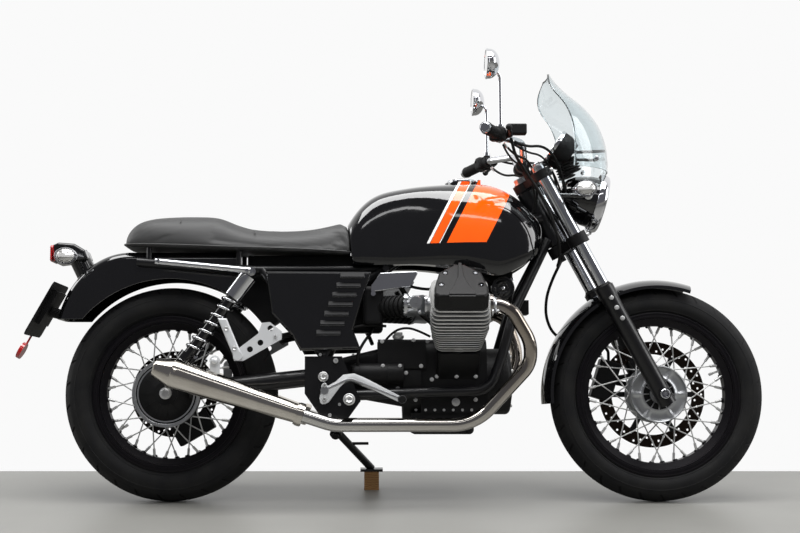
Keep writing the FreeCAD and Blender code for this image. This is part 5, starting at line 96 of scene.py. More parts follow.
@dataclass(frozen=True)
class BikeSpace:
    """The upright motorcycle's space in millimetres: x forward of the rear axle, y left, z above its tyres.

    Attributes:
        matrix: Takes a point of that space to the frame, in metres.
    """

    matrix: Matrix

    @classmethod
    def from_joints(cls, joints: Sequence[dict], tyre_radius: float = 318.0) -> "BikeSpace":
        """Works the space out from the rear wheel's axle.

        Args:
            joints: The frame's joints.
            tyre_radius: The rear tyre's radius in millimetres.

        Returns:
            The space.
        """
        wheel = next(joint for joint in joints if joint["name"] == "rear_wheel_spin")
        left = Vector(wheel["axis"]).normalized()
        forward = Vector((1, 0, 0))
        up = forward.cross(left)
        origin = Vector(wheel["pos_m"]) - up * tyre_radius * MM
        turn = Matrix((forward, left, up)).transposed().to_4x4()
        return cls(Matrix.Translation(origin) @ turn @ Matrix.Scale(MM, 4))

    def point(self, x: float, y: float, z: float) -> Vector:
        """A point of the frame, in metres, from bike millimetres."""
        return self.matrix @ Vector((x, y, z))

    def seat(self, piece: Piece) -> Piece:
        """Bakes a piece that was modelled in bike millimetres into its mesh, in the frame.

        Args:
            piece: A mesh object.

        Returns:
            The same object, at the origin.
        """
        bpy.context.view_layer.update()
        piece.data.transform(self.matrix @ piece.matrix_world)
        piece.matrix_world = Matrix.Identity(4)
        return piece


space = BikeSpace.from_joints(frame["joints"])


def linear(hex_colour: str) -> tuple[float, float, float, float]:
    """Turns an sRGB hex colour to linear RGBA.

    Args:
        hex_colour: Six hex digits after a hash.

    Returns:
        Linear red, green, blue and an alpha of one.
    """
    digits = hex_colour.lstrip("#")
    channels = [int(digits[at:at + 2], 16) / 255 for at in (0, 2, 4)]
    red, green, blue = (
        channel / 12.92 if channel <= 0.04045 else ((channel + 0.055) / 1.055) ** 2.4 for channel in channels
    )
    return red, green, blue, 1.0


def add_node(tree: Tree, kind: str, links: dict | None = None, **settings: object) -> bpy.types.Node:
    """Adds a node with its settings, its input values and its links.

    Args:
        tree: The material's node tree.
        kind: The node's bl_idname.
        links: Input names or numbers, each with a socket to link from or a value to hold.
        **settings: Attributes of the node.

    Returns:
        The node.
    """
    node = tree.nodes.new(kind)
    for name, value in settings.items():
        setattr(node, name, value)
    for key, value in (links or {}).items():
        if isinstance(value, Socket):
            tree.links.new(value, node.inputs[key])
        else:
            node.inputs[key].default_value = value
    return node


def maths(tree: Tree, operation: str, *values: object, kind: str = "ShaderNodeMath") -> Socket:
    """One step of arithmetic on sockets and numbers.

    Args:
        tree: The node tree.
        operation: The node's operation.
        *values: Its inputs, from the first.
        kind: The node's bl_idname.

    Returns:
        The result's socket.
    """
    outputs = add_node(tree, kind, dict(enumerate(values)), operation=operation).outputs
    return outputs["Value"] if operation in ("LENGTH", "DISTANCE") else outputs[0]


def vector_maths(tree: Tree, operation: str, *values: object) -> Socket:
    """One step of arithmetic on vectors."""
    return maths(tree, operation, *values, kind="ShaderNodeVectorMath")


def blend(tree: Tree, factor: object, first: object, second: object) -> Socket:
    """Mixes two colours, each a socket or linear RGBA."""
    return add_node(tree, "ShaderNodeMix", {"Factor": factor, 6: first, 7: second}, data_type="RGBA").outputs[2]


def bike_coordinates(tree: Tree) -> Socket:
    """Object coordinates turned to bike millimetres, so that a pattern's size is a real size.

    Args:
        tree: The material's node tree.

    Returns:
        The vector socket.
    """
    back = space.matrix.inverted()
    place, turn, scale = back.decompose()
    source = add_node(tree, "ShaderNodeTexCoord")
    mapping = add_node(tree, "ShaderNodeMapping", {
        "Vector": source.outputs["Object"],
        "Location": place,
        "Rotation": turn.to_euler(),
        "Scale": scale,
    })
    return mapping.outputs["Vector"]


class Pattern(Enum):
    """How a surface was made, which sets its fine texture."""

    ORANGE_PEEL = "sprayed"
    CAST = "cast"
    WRINKLE = "wrinkle coated"
    BRUSHED_X = "brushed along the motorcycle"
    BRUSHED_Y = "brushed across the motorcycle"
    TURNED = "turned about an axle"
    GRAIN = "leather grain"
    MOULDED = "moulded"


@dataclass(frozen=True)
class Finish:
    """One surface finish, built as a node material with real pattern sizes in millimetres.

    Attributes:
        name: The material's name.
        colour: The sRGB colour.
        second: The sRGB colour of its stains, dust or wear.
        metallic: How much of a metal it is.
        roughness: The lowest roughness.
        spread: What the pattern adds to the roughness.
        pattern: How its surface was made.
        grain_mm: The pattern's real size.
        relief_mm: The pattern's real depth.
        stain: How much of the second colour shows.
        coat: The weight of a clear coat.
        specular: How strongly a non-metal mirrors, where a half is plain plastic.
        axle: The node whose middle a turned pattern circles.
        slot: The record's material slot for this finish; not used.
    """

    name: str
    colour: str
    second: str
    metallic: float = 0.0
    roughness: float = 0.4
    spread: float = 0.15
    pattern: Pattern = Pattern.ORANGE_PEEL
    grain_mm: float = 1.0
    relief_mm: float = 0.02
    stain: float = 0.3
    coat: float = 0.0
    specular: float = 0.5
    axle: str = ""
    slot: str = "black_plastic"

    def build(self) -> bpy.types.Material:
        """Makes the material.

        Returns:
            A new material, or the one of that name made before.
        """
        known = bpy.data.materials.get(self.name)
        if known:
            return known
        material = bpy.data.materials.new(self.name)
        material.use_nodes = True
        tree = material.node_tree
        shader = tree.nodes["Principled BSDF"]
        shader.inputs["Metallic"].default_value = self.metallic
        shader.inputs["Specular IOR Level"].default_value = self.specular
        shader.inputs["Coat Weight"].default_value = self.coat
        shader.inputs["Coat Roughness"].default_value = 0.03
        where = bike_coordinates(tree)
        height = self.texture(tree, where)
        self.colour_nodes(tree, where, shader)
        rough = add_node(tree, "ShaderNodeMapRange", {
            "Value": height, "To Min": self.roughness, "To Max": self.roughness + self.spread,
        })
        tree.links.new(rough.outputs["Result"], shader.inputs["Roughness"])
        bump = add_node(tree, "ShaderNodeBump", {
            "Height": height, "Strength": 0.6, "Distance": self.relief_mm * MM,
        })
        tree.links.new(bump.outputs["Normal"], shader.inputs["Normal"])
        self.extra(tree, where, shader)
        return material

    def texture(self, tree: Tree, where: Socket) -> Socket:
        """The fine pattern as a height between 0 and 1.

        Args:
            tree: The node tree.
            where: Bike millimetres.

        Returns:
            The height socket.
        """
        fine = 1 / self.grain_mm
        if self.pattern in (Pattern.BRUSHED_X, Pattern.BRUSHED_Y):
            along = (0.02, 1, 1) if self.pattern is Pattern.BRUSHED_X else (1, 0.02, 1)
            where = vector_maths(tree, "MULTIPLY", where, along)
        if self.pattern is Pattern.TURNED:
            low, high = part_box(self.axle)
            middle = space.matrix.inverted() @ ((low + high) / 2)
            ray = vector_maths(tree, "SUBTRACT", where, (middle.x, 0, middle.z))
            reach = vector_maths(tree, "LENGTH", vector_maths(tree, "MULTIPLY", ray, (1, 0, 1)))
            where = add_node(tree, "ShaderNodeCombineXYZ", {"X": reach}).outputs[0]
        if self.pattern in (Pattern.GRAIN, Pattern.WRINKLE):
            warp = add_node(tree, "ShaderNodeTexNoise", {"Vector": where, "Scale": fine / 2, "Detail": 2.0})
            bent = vector_maths(tree, "MULTIPLY_ADD", warp.outputs["Color"], (self.grain_mm,) * 3, where)
            cells = add_node(tree, "ShaderNodeTexVoronoi", {"Vector": bent, "Scale": fine},
                             feature="SMOOTH_F1" if self.pattern is Pattern.WRINKLE else "F1")
            return cells.outputs["Distance"]
        noise = add_node(tree, "ShaderNodeTexNoise", {
            "Vector": where, "Scale": fine, "Detail": 4.0 if self.pattern is Pattern.CAST else 2.0,
        })
        return noise.outputs["Fac"]

    def colour_nodes(self, tree: Tree, where: Socket, shader: bpy.types.Node) -> None:
        """Links the colour, clouded by stains of the second colour at a hand's scale.

        Args:
            tree: The node tree.
            where: Bike millimetres.
            shader: The principled shader.
        """
        cloud = add_node(tree, "ShaderNodeTexNoise", {"Vector": where, "Scale": 1 / 60, "Detail": 6.0})
        amount = add_node(tree, "ShaderNodeMapRange", {
            "Value": cloud.outputs["Fac"], "From Min": 0.42, "From Max": 0.75, "To Max": self.stain,
        })
        mixed = blend(tree, amount.outputs["Result"], linear(self.colour), linear(self.second))
        tree.links.new(mixed, shader.inputs["Base Color"])

    def extra(self, tree: Tree, where: Socket, shader: bpy.types.Node) -> None:
        """What a finish of a kind of its own adds; a plain one adds nothing."""


@dataclass(frozen=True)
class StripedEnamel(Finish):
    """The tank's black enamel with two white lines and two orange bands under the lacquer.

    Attributes:
        slope: How far a band leans forward for each millimetre of height.
        base_z: The height where the bands end.
        bands: The near edge, far edge and colour of each band at the base.
    """

    slope: float = 0.512
    base_z: float = 758.0
    bands: tuple[tuple[float, float, str], ...] = (
        (760.0, 768.0, "#ECEAE6"), (769.5, 795.0, "#F2560A"), (796.5, 799.0, "#ECEAE6"), (818.0, 933.0, "#F65A08"),
    )

    def extra(self, tree: Tree, where: Socket, shader: bpy.types.Node) -> None:
        """Lays the bands over the black.

        Args:
            tree: The node tree.
            where: Bike millimetres.
            shader: The principled shader.
        """
        parts = add_node(tree, "ShaderNodeSeparateXYZ", {"Vector": where})
        rise = maths(tree, "SUBTRACT", parts.outputs["Z"], self.base_z)
        lean = maths(tree, "MULTIPLY_ADD", rise, -self.slope, parts.outputs["X"])
        above = maths(tree, "GREATER_THAN", parts.outputs["Z"], self.base_z)
        colour = shader.inputs["Base Color"].links[0].from_socket
        for near, far, paint in self.bands:
            inside = maths(tree, "MULTIPLY", maths(tree, "GREATER_THAN", lean, near),
                            maths(tree, "LESS_THAN", lean, far))
            colour = blend(tree, maths(tree, "MULTIPLY", inside, above), colour, linear(paint))
        tree.links.new(colour, shader.inputs["Base Color"])


@dataclass(frozen=True)
class TemperedSteel(Finish):
    """Exhaust steel that heat has turned straw and brown near the ports.

    Attributes:
        hot: The sRGB colours from the port to the cold pipe.
        port_x: How far forward the port is.
        port_z: How high it is.
        reach: How far down the pipe the colours run, in millimetres.
    """

    hot: tuple[str, ...] = ("#5E5654", "#928371", "#BDB8B0", "#D6D5D3")
    port_x: float = 950.0
    port_z: float = 567.0
    reach: float = 620.0

    def extra(self, tree: Tree, where: Socket, shader: bpy.types.Node) -> None:
        """Runs the heat colours down the pipe.

        Args:
            tree: The node tree.
            where: Bike millimetres.
            shader: The principled shader.
        """
        flat = vector_maths(tree, "MULTIPLY", where, (1, 0, 1))
        away = vector_maths(tree, "DISTANCE", flat, (self.port_x, 0, self.port_z))
        share = add_node(tree, "ShaderNodeMapRange", {"Value": away, "From Max": self.reach})
        ramp = add_node(tree, "ShaderNodeValToRGB", {"Fac": share.outputs["Result"]})
        stops = ramp.color_ramp.elements
        while len(stops) < len(self.hot):
            stops.new(0.5)
        for index, colour in enumerate(self.hot):
            stops[index].position = (index / (len(self.hot) - 1)) ** 1.6
            stops[index].color = linear(colour)
        worn = shader.inputs["Base Color"].links[0].from_socket
        tree.links.new(blend(tree, 0.75, worn, ramp.outputs["Color"]), shader.inputs["Base Color"])


@dataclass(frozen=True)
class ClearPlastic(Finish):
    """A clear moulding: light goes through it, a little smoked by its depth.

    Attributes:
        ior: Its index of refraction.
        flutes: Whether its inner face has pressed flutes across it.
        flute_mm: The flutes' real width.
    """

    ior: float = 1.49
    flutes: bool = False
    flute_mm: float = 9.0

    def extra(self, tree: Tree, where: Socket, shader: bpy.types.Node) -> None:
        """Opens the surface to light and presses the flutes in.

        Args:
            tree: The node tree.
            where: Bike millimetres.
            shader: The principled shader.
        """
        shader.inputs["Transmission Weight"].default_value = 1.0
        shader.inputs["IOR"].default_value = self.ior
        if not self.flutes:
            return
        wave = add_node(tree, "ShaderNodeTexWave", {"Vector": where, "Scale": math.tau / self.flute_mm / 20},
                        bands_direction="Y")
        bump = add_node(tree, "ShaderNodeBump", {
            "Height": wave.outputs["Fac"], "Strength": 0.8, "Distance": 1.2 * MM,
        })
        tree.links.new(bump.outputs["Normal"], shader.inputs["Normal"])


@dataclass(frozen=True)
class SawnWood(Finish):
    """Sawn softwood: year rings stretched along the block.

    Attributes:
        ring_mm: The width of a year ring.
    """

    ring_mm: float = 5.0

    def extra(self, tree: Tree, where: Socket, shader: bpy.types.Node) -> None:
        """Draws the rings.

        Args:
            tree: The node tree.
            where: Bike millimetres.
            shader: The principled shader.
        """
        drawn = vector_maths(tree, "MULTIPLY", where, (1, 0.08, 1))
        rings = add_node(tree, "ShaderNodeTexWave", {
            "Vector": drawn, "Scale": math.tau / self.ring_mm / 20, "Distortion": 4.0, "Detail": 3.0,
        }, wave_type="RINGS")
        mixed = blend(tree, rings.outputs["Fac"], linear(self.colour), linear(self.second))
        tree.links.new(mixed, shader.inputs["Base Color"])


# Two-pack enamel under lacquer, sprayed: deep, wet black with a faint orange peel.
GLOSS_ENAMEL = Finish("gloss_black_enamel", "#070708", "#0C0C0E", roughness=0.06, spread=0.05,
                      grain_mm=5.0, relief_mm=0.012, coat=1.0, slot="gloss_paint")
# The same enamel with the tank's bands sprayed in before the lacquer.
TANK_ENAMEL = StripedEnamel("striped_tank_enamel", "#070708", "#0B0B0D", roughness=0.06, spread=0.05,
                            grain_mm=5.0, relief_mm=0.012, coat=1.0, slot="gloss_paint")
# Powder-coated steel tube, baked: satin black with a slight ripple.
POWDER_BLACK = Finish("powder_coated_steel", "#08080A", "#100F0F", roughness=0.28, spread=0.18,
                      specular=0.35, grain_mm=2.4, relief_mm=0.03, coat=0.3, slot="frame_black")
# Wrinkle-painted aluminium castings, baked: dry, finely creased black that greys with road dust.
WRINKLE_BLACK = Finish("wrinkle_painted_casting", "#070708", "#121110", roughness=0.44, spread=0.2,
                       pattern=Pattern.WRINKLE, specular=0.3, grain_mm=2.2, relief_mm=0.12, stain=0.35,
                       slot="wrinkle_black")
# Sand-cast aluminium, bead blasted: pale grey with a dull, even grain.
BLASTED_ALUMINIUM = Finish("blasted_aluminium", "#D2D2D1", "#A3A19E", metallic=0.85, roughness=0.42, spread=0.2,
                           pattern=Pattern.CAST, grain_mm=1.6, relief_mm=0.06, stain=0.4, slot="cast_alloy")
# The fins' broad faces: the same casting, painted a darker grey than the bright edges as painted shade between the
# fins, with a random mottle of its second grey.
FIN_SHADE = Finish("painted_shade_fin_faces", "#8C8C8B", "#5E5D5B", metallic=0.7, roughness=0.55, spread=0.2,
                   pattern=Pattern.CAST, grain_mm=1.6, relief_mm=0.06, stain=0.5, slot="cast_alloy")
# Forged aluminium, tumbled and anodised silver: pale, even and satin.
SATIN_SILVER = Finish("satin_silver_forging", "#CBCCCD", "#B4B5B6", metallic=0.35, roughness=0.36, spread=0.1,
                      pattern=Pattern.CAST, grain_mm=1.0, relief_mm=0.02, slot="polished_alloy")
# Die-cast aluminium as it left the mould: brighter, with soft flow clouds.
CAST_ALUMINIUM = Finish("die_cast_aluminium", "#B9BBBD", "#85868A", metallic=0.95, roughness=0.3, spread=0.2,
                        pattern=Pattern.CAST, grain_mm=3.0, relief_mm=0.05, stain=0.5, slot="engine_alloy")
# Brushed aluminium plate: fine lines along the motorcycle.
BRUSHED_ALUMINIUM = Finish("brushed_aluminium", "#C8C9CB", "#A9AAAC", metallic=1.0, roughness=0.22, spread=0.18,
                           pattern=Pattern.BRUSHED_X, grain_mm=0.7, relief_mm=0.02, slot="polished_alloy")
# Polished stainless sheet, rolled: bright with long faint lines and a warm cast.
POLISHED_STAINLESS = Finish("polished_stainless", "#D8D3CB", "#B5ADA2", metallic=1.0, roughness=0.08, spread=0.08,
                            pattern=Pattern.BRUSHED_X, grain_mm=1.2, relief_mm=0.015, stain=0.45,
                            slot="exhaust_steel")
# Stainless header tube, bent and run hot: straw and brown by the port, bright further down.
HEADER_STEEL = TemperedSteel("tempered_header_steel", "#CFCDCA", "#979089", metallic=1.0, roughness=0.04, spread=0.06,
                             pattern=Pattern.CAST, grain_mm=6.0, relief_mm=0.01, slot="exhaust_steel")
# Chromium plate over polished steel: a mirror with a trace of haze.
CHROME = Finish("chromium_plate", "#DCDDE0", "#B9BBC0", metallic=1.0, roughness=0.03, spread=0.05,
                grain_mm=12.0, relief_mm=0.006, stain=0.25, slot="chrome")
# Zinc-plated drawn wire and bolts: grey-white, a little dull.
ZINC_STEEL = Finish("zinc_plated_steel", "#D0D0CF", "#A9A8A5", metallic=0.7, roughness=0.25, spread=0.15,
                    pattern=Pattern.CAST, grain_mm=1.2, relief_mm=0.02, slot="steel")
# Hard-chromed fork tube, ground: bright with fine rings.
GROUND_CHROME = Finish("ground_hard_chrome", "#D6D9DE", "#B4B8BE", metallic=1.0, roughness=0.07, spread=0.06,
                       grain_mm=1.5, relief_mm=0.006, slot="chrome")
# Rolled disc steel, ground by the pads: brown-grey rings about the axle.
FRONT_DISC_STEEL = Finish("front_disc_steel", "#2E2520", "#1E1915", metallic=0.9, roughness=0.3, spread=0.25,
                          pattern=Pattern.TURNED, grain_mm=0.9, relief_mm=0.03, axle="front_disc", slot="steel")
REAR_DISC_STEEL = replace(FRONT_DISC_STEEL, name="rear_disc_steel", colour="#211D1A", second="#161310",
                          axle="rear_disc")
# Anodised black rim aluminium, rolled: satin with a violet-brown glance.
FRONT_RIM = Finish("front_rim_anodised", "#121014", "#1D191B", metallic=0.6, roughness=0.32, spread=0.12,
                   pattern=Pattern.TURNED, grain_mm=1.1, relief_mm=0.015, axle="front_rim", slot="rim_black")
REAR_RIM = replace(FRONT_RIM, name="rear_rim_anodised", axle="rear_rim")
# Vulcanised tyre rubber: dull charcoal with mould lines round the wall and dust in its grooves.
FRONT_TYRE_RUBBER = Finish("front_tyre_rubber", "#131314", "#22211F", roughness=0.62, spread=0.2,
                           pattern=Pattern.TURNED, specular=0.2, grain_mm=2.6, relief_mm=0.08, stain=0.5,
                           axle="front_tyre", slot="tyre_rubber")
REAR_TYRE_RUBBER = replace(FRONT_TYRE_RUBBER, name="rear_tyre_rubber", axle="rear_tyre")
# Moulded rubber of hoses, boots and grips: soft black with a dry bloom.
MOULDED_RUBBER = Finish("moulded_rubber", "#0B0B0B", "#161514", roughness=0.55, spread=0.2,
                        pattern=Pattern.MOULDED, specular=0.25, grain_mm=1.2, relief_mm=0.05, slot="black_rubber")
# Vinyl seat cover, calendered: leather grain with a low sheen where it is sat on.
SEAT_VINYL = Finish("seat_vinyl", "#060607", "#0D0D0D", roughness=0.38, spread=0.2,
                    pattern=Pattern.GRAIN, specular=0.22, grain_mm=2.4, relief_mm=0.12, stain=0.4,
                    slot="seat_vinyl")
# Injection-moulded ABS with a spark-eroded texture: matt black.
TEXTURED_ABS = Finish("textured_abs", "#0B0B0C", "#141415", roughness=0.5, spread=0.15,
                      pattern=Pattern.CAST, specular=0.25, grain_mm=0.8, relief_mm=0.04)
# Polished ABS: near-black and shiny.
GLOSS_ABS = Finish("gloss_abs", "#0A0A0B", "#101012", roughness=0.12, spread=0.06,
                   grain_mm=8.0, relief_mm=0.01, coat=0.5, slot="gloss_black")
# Vacuum-formed acrylic sheet: clear and lightly smoked.
SCREEN_ACRYLIC = ClearPlastic("screen_acrylic", "#E6EDEF", "#DCE5E8", roughness=0.02, spread=0.02,
                              grain_mm=20.0, relief_mm=0.01, slot="clear_screen")
# Pressed lamp glass with flutes: bright bars across the lamp.
LAMP_GLASS = ClearPlastic("pressed_lamp_glass", "#F1F4F5", "#E4EAEC", roughness=0.01, spread=0.02,
                          grain_mm=10.0, relief_mm=0.01, ior=1.5, flutes=True, slot="lamp_glass")
# Moulded clear lens of an indicator.
CLEAR_LENS = ClearPlastic("clear_lens", "#F3F1EC", "#E9E4DA", roughness=0.03, spread=0.03,
                          grain_mm=6.0, relief_mm=0.02, flutes=True, flute_mm=4.0, slot="lamp_glass")
# Moulded red lens of the tail lamp.
RED_LENS = Finish("red_lens", "#A30D10", "#7A0709", roughness=0.08, spread=0.06,
                  grain_mm=4.0, relief_mm=0.05, coat=1.0, slot="lamp_red")
# Amber bulb dome behind a clear lens.
AMBER_LENS = Finish("amber_dome", "#E07A12", "#B55C08", roughness=0.1, spread=0.06,
                    grain_mm=3.0, relief_mm=0.05, coat=1.0, slot="lamp_red")
# Vacuum-plated reflector bowl.
REFLECTOR = Finish("plated_reflector", "#E8E8E8", "#D2D2D2", metallic=1.0, roughness=0.04, spread=0.03,
                   grain_mm=15.0, relief_mm=0.01, slot="chrome")
# Enamelled number plate with nothing on it: white with a faint grain.
PLATE_WHITE = Finish("plate_enamel", "#D9D9D4", "#C6C5BF", roughness=0.35, spread=0.1,
                     grain_mm=3.0, relief_mm=0.02, slot="plate_white")
# Printed clock face: matt black card.
DIAL_BLACK = Finish("dial_card", "#0E0E10", "#161619", roughness=0.6, spread=0.1,
                    pattern=Pattern.CAST, grain_mm=0.6, relief_mm=0.01)
# White dial ink.
DIAL_WHITE = Finish("dial_ink", "#E9E9E4", "#DAD9D3", roughness=0.5, spread=0.1,
                    pattern=Pattern.CAST, grain_mm=0.6, relief_mm=0.01, slot="plate_white")
# Sawn pine of the block under the stand.
PINE = SawnWood("sawn_pine", "#A97F4F", "#7C5732", roughness=0.6, spread=0.2,
                pattern=Pattern.BRUSHED_Y, grain_mm=1.2, relief_mm=0.15, slot="wood")

NODE_FINISHES: tuple[tuple[Finish, str], ...] = (
    (POWDER_BLACK, "main_frame engine_cradle swingarm fork_sliders side_stand"),
    (WRINKLE_BLACK, "crankcase gearbox rocker_covers final_drive rear_caliper yokes front_caliper"),
    (MOULDED_RUBBER, "intakes footpegs grips brake_hose"),
    (TEXTURED_ABS, "airbox plate_holder horn instruments hand_controls"),
    (TANK_ENAMEL, "fuel_tank"),
    (CHROME, "filler_cap chrome_covers rear_indicators seat_rails"),
    (CHROME, "shock_absorbers shock_springs handlebar mirrors front_indicators"),
    (SEAT_VINYL, "seat"),
    (GLOSS_ENAMEL, "rear_fender headlamp_shell front_fender side_cover_right side_cover_left"),
    (GLOSS_ABS, "tail_lamp"),
    (ZINC_STEEL, "rear_axle front_spokes rear_spokes"),
    (BRUSHED_ALUMINIUM, "foot_controls"),
    (GROUND_CHROME, "fork_tubes"),
    (LAMP_GLASS, "headlamp_glass"),
    (SCREEN_ACRYLIC, "windscreen"),
    (PINE, "stand_block"),
    (BLASTED_ALUMINIUM, "cylinder_right cylinder_left"),
    (HEADER_STEEL, "header_right header_left"),
    (POLISHED_STAINLESS, "silencer_right silencer_left"),
    (FRONT_TYRE_RUBBER, "front_tyre"),
    (FRONT_RIM, "front_rim"),
    (CAST_ALUMINIUM, "front_hub rear_hub"),
    (FRONT_DISC_STEEL, "front_disc"),
    (REAR_TYRE_RUBBER, "rear_tyre"),
    (REAR_RIM, "rear_rim"),
    (REAR_DISC_STEEL, "rear_disc"),
)


def dress(piece: Piece, finish: Finish) -> Piece:
    """Gives a piece one finish in place of any it has.

    Args:
        piece: The object.
        finish: Its finish.

    Returns:
        The same object.
    """
    piece.data.materials.clear()
    piece.data.materials.append(finish.build())
    return piece


def clear_bench() -> None:
    """Leaves object mode with nothing selected, so that the next operator acts on its own piece alone."""
    if bpy.context.object and bpy.context.object.mode != "OBJECT":
        bpy.ops.object.mode_set(mode="OBJECT")
    bpy.ops.object.select_all(action="DESELECT")


def take_up(piece: Piece) -> None:
    """Makes one piece the selected and active one.

    Args:
        piece: The object.
    """
    clear_bench()
    piece.select_set(True)
    bpy.context.view_layer.objects.active = piece


def pick_faces(piece: Piece, chosen: Callable[[bpy.types.MeshPolygon], bool]) -> None:
    """Enters edit mode with some faces selected.

    Args:
        piece: The object.
        chosen: Says of a face whether it is taken.
    """
    take_up(piece)
    for item in (piece.data.vertices, piece.data.edges):
        for part in item:
            part.select = False
    for face in piece.data.polygons:
        face.select = chosen(face)
    bpy.ops.object.mode_set(mode="EDIT")
    bpy.ops.mesh.select_mode(type="FACE")


def lay_down() -> None:
    """Goes back to object mode with the normals facing outwards."""
    bpy.ops.mesh.select_all(action="SELECT")
    bpy.ops.mesh.normals_make_consistent(inside=False)
    bpy.ops.object.mode_set(mode="OBJECT")


def finish_with(piece: Piece, kind: str, **settings: object) -> Piece:
    """Adds a modifier with its settings and applies it.

    Args:
        piece: The object.
        kind: The modifier's type.
        **settings: Its attributes.

    Returns:
        The same object.
    """
    take_up(piece)
    modifier = piece.modifiers.new(kind.lower(), kind)
    for name, value in settings.items():
        setattr(modifier, name, value)
    bpy.ops.object.modifier_apply(modifier=modifier.name)
    return piece


def smooth(piece: Piece, angle: float = 35.0) -> Piece:
    """Shades a piece smooth up to an angle.

    Args:
        piece: The object.
        angle: The sharpest edge that is still smooth, in degrees.

    Returns:
        The same object.
    """
    take_up(piece)
    bpy.ops.object.shade_smooth_by_angle(angle=math.radians(angle))
    return piece


def stand_on(piece: Piece, place: Vector, axis: Vector, roll: float = 0.0) -> Piece:
    """Turns a piece that was modelled along +Z to an axis and sets its origin at a place, in bike millimetres.

    Args:
        piece: The object.
        place: Where its origin goes.
        axis: Where its +Z goes.
        roll: Its turn about its own axis, in degrees.

    Returns:
        The same object, with its place in its mesh.
    """
    turn = Vector(axis).to_track_quat("Z", "Y").to_matrix().to_4x4()
    piece.data.transform(Matrix.Translation(Vector(place)) @ turn @ Matrix.Rotation(math.radians(roll), 4, "Z"))
    return piece


def turned(name: str, profile: Sequence[tuple[float, float]], sides: int = 32) -> Piece:
    """Turns a profile about +Z: a disc is extruded from ring to ring and resized at each.

    Args:
        name: The piece's name.
        profile: Radius and height of each ring, from the foot up.
        sides: The number of sides.

    Returns:
        The closed solid.
    """
    clear_bench()
    radius, height = profile[0]
    bpy.ops.mesh.primitive_circle_add(vertices=sides, radius=1.0, fill_type="NGON")
    piece = bpy.context.object
    piece.name = name
    piece.data.transform(Matrix.Translation((0, 0, height)) @ Matrix.Diagonal((radius, radius, 1, 1)))
    bpy.ops.object.mode_set(mode="EDIT")
    bpy.ops.mesh.select_all(action="SELECT")
    for next_radius, next_height in profile[1:]:
        bpy.ops.mesh.extrude_region_move(TRANSFORM_OT_translate={"value": (0, 0, next_height - height)})
        share = next_radius / radius
        bpy.ops.transform.resize(value=(share, share, 1), center_override=(0, 0, next_height))
        radius, height = next_radius, next_height
    lay_down()
    return piece


def ring(name: str, profile: Sequence[tuple[float, float]], sides: int = 96) -> Piece:
    """Spins a closed section about +Z into a ring.

    Args:
        name: The piece's name.
        profile: Radius and height of each corner of the section, in order round it.
        sides: The number of steps of the spin.

    Returns:
        The closed ring.
    """
    clear_bench()
    bpy.ops.mesh.primitive_circle_add(vertices=len(profile), radius=1.0, fill_type="NOTHING")
    piece = bpy.context.object
    piece.name = name
    for vertex, (radius, height) in zip(piece.data.vertices, profile):
        vertex.co = (radius, 0, height)
    bpy.ops.object.mode_set(mode="EDIT")
    bpy.ops.mesh.select_all(action="SELECT")
    bpy.ops.mesh.spin(steps=sides, angle=math.tau, center=(0, 0, 0), axis=(0, 0, 1), use_auto_merge=True)
    bpy.ops.mesh.select_all(action="SELECT")
    bpy.ops.mesh.remove_doubles(threshold=0.001)
    lay_down()
    return piece


def block(name: str, size: Point, bevel: float = 1.0, segments: int = 2) -> Piece:
    """A block about the origin with rounded edges.

    Args:
        name: The piece's name.
        size: Its length, width and height.
        bevel: The radius of its edges.
        segments: The steps of that radius.

    Returns:
        The block.
    """
    clear_bench()
    bpy.ops.mesh.primitive_cube_add(size=1.0)
    piece = bpy.context.object
    piece.name = name
    piece.data.transform(Matrix.Diagonal((*size, 1)))
    bpy.ops.object.mode_set(mode="EDIT")
    bpy.ops.mesh.select_all(action="SELECT")
    bpy.ops.mesh.bevel(offset=bevel, segments=segments, profile=0.5)
    lay_down()
    return piece


def plate(name: str, outline: Sequence[tuple[float, float]], thickness: float, bevel: float = 0.8) -> Piece:
    """A flat plate: an outline in XY is filled, extruded along +Z and bevelled.

    Args:
        name: The piece's name.
        outline: Its corners in order.
        thickness: Its thickness.
        bevel: The radius of its edges.

    Returns:
        The plate.
    """
    clear_bench()
    bpy.ops.mesh.primitive_circle_add(vertices=len(outline), radius=1.0, fill_type="NGON")
    piece = bpy.context.object
    piece.name = name
    for vertex, (x, y) in zip(piece.data.vertices, outline):
        vertex.co = (x, y, 0)
    bpy.ops.object.mode_set(mode="EDIT")
    bpy.ops.mesh.select_all(action="SELECT")
    bpy.ops.mesh.extrude_region_move(TRANSFORM_OT_translate={"value": (0, 0, thickness)})
    bpy.ops.mesh.select_all(action="SELECT")
    bpy.ops.mesh.bevel(offset=bevel, segments=2, profile=0.5)
    lay_down()
    return piece


def hose(name: str, points: Sequence[Point], diameter: float, sides: int = 3) -> Piece:
    """A round cable, pipe or wire that the motorcycle holds all the way, along one smooth curve.

    Args:
        name: The piece's name.
        points: The curve's control points in bike millimetres.
        diameter: Its outer diameter.
        sides: The curve's bevel resolution.

    Returns:
        The mesh.
    """
    clear_bench()
    data = bpy.data.curves.new(name, "CURVE")
    data.dimensions = "3D"
    data.bevel_depth = diameter / 2
    data.bevel_resolution = sides
    data.use_fill_caps = True
    spline = data.splines.new("NURBS")
    spline.points.add(len(points) - 1)
    for target, point in zip(spline.points, points):
        target.co = (*point, 1)
    spline.order_u = 3
    spline.use_endpoint_u = True
    spline.resolution_u = 8
    piece = bpy.data.objects.new(name, data)
    bpy.context.scene.collection.objects.link(piece)
    take_up(piece)
    bpy.ops.object.convert(target="MESH")
    piece = bpy.context.object
    bpy.ops.object.shade_smooth()
    return piece


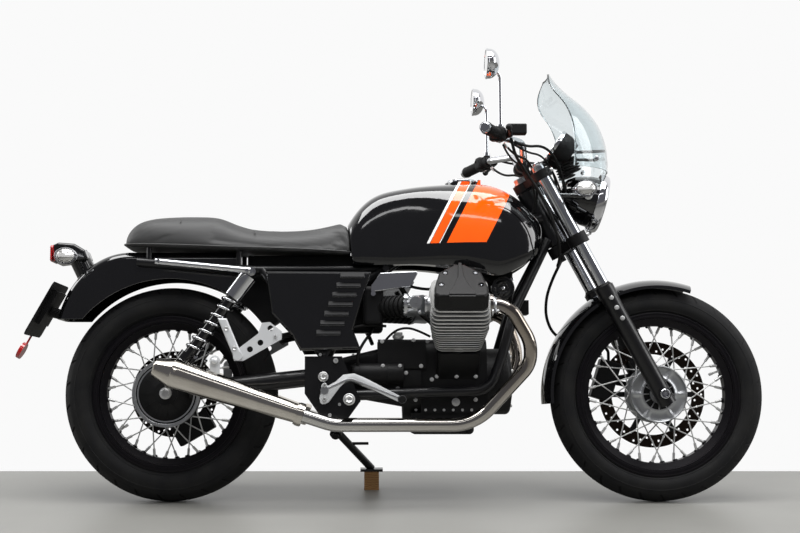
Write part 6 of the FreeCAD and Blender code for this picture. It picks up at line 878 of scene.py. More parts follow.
def join(name: str, pieces: Iterable[Piece]) -> Piece:
    """Joins pieces of one finish and body into one object.

    Args:
        name: The joined piece's name.
        pieces: The pieces.

    Returns:
        The joined object.
    """
    clear_bench()
    gathered = list(pieces)
    for piece in gathered:
        piece.select_set(True)
    bpy.context.view_layer.objects.active = gathered[0]
    if len(gathered) > 1:
        bpy.ops.object.join()
    whole = bpy.context.view_layer.objects.active
    whole.name = name
    whole.data.name = name
    return whole


def copy_of(piece: Piece) -> Piece:
    """A copy of a piece with its own mesh.

    Args:
        piece: The object.

    Returns:
        The copy.
    """
    twin = piece.copy()
    twin.data = piece.data.copy()
    bpy.context.scene.collection.objects.link(twin)
    return twin


def scatter(pattern: Piece, places: Iterable[tuple[Vector, Vector]], roll: float = 0.0) -> list:
    """Copies one small piece to many places and removes the pattern.

    Args:
        pattern: A piece modelled along +Z from the origin.
        places: The place and the axis of each copy, in bike millimetres.
        roll: How much further each copy is turned about its axis, in degrees.

    Returns:
        The copies.
    """
    made = [stand_on(copy_of(pattern), place, axis, roll * index) for index, (place, axis) in enumerate(places)]
    bpy.data.objects.remove(pattern)
    return made


def install(piece: Piece, finish: Finish, body: Body, replaces: Sequence[str] = ()) -> Piece:
    """Seats a piece in the frame, dresses it and lets it ride on its body.

    Args:
        piece: A mesh in bike millimetres.
        finish: Its finish.
        body: The body that carries it.
        replaces: The nodes that it stands for.

    Returns:
        The piece.
    """
    space.seat(piece)
    dress(piece, finish)
    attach(piece, body.value)
    if replaces:
        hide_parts(*replaces)
    log.info("%s: %d faces on %s", piece.name, len(piece.data.polygons), body.value)
    return piece


def fit(name: str, pieces: Iterable[Piece], finish: Finish, body: Body, angle: float = 35.0) -> Piece:
    """Joins pieces of one finish, shades them smooth up to an angle and installs them."""
    return install(smooth(join(name, pieces), angle), finish, body)


def hex_bolt(across: float, height: float = 0.0) -> Piece:
    """A hexagon bolt head on its washer, from the face that it clamps.

    Args:
        across: Its width across the flats.
        height: The head's height, or nothing for the usual two thirds.

    Returns:
        The bolt.
    """
    height = height or across * 0.62
    washer = turned("washer", [(across * 0.72, 0), (across * 0.72, across * 0.14), (across * 0.5, across * 0.14)], 20)
    corner = across * 0.577
    head = turned("head", [(corner, across * 0.1), (corner, height * 0.9), (across * 0.48, height)], 6)
    return join("hex_bolt", [washer, head])


def cap_screw(diameter: float) -> Piece:
    """A round cap screw with its hexagon socket, from the face that it clamps.

    Args:
        diameter: The head's diameter.

    Returns:
        The screw.
    """
    outer = diameter / 2
    rim = diameter * 0.62
    return turned("cap_screw", [(outer, 0), (outer, rim * 0.85), (outer * 0.88, rim), (outer * 0.5, rim),
                                (outer * 0.46, rim * 0.45)], 18)


REAR_AXLE = Vector((0, 0, 318))
FRONT_AXLE = Vector((1449, 0, 317))
ACROSS = Vector((0, 1, 0))
UP = Vector((0, 0, 1))
AHEAD = Vector((1, 0, 0))
FORK_RAKE = math.radians(28)
FORK_UP = Vector((-math.sin(FORK_RAKE), 0, math.cos(FORK_RAKE)))
FORK_AHEAD = Vector((math.cos(FORK_RAKE), 0, math.sin(FORK_RAKE)))
FORK_SPREAD = 100.0


def fork_point(along: float, across: float = 0.0, ahead: float = 0.0) -> Vector:
    """A point of the fork, by its way up the legs from the axle, its y and its way ahead of them."""
    return FRONT_AXLE + FORK_UP * along + ACROSS * across + FORK_AHEAD * ahead


def on_legs(along: float) -> list[tuple[Vector, Vector]]:
    """The place at one height on each leg of the fork, with the way up it."""
    return [(fork_point(along, y), FORK_UP) for y in (-FORK_SPREAD, FORK_SPREAD)]


def lie_on(node: str, start: Sequence[float], way: Sequence[float]) -> tuple[Vector, Vector] | None:
    """Finds where a straight line first meets a node, and the way that its surface faces there.

    Args:
        node: The node's name.
        start: Where the line starts, in bike millimetres.
        way: Its direction.

    Returns:
        The place and the outward normal, or None.
    """
    turn = space.matrix.to_3x3()
    heading = (turn @ Vector(way)).normalized()
    hit, place, normal, _ = frame["nodes"][node].ray_cast(space.matrix @ Vector(start), heading)
    if not hit:
        return None
    facing = (turn.inverted() @ normal).normalized()
    return space.matrix.inverted() @ place, facing if facing.dot(Vector(way)) < 0 else -facing


def touch(node: str, start: Sequence[float], way: Sequence[float]) -> Vector | None:
    """Finds where a straight line first meets a node, so that what is set there sits on it.

    Args:
        node: The node's name.
        start: Where the line starts, in bike millimetres.
        way: Its direction.

    Returns:
        The place in bike millimetres, or None where it meets nothing.
    """
    found = lie_on(node, start, way)
    if not found:
        log.warning("nothing of %s lies at %s", node, tuple(round(value) for value in start))
        return None
    return found[0]


def paint_part(node: str, finish: Finish, chosen: Callable[[Vector, Vector], bool]) -> None:
    """Gives those faces of a CAD node that lie in one place a finish of their own.

    Args:
        node: The node's name.
        finish: The finish.
        chosen: Says of a face's middle and normal, in bike space, whether it takes the finish.
    """
    data = frame["nodes"][node].data
    data.materials.append(finish.build())
    number = len(data.materials) - 1
    back = space.matrix.inverted()
    turn = back.to_3x3().normalized()
    for face in data.polygons:
        if chosen(back @ face.center, turn @ face.normal):
            face.material_index = number


def off_line(start: Vector, end: Vector) -> Callable[[Vector], tuple[float, float]]:
    """Measures points against a line.

    Args:
        start: The line's start.
        end: Its end.

    Returns:
        A function that gives a point's way along the line and its distance from it.
    """
    run = (end - start).normalized()

    def measure(point: Vector) -> tuple[float, float]:
        """A point's way along the line and its distance from it."""
        along = (point - start).dot(run)
        return along, (point - start - run * along).length

    return measure


def circle(count: int, radius: float, start_deg: float = 0.0) -> list[tuple[float, float]]:
    """Evenly spaced places on a circle in the plane of two axes."""
    turns = [math.radians(start_deg) + math.tau * index / count for index in range(count)]
    return [(radius * math.cos(turn), radius * math.sin(turn)) for turn in turns]


def around_axle(axle: Vector, count: int, radius: float, y: float, start_deg: float = 0.0) -> list:
    """Places round an axle, facing outwards along it."""
    out = ACROSS if y > 0 else -ACROSS
    return [(axle + Vector((x, y, z)), out) for x, z in circle(count, radius, start_deg)]


@dataclass
class SpokedWheel:
    """A tyre with its tread, the rim's stepped edges, the seats of its nipples and the valve.

    Attributes:
        name: Front or rear.
        body: The body that turns.
        axle: The axle's middle, in bike millimetres.
        tyre_radius: The tyre's radius.
        tyre_width: Its width.
        bead_radius: The radius of its beads.
        rim_width: The rim's width.
        rubber: The tyre's finish.
        anodised: The rim's finish.
        blocks: How many groove pairs its tread has.
        groove_depth: How deep they are.
        groove_lean_deg: How far a groove's outer end trails its inner end.
        tread_steps: Where a block's edges and its groove's edges lie, as shares of one block.
        wall_steps: How proud the wall stands, by the share of the way from its bead to its shoulder.
        crown_steps: The shares of the crown's half width where the section has a corner.
        nipples: The number of its spokes' nipples.
    """

    name: str
    body: Body
    axle: Vector
    tyre_radius: float
    tyre_width: float
    bead_radius: float
    rim_width: float
    rubber: Finish
    anodised: Finish
    blocks: int
    groove_depth: float = 5.0
    groove_lean_deg: float = -5.0
    tread_steps: tuple[float, ...] = (0.0, 0.18, 0.36, 0.44, 0.47, 0.53, 0.56, 0.78)
    wall_steps: tuple[tuple[float, float], ...] = (
        (0.05, 0.0), (0.09, 0.0), (0.11, 1.4), (0.15, 1.4), (0.17, 0.0), (0.3, 0.0), (0.42, 0.0), (0.55, 0.0),
        (0.68, 0.0), (0.74, 0.0), (0.76, 1.0), (0.79, 1.0), (0.81, 0.0), (0.9, 0.0),
    )
    crown_steps: tuple[float, ...] = (1.0, 0.97, 0.9, 0.78, 0.66, 0.54, 0.42, 0.3, 0.2, 0.08)
    nipples: int = 36

    @property
    def shoulder(self) -> float:
        """The radius where the wall meets the crown."""
        return self.tyre_radius * 0.93

    @property
    def edge(self) -> float:
        """Half the crown's width."""
        return self.tyre_width / 2 * 0.86

    def section(self) -> list[tuple[float, float]]:
        """The tyre's section: out of the near bead, over the crown to the far bead and back inside.

        Returns:
            The radius and the way across of each corner.
        """
        bead_half = self.rim_width / 2 - 4.3
        lip = self.bead_radius + 14
        half = self.tyre_width / 2
        shoulder, edge = self.shoulder, self.edge
        side = [(self.bead_radius + 0.3, bead_half), (lip, bead_half)]
        for share, proud in self.wall_steps:
            fall = (half - bead_half) * (1 - share / 0.52) ** 2 if share < 0.52 else \
                (half - edge) * ((share - 0.52) / 0.48) ** 2
            side.append((lip + (shoulder - lip) * share, half - fall + proud))
        side += [(self.tyre_radius * (1 - 0.07 * step * step), edge * step) for step in self.crown_steps]
        inner = [(self.tyre_radius - 12, 0.0), (shoulder - 8, edge * 0.7), (lip + 16, half - 12),
                 (lip, bead_half - 8), (self.bead_radius + 0.3, bead_half - 8)]
        back = [(radius, -across) for radius, across in reversed(side)]
        return side + back + [(radius, -across) for radius, across in reversed(inner[1:])] + inner

    def tyre(self) -> None:
        """The tyre with its moulded grooves, spun about the axle."""
        count = self.blocks * len(self.tread_steps)
        piece = ring(f"{self.name}_tyre_tread", self.section(), count)
        pitch = math.tau / self.blocks
        for vertex in piece.data.vertices:
            radius = math.hypot(vertex.co.x, vertex.co.y)
            index = round(math.atan2(vertex.co.y, vertex.co.x) / (math.tau / count)) % count
            number, step = divmod(index, len(self.tread_steps))
            share = min(abs(vertex.co.z) / self.edge, 1.0)
            turn = (number + self.tread_steps[step]) * pitch + math.radians(self.groove_lean_deg) * (1 - share)
            begins = 0.25 if number % 2 else 0.5
            if step in (4, 5) and begins < share < 0.99 and radius > self.shoulder - 2:
                radius -= self.groove_depth
            vertex.co.x = radius * math.cos(turn)
            vertex.co.y = radius * math.sin(turn)
        install(smooth(stand_on(piece, self.axle, ACROSS), 25), self.rubber, self.body, (f"{self.name}_tyre",))

    def rim_edges(self) -> None:
        """The rolled outer edges of the rim with the step inside each."""
        half = self.rim_width / 2
        top = self.bead_radius + 14
        edge = [(top - 15, half - 1), (top - 14, half + 1.6), (top - 10, half + 2.4), (top - 9, half + 0.8),
                (top - 3, half + 0.8), (top - 2, half + 2.6), (top + 1.2, half + 1.6), (top + 1.2, half - 2),
                (top - 4, half - 3)]
        near = ring(f"{self.name}_rim_edge", edge, 144)
        far = copy_of(near)
        stand_on(near, self.axle, ACROSS)
        stand_on(far, self.axle, -ACROSS)
        fit(f"{self.name}_rim_edges", [near, far], self.anodised, self.body, 40)

    def nipple_seats(self) -> None:
        """The dimpled bumps of the rim that the spokes' nipples sit in."""
        seat = turned("nipple_seat", [(9, -2.5), (8, 2), (5.5, 5)], 12)
        places = []
        for number in range(self.nipples):
            turn = math.tau * (number + 0.5) / self.nipples
            out = Vector((math.cos(turn), 0, math.sin(turn)))
            tilt = 9 if number % 2 else -9
            places.append((self.axle + out * (self.bead_radius - 24) + ACROSS * tilt, -out))
        fit(f"{self.name}_nipple_seats", scatter(seat, places), self.anodised, self.body, 50)

    def valve(self, turn_deg: float) -> None:
        """The valve stem with its cap, standing in from the rim.

        Args:
            turn_deg: Its place round the rim, in degrees.
        """
        turn = math.radians(turn_deg)
        out = Vector((math.cos(turn), 0, math.sin(turn)))
        profile = [(5, 0), (5, 4), (3.2, 6), (3.2, 22), (4.4, 23), (4.4, 33), (3.6, 34)]
        stem = turned(f"{self.name}_valve", profile, 16)
        install(smooth(stand_on(stem, self.axle + out * (self.bead_radius - 23), -out)), ZINC_STEEL, self.body)

    def build(self) -> None:
        """Makes and dresses the wheel's own pieces."""
        self.tyre()
        self.rim_edges()
        self.nipple_seats()
        self.valve(20.0 if self.name == "front" else 215.0)


@dataclass
class FrontHub:
    """The dished and ribbed cups on the front hub, and the bolts of its disc."""

    cup_radius: float = 85.0
    boss_radius: float = 47.0
    face: float = 35.5
    ribs: int = 12
    lobes: int = 6

    def cup(self, side: Side) -> None:
        """One cup: a ring dished between ridges that run out from its boss.

        Args:
            side: The side.
        """
        outer, inner = self.cup_radius, self.boss_radius
        profile = [(outer, 0), (outer, 12), (outer - 2.5, 14), (outer - 5, 12), (outer - 10, 9), (outer - 18, 8),
                   (inner + 12, 8), (inner + 5, 10), (inner + 1.5, 14), (inner, 14), (inner, 0)]
        piece = ring(f"front_hub_cup_{side.word}", profile, 120)
        for vertex in piece.data.vertices:
            radius = math.hypot(vertex.co.x, vertex.co.y)
            turn = math.atan2(vertex.co.y, vertex.co.x)
            if inner + 2 < radius < outer - 4:
                ridge = max(0.0, math.cos(turn * self.lobes)) ** 6
                vertex.co.z = vertex.co.z * (1 - ridge) + 13 * ridge
        install(smooth(stand_on(piece, self.axle_face(side), side.out), 60), CAST_ALUMINIUM, Body.FRONT_WHEEL)

    def axle_face(self, side: Side) -> Vector:
        """The middle of the hub's flange face on one side."""
        return FRONT_AXLE + side.out * self.face

    def boss(self) -> None:
        """The black ring inside the right cup."""
        profile = [(46.8, 0), (46.8, 9), (28, 9), (27.2, 14), (27.2, 0)]
        install(smooth(stand_on(ring("front_hub_boss", profile, 96), self.axle_face(Side.RIGHT), -ACROSS), 30),
                WRINKLE_BLACK, Body.FRONT_WHEEL)

    def boss_ribs(self) -> None:
        """The bright ribs and lips of the boss."""
        rib = block("boss_rib", (18, 2.6, 5), 0.6)
        rib.data.transform(Matrix.Translation((37, 0, 11)))
        made = []
        for index in range(self.ribs):
            made.append(copy_of(rib))
            made[-1].data.transform(Matrix.Rotation(math.tau * index / self.ribs, 4, "Z"))
        bpy.data.objects.remove(rib)
        made.append(ring("boss_lip", [(48.5, 9), (48.5, 15), (46, 15), (46, 9)], 96))
        whole = join("front_hub_boss_ribs", made)
        install(smooth(stand_on(whole, self.axle_face(Side.RIGHT), -ACROSS), 30), BRUSHED_ALUMINIUM, Body.FRONT_WHEEL)

    def disc_bolts(self) -> None:
        """The bolts of the disc's carrier and the buttons between its arms and the track."""
        screws = scatter(cap_screw(13), around_axle(FRONT_AXLE, 6, 42, 60, 30))
        buttons = scatter(turned("button", [(9, 0), (9, 2.5), (5, 3), (4, 1.5)], 20),
                          around_axle(FRONT_AXLE, 6, 122, 62.5, 0))
        fit("front_disc_bolts", screws + buttons, ZINC_STEEL, Body.FRONT_WHEEL)

    def build(self) -> None:
        """Makes and dresses the hub's pieces."""
        for side in Side:
            self.cup(side)
        self.boss()
        self.boss_ribs()
        self.disc_bolts()
        centre = off_line(FRONT_AXLE - ACROSS * 200, FRONT_AXLE + ACROSS * 200)
        paint_part("front_disc", POWDER_BLACK, lambda point, normal: centre(point)[1] < 121.5)


@dataclass
class FrontFork:
    """Seals, caps, clamps and bolts of the fork."""

    seal_along: float = 345.0
    cap_along: float = 760.0

    def seals(self) -> None:
        """The dust seals with their lips."""
        seal = turned("seal", [(27.2, -5), (27.2, 6), (25, 9), (25, 13), (22.5, 16), (20.6, 20), (20.2, 20)], 40)
        fit("fork_seals", scatter(seal, on_legs(self.seal_along)), MOULDED_RUBBER, Body.STEERING)

    def caps(self) -> None:
        """The hexagon caps of the tubes and the steering stem's nut."""
        cap = join("fork_cap", [turned("rim", [(19, 0), (19, 5), (17, 7), (12, 7)], 32),
                                turned("hexagon", [(12, 6), (12, 13), (10, 15)], 6)])
        nut = stand_on(hex_bolt(30), fork_point(748, 0, -50), FORK_UP)
        fit("fork_caps", scatter(cap, on_legs(self.cap_along)) + [nut], BRUSHED_ALUMINIUM, Body.STEERING)

    def axle_ends(self) -> None:
        """The axle's bright ring in the slider's foot and its hexagon."""
        profile = [(14, -3), (14, 3), (12.5, 4.5), (9.5, 4.5), (8.6, 3), (8.6, -3)]
        made = []
        for side in Side:
            place = touch("fork_sliders", (FRONT_AXLE.x, side.value * 300, FRONT_AXLE.z), -side.out)
            place = place or FRONT_AXLE + side.out * 126
            made.append(stand_on(ring("axle_ring", profile, 48), place, side.out))
            made.append(stand_on(turned("axle_hexagon", [(7.6, -2), (7.6, 1.5), (3.8, 1.5), (3.6, 0.2)], 6),
                                 place, side.out))
        fit("front_axle_ends", made, CHROME, Body.STEERING)

    def pinch_bolts(self) -> None:
        """The yokes' pinch bolts, in front of the tubes and behind them."""
        places = []
        for along in (735, 515):
            for y in (-FORK_SPREAD, FORK_SPREAD):
                side = 1 if y > 0 else -1
                places.append((fork_point(along, y + side * 6, 29), FORK_AHEAD))
                places.append((fork_point(along, y - side * 22, 27), FORK_AHEAD))
        fit("yoke_bolts", scatter(cap_screw(12), places), ZINC_STEEL, Body.STEERING)

    def fender_bolts(self) -> None:
        """The bolts that hold the fender's bridge to the sliders."""
        places = []
        for side in Side:
            for along in (250, 285, 318):
                found = touch("fork_sliders", fork_point(along, side.value * 300), -side.out)
                if found:
                    places.append((found, side.out))
        fit("fender_bolts", scatter(hex_bolt(10), places), ZINC_STEEL, Body.STEERING)

    def gaiter_rings(self) -> None:
        """The bright circlips over the seals."""
        clip = ring("circlip", [(27.8, 0), (27.8, 2.6), (25.6, 2.6), (25.6, 0)], 64)
        fit("fork_circlips", scatter(clip, on_legs(self.seal_along + 3)), ZINC_STEEL, Body.STEERING)

    def build(self) -> None:
        """Makes and dresses the fork's pieces."""
        self.seals()
        self.caps()
        self.axle_ends()
        self.pinch_bolts()
        self.fender_bolts()
        self.gaiter_rings()


@dataclass
class Lighting:
    """The headlamp's bright rim, bowl and bulb, and the bezels and lenses of the indicators."""

    centre: Vector = field(default_factory=lambda: Vector((1281, 0, 894)))
    dip_deg: float = 15.0
    radius: float = 89.0

    @property
    def facing(self) -> Vector:
        """The way the headlamp points."""
        return Vector((math.cos(math.radians(self.dip_deg)), 0, -math.sin(math.radians(self.dip_deg))))

    def rim(self) -> None:
        """The chromed ring round the glass, rolled at both edges."""
        r = self.radius
        profile = [(r - 12, 15), (r - 11.5, 18.5), (r - 8, 20), (r - 3, 17), (r + 0.6, 9), (r + 1.2, 2),
                   (r + 1.2, -7), (r + 0.2, -9.5), (r - 1.5, -9.5), (r - 1.5, 4), (r - 9, 14)]
        install(smooth(stand_on(ring("headlamp_rim", profile, 128), self.centre, self.facing), 50), CHROME,
                Body.STEERING)

    def bowl(self) -> None:
        """The bright reflector that shows through the glass."""
        profile = [(77.0, 0.6), (77.0, 1.6), (70, 1.9), (58, 1.4), (44, 1.1), (30, 0.9), (14, 0.8)]
        install(smooth(stand_on(turned("headlamp_reflector", profile, 72), self.centre, self.facing), 60), REFLECTOR,
                Body.STEERING)

    def bulb_cap(self) -> None:
        """The bulb's cap in the middle of the bowl."""
        cap = turned("headlamp_bulb_cap", [(13, 0.6), (13, 8), (11, 12), (6, 14.5), (2, 15.2)], 32)
        install(smooth(stand_on(cap, self.centre, self.facing), 60), CHROME, Body.STEERING)

    def rim_screw(self) -> None:
        """The tab that draws the rim shut at the foot, and the shell's side bolts."""
        down = self.facing.cross(ACROSS).normalized()
        down = down if down.z < 0 else -down
        tab = stand_on(block("tab", (10, 8, 12), 1.5), self.centre + down * (self.radius + 2) + self.facing * 4, down)
        bolts = [(touch("headlamp_shell", (1242, side.value * 200, 904), -side.out), side.out)
                 for side in Side]
        pattern = join("shell_bolt", [turned("cup", [(12, 0), (12, 3), (9, 5)], 28), hex_bolt(11)])
        fit("headlamp_fixings", scatter(pattern, [place for place in bolts if place[0]]) + [tab], ZINC_STEEL,
            Body.STEERING)

    def indicator_parts(self, centre: Vector, length: float, height: float, width: float,
                        side: Side) -> tuple[Piece, Piece, Piece]:
        """An oval indicator's bezel, its clear lens and the amber bulb behind it.

        Args:
            centre: The body's middle.
            length: Its length fore and aft.
            height: Its height.
            width: Its width across the motorcycle.
            side: The side that it faces.

        Returns:
            The bezel, the lens and the bulb.
        """
        out = side.out
        name = f"indicator_{side.word}"
        bezel = ring(f"{name}_bezel", [(1.03, -2), (1.05, 1.5), (1.0, 3.6), (0.94, 3.6), (0.9, 1.5), (0.9, -2)], 72)
        lens = turned(f"{name}_lens", [(0.9, 0.5), (0.88, 4), (0.78, 7), (0.6, 9.4), (0.35, 10.8), (0.08, 11.3)], 64)
        made = []
        for piece in (bezel, lens):
            piece.data.transform(Matrix.Diagonal((length / 2, height / 2, 1, 1)))
            made.append(smooth(stand_on(piece, centre + out * width * 0.27, out), 50))
        bulb = turned(f"{name}_bulb", [(7, -1), (7.5, 2), (6, 5), (2, 6.5)], 24)
        made.append(smooth(stand_on(bulb, centre + out * width * 0.3, out), 60))
        return tuple(made)

    def build(self) -> None:
        """Makes and dresses the lamps' pieces."""
        self.rim()
        self.bowl()
        self.bulb_cap()
        self.rim_screw()
        for x, y, z, body, end in ((1226, 150, 916, Body.STEERING, "front"), (-300, 130, 719, Body.CHASSIS, "rear")):
            for side in Side:
                pieces = self.indicator_parts(side.at(x, y, z), 62, 47, 46, side)
                for piece, finish in zip(pieces, (CHROME, CLEAR_LENS, AMBER_LENS)):
                    piece.name = f"{end}_{piece.name}"
                    install(piece, finish, body)


@dataclass
class Clocks:
    """The faces, hands, bezels and glasses of the two clocks, and their ribbed stems."""

    x: float = 1153.0
    z: float = 1066.0
    spread: float = 55.0
    tilt_deg: float = 34.0
    radius: float = 46.0
    ticks: int = 41
    first_deg: float = 225.0
    step_deg: float = 6.75

    @property
    def facing(self) -> Vector:
        """The way the clocks face, back and up at the rider."""
        return Vector((-math.cos(math.radians(self.tilt_deg)), 0, math.sin(math.radians(self.tilt_deg))))

    def places(self) -> list[tuple[Vector, Vector]]:
        """The middle of each dial and the way it faces."""
        return [(side.at(self.x, self.spread, self.z), self.facing) for side in Side]

    def marks(self) -> Piece:
        """The dials' ticks, long at each tenth.

        Returns:
            The ticks of one dial.
        """
        made = []
        for index in range(self.ticks):
            turn = math.radians(self.first_deg - index * self.step_deg)
            long = index % 5 == 0
            tick = block("tick", (7.0 if long else 4.0, 1.1 if long else 0.6, 0.3), 0.1, 1)
            tick.data.transform(Matrix.Rotation(turn, 4, "Z") @ Matrix.Translation((34 if long else 35.5, 0, -2.2)))
            made.append(tick)
        return join("clock_marks", made)

    def hand(self) -> Piece:
        """A hand with its hub, at rest on the first mark.

        Returns:
            The hand of one dial.
        """
        outline = [(-9, -2.0), (8, -1.5), (30, -0.5), (30, 0.5), (8, 1.5), (-9, 2.0)]
        pointer = plate("pointer", outline, 0.8, 0.2)
        pointer.data.transform(Matrix.Rotation(math.radians(222), 4, "Z") @ Matrix.Translation((0, 0, -1.6)))
        hub = turned("hub", [(5.2, -2.4), (5.2, -0.4), (4, 0.4), (2, 0.8)], 24)
        return join("clock_hand", [pointer, hub])

    def bezel(self) -> Piece:
        """The chromed bezel round a dial.

        Returns:
            The bezel.
        """
        r = self.radius
        return ring("clock_bezel", [(r + 1.6, -7), (r + 1.8, 0), (r + 0.6, 3.2), (r - 3, 3.6), (r - 6, 0.6),
                                    (r - 6, -1), (r, -7)], 84)

    def build(self) -> None:
        """Makes and dresses the clocks' pieces."""
        card = turned("clock_cards", [(42, -3.4), (42, -2.6), (6, -2.5)], 64)
        fit("clock_cards", scatter(card, self.places()), DIAL_BLACK, Body.STEERING)
        install(join("clock_marks", scatter(self.marks(), self.places())), DIAL_WHITE, Body.STEERING)
        fit("clock_hands", scatter(self.hand(), self.places()), RED_LENS, Body.STEERING)
        fit("clock_bezels", scatter(self.bezel(), self.places()), CHROME, Body.STEERING, 50)
        glass = turned("clock_glasses", [(41, 0.4), (41, 1.4), (30, 2.3), (4, 2.6)], 64)
        fit("clock_glasses", scatter(glass, self.places()), SCREEN_ACRYLIC, Body.STEERING, 60)
        knob = turned("knob", [(4, 0), (4.4, 5), (3, 7)], 18)
        dots = [(place - self.facing * 22 - UP * 30 + side.out * 20, -self.facing)
                for side, (place, _) in zip(Side, self.places())]
        fit("clock_knobs", scatter(knob, dots), CHROME, Body.STEERING)
        self.stems()

    def stems(self) -> None:
        """The ribbed sleeves behind the clocks."""
        sleeves = []
        for place, facing in self.places():
            profile = [(22, 0)]
            for index in range(5):
                height = index * 9
                profile += [(27, height + 2), (27, height + 5), (22, height + 6.5), (22, height + 9)]
            start = place - facing * 60 - UP * 52
            sleeves.append(stand_on(turned("sleeve", profile, 36), start, (facing * 0.5 + UP)))
        fit("clock_sleeves", sleeves, MOULDED_RUBBER, Body.STEERING)


@dataclass
class Handlebars:
    """Grip ribs, bar ends, switch buttons, lever pivots, mirror glasses and the control cables."""

    bar_end: Point = (913.0, 385.0, 1052.0)
    bar_bend: Point = (982.0, 193.0, 1061.0)

    def bar_at(self, side: Side) -> tuple[Vector, Vector]:
        """A bar's end and the way inwards from it.

        Args:
            side: The side.

        Returns:
            The end and the unit way inwards.
        """
        end = side.at(*self.bar_end)
        bend = side.at(*self.bar_bend)
        return end, (bend - end).normalized()

    def grip(self, side: Side) -> Piece:
        """A rubber grip with its flange, moulded rings and flared end.

        Args:
            side: The side.

        Returns:
            The grip.
        """
        end, inward = self.bar_at(side)
        profile = [(15, 0), (17.6, 1.5), (18.2, 5), (17.2, 8), (16.4, 10)]
        for index in range(17):
            height = 12 + index * 5.6
            profile += [(16.2, height), (17.2, height + 0.9), (17.2, height + 3.4), (16.2, height + 4.3)]
        profile += [(16.4, 108), (21.5, 110), (21.5, 114), (17, 116.5)]
        return smooth(stand_on(turned(f"grip_{side.word}", profile, 40), end + inward * 8.2, inward), 28)

    def bar_weight(self, side: Side) -> Piece:
        """The bright weight in the bar's end.

        Args:
            side: The side.

        Returns:
            The weight.
        """
        end, inward = self.bar_at(side)
        profile = [(5, -9.5), (12, -9), (15.4, -6), (15.8, 0), (15.8, 6), (14, 8)]
        return smooth(stand_on(turned(f"bar_weight_{side.word}", profile, 40), end, inward))

    def switches(self, side: Side) -> tuple[Piece, Piece, Piece]:
        """The switch housing, its rocker button and its screws.

        Args:
            side: The side.

        Returns:
            The housing, the rocker switch and the screws.
        """
        end, inward = self.bar_at(side)
        start = end + inward * 127
        back = (-AHEAD + UP * 0.35).normalized()
        halves = stand_on(block(f"switch_housing_{side.word}", (46, 40, 33), 7, 3),
                          start + inward * 16 + back * 2, inward)
        rocker = stand_on(block(f"switch_rocker_{side.word}", (12, 9, 6), 1.5, 2),
                          start + inward * 12 + back * 26, back)
        screws = scatter(cap_screw(5), [(start + inward * step - UP * 21 + AHEAD * 3, -UP) for step in (8, 24)])
        return smooth(halves), smooth(rocker), smooth(join(f"switch_screws_{side.word}", screws))

    def lever_pivots(self) -> None:
        """The pivot screws of the levers, and the clamps' bolts."""
        places = []
        for side in Side:
            end, inward = self.bar_at(side)
            ahead = Vector((inward.y * side.value, -inward.x * side.value, 0)).normalized()
            ahead = ahead if ahead.x > 0 else -ahead
            pivot = end + inward * 169 + ahead * 31
            places += [(pivot + UP * 8, UP), (end + inward * 163 + UP * 14 + ahead * 16, ahead)]
        fit("lever_pivots", scatter(cap_screw(10), places), ZINC_STEEL, Body.STEERING)

    def on_mirrors(self, name: str, pattern: Piece, behind: float, angle: float) -> Piece:
        """Sets an oval piece on the open face of each mirror's bowl, towards the rider.

        Args:
            name: The joined piece's name.
            pattern: The piece, of radius one.
            behind: How far behind the bowl's edge it stands.
            angle: The sharpest edge that is still smooth, in degrees.

        Returns:
            The two, joined.
        """
        pattern.data.transform(Matrix.Diagonal((59, 42, 1, 1)))
        places = []
        for side in Side:
            low, high = mirror_box(side)
            places.append((Vector((low.x - behind, (low.y + high.y) / 2, high.z - 42)), -AHEAD))
        return smooth(join(name, scatter(pattern, places)), angle)

    def mirror_glasses(self) -> None:
        """The mirrors' glasses."""
        glass = turned("mirror_glass", [(0.93, 0), (0.93, 1.2), (0.6, 2.0), (0.06, 2.2)], 64)
        install(self.on_mirrors("mirror_glasses", glass, 0.2, 60), REFLECTOR, Body.STEERING)

    def mirror_rims(self) -> None:
        """The rolled chromium rims round the mirrors' glasses."""
        rim = ring("mirror_rim", [(1.02, -3), (1.03, 1.5), (0.98, 3), (0.93, 2.4), (0.92, 0)], 72)
        install(self.on_mirrors("mirror_rims", rim, 0, 50), CHROME, Body.STEERING)

    def cables(self) -> None:
        """The throttle, clutch, brake and wiring runs from the hands to the headstock."""
        runs = [
            ([(984, -206, 1040), (1010, -186, 1010), (1062, -120, 1010), (1090, -66, 960), (1100, -34, 880),
              (1060, -26, 820)], 7),
            ([(978, -214, 1036), (1000, -196, 992), (1058, -128, 984), (1082, -70, 944), (1094, -40, 862),
              (1048, -32, 800)], 6),
            ([(1002, -176, 1060), (1046, -150, 1040), (1110, -118, 1052), (1152, -96, 1010), (1176, -58, 950),
              (1190, -36, 900)], 8),
            ([(1004, -170, 1052), (1052, -140, 1026), (1108, -98, 1026), (1146, -74, 970), (1168, -48, 920),
              (1180, -30, 890)], 6),
            ([(984, 206, 1040), (1012, 186, 1008), (1062, 122, 1004), (1092, 70, 956), (1104, 40, 872),
              (1062, 30, 812)], 7),
            ([(1002, 178, 1058), (1050, 148, 1036), (1110, 112, 1044), (1150, 90, 1000), (1176, 54, 940),
              (1190, 34, 896)], 7),
            ([(1150, -55, 1020), (1168, -70, 980), (1172, -62, 930), (1196, -44, 900)], 6),
            ([(1150, 55, 1020), (1168, 70, 980), (1172, 62, 930), (1196, 44, 900)], 6),
        ]
        install(join("control_cables", [hose("control_cable", points, diameter) for points, diameter in runs]),
                MOULDED_RUBBER, Body.STEERING)

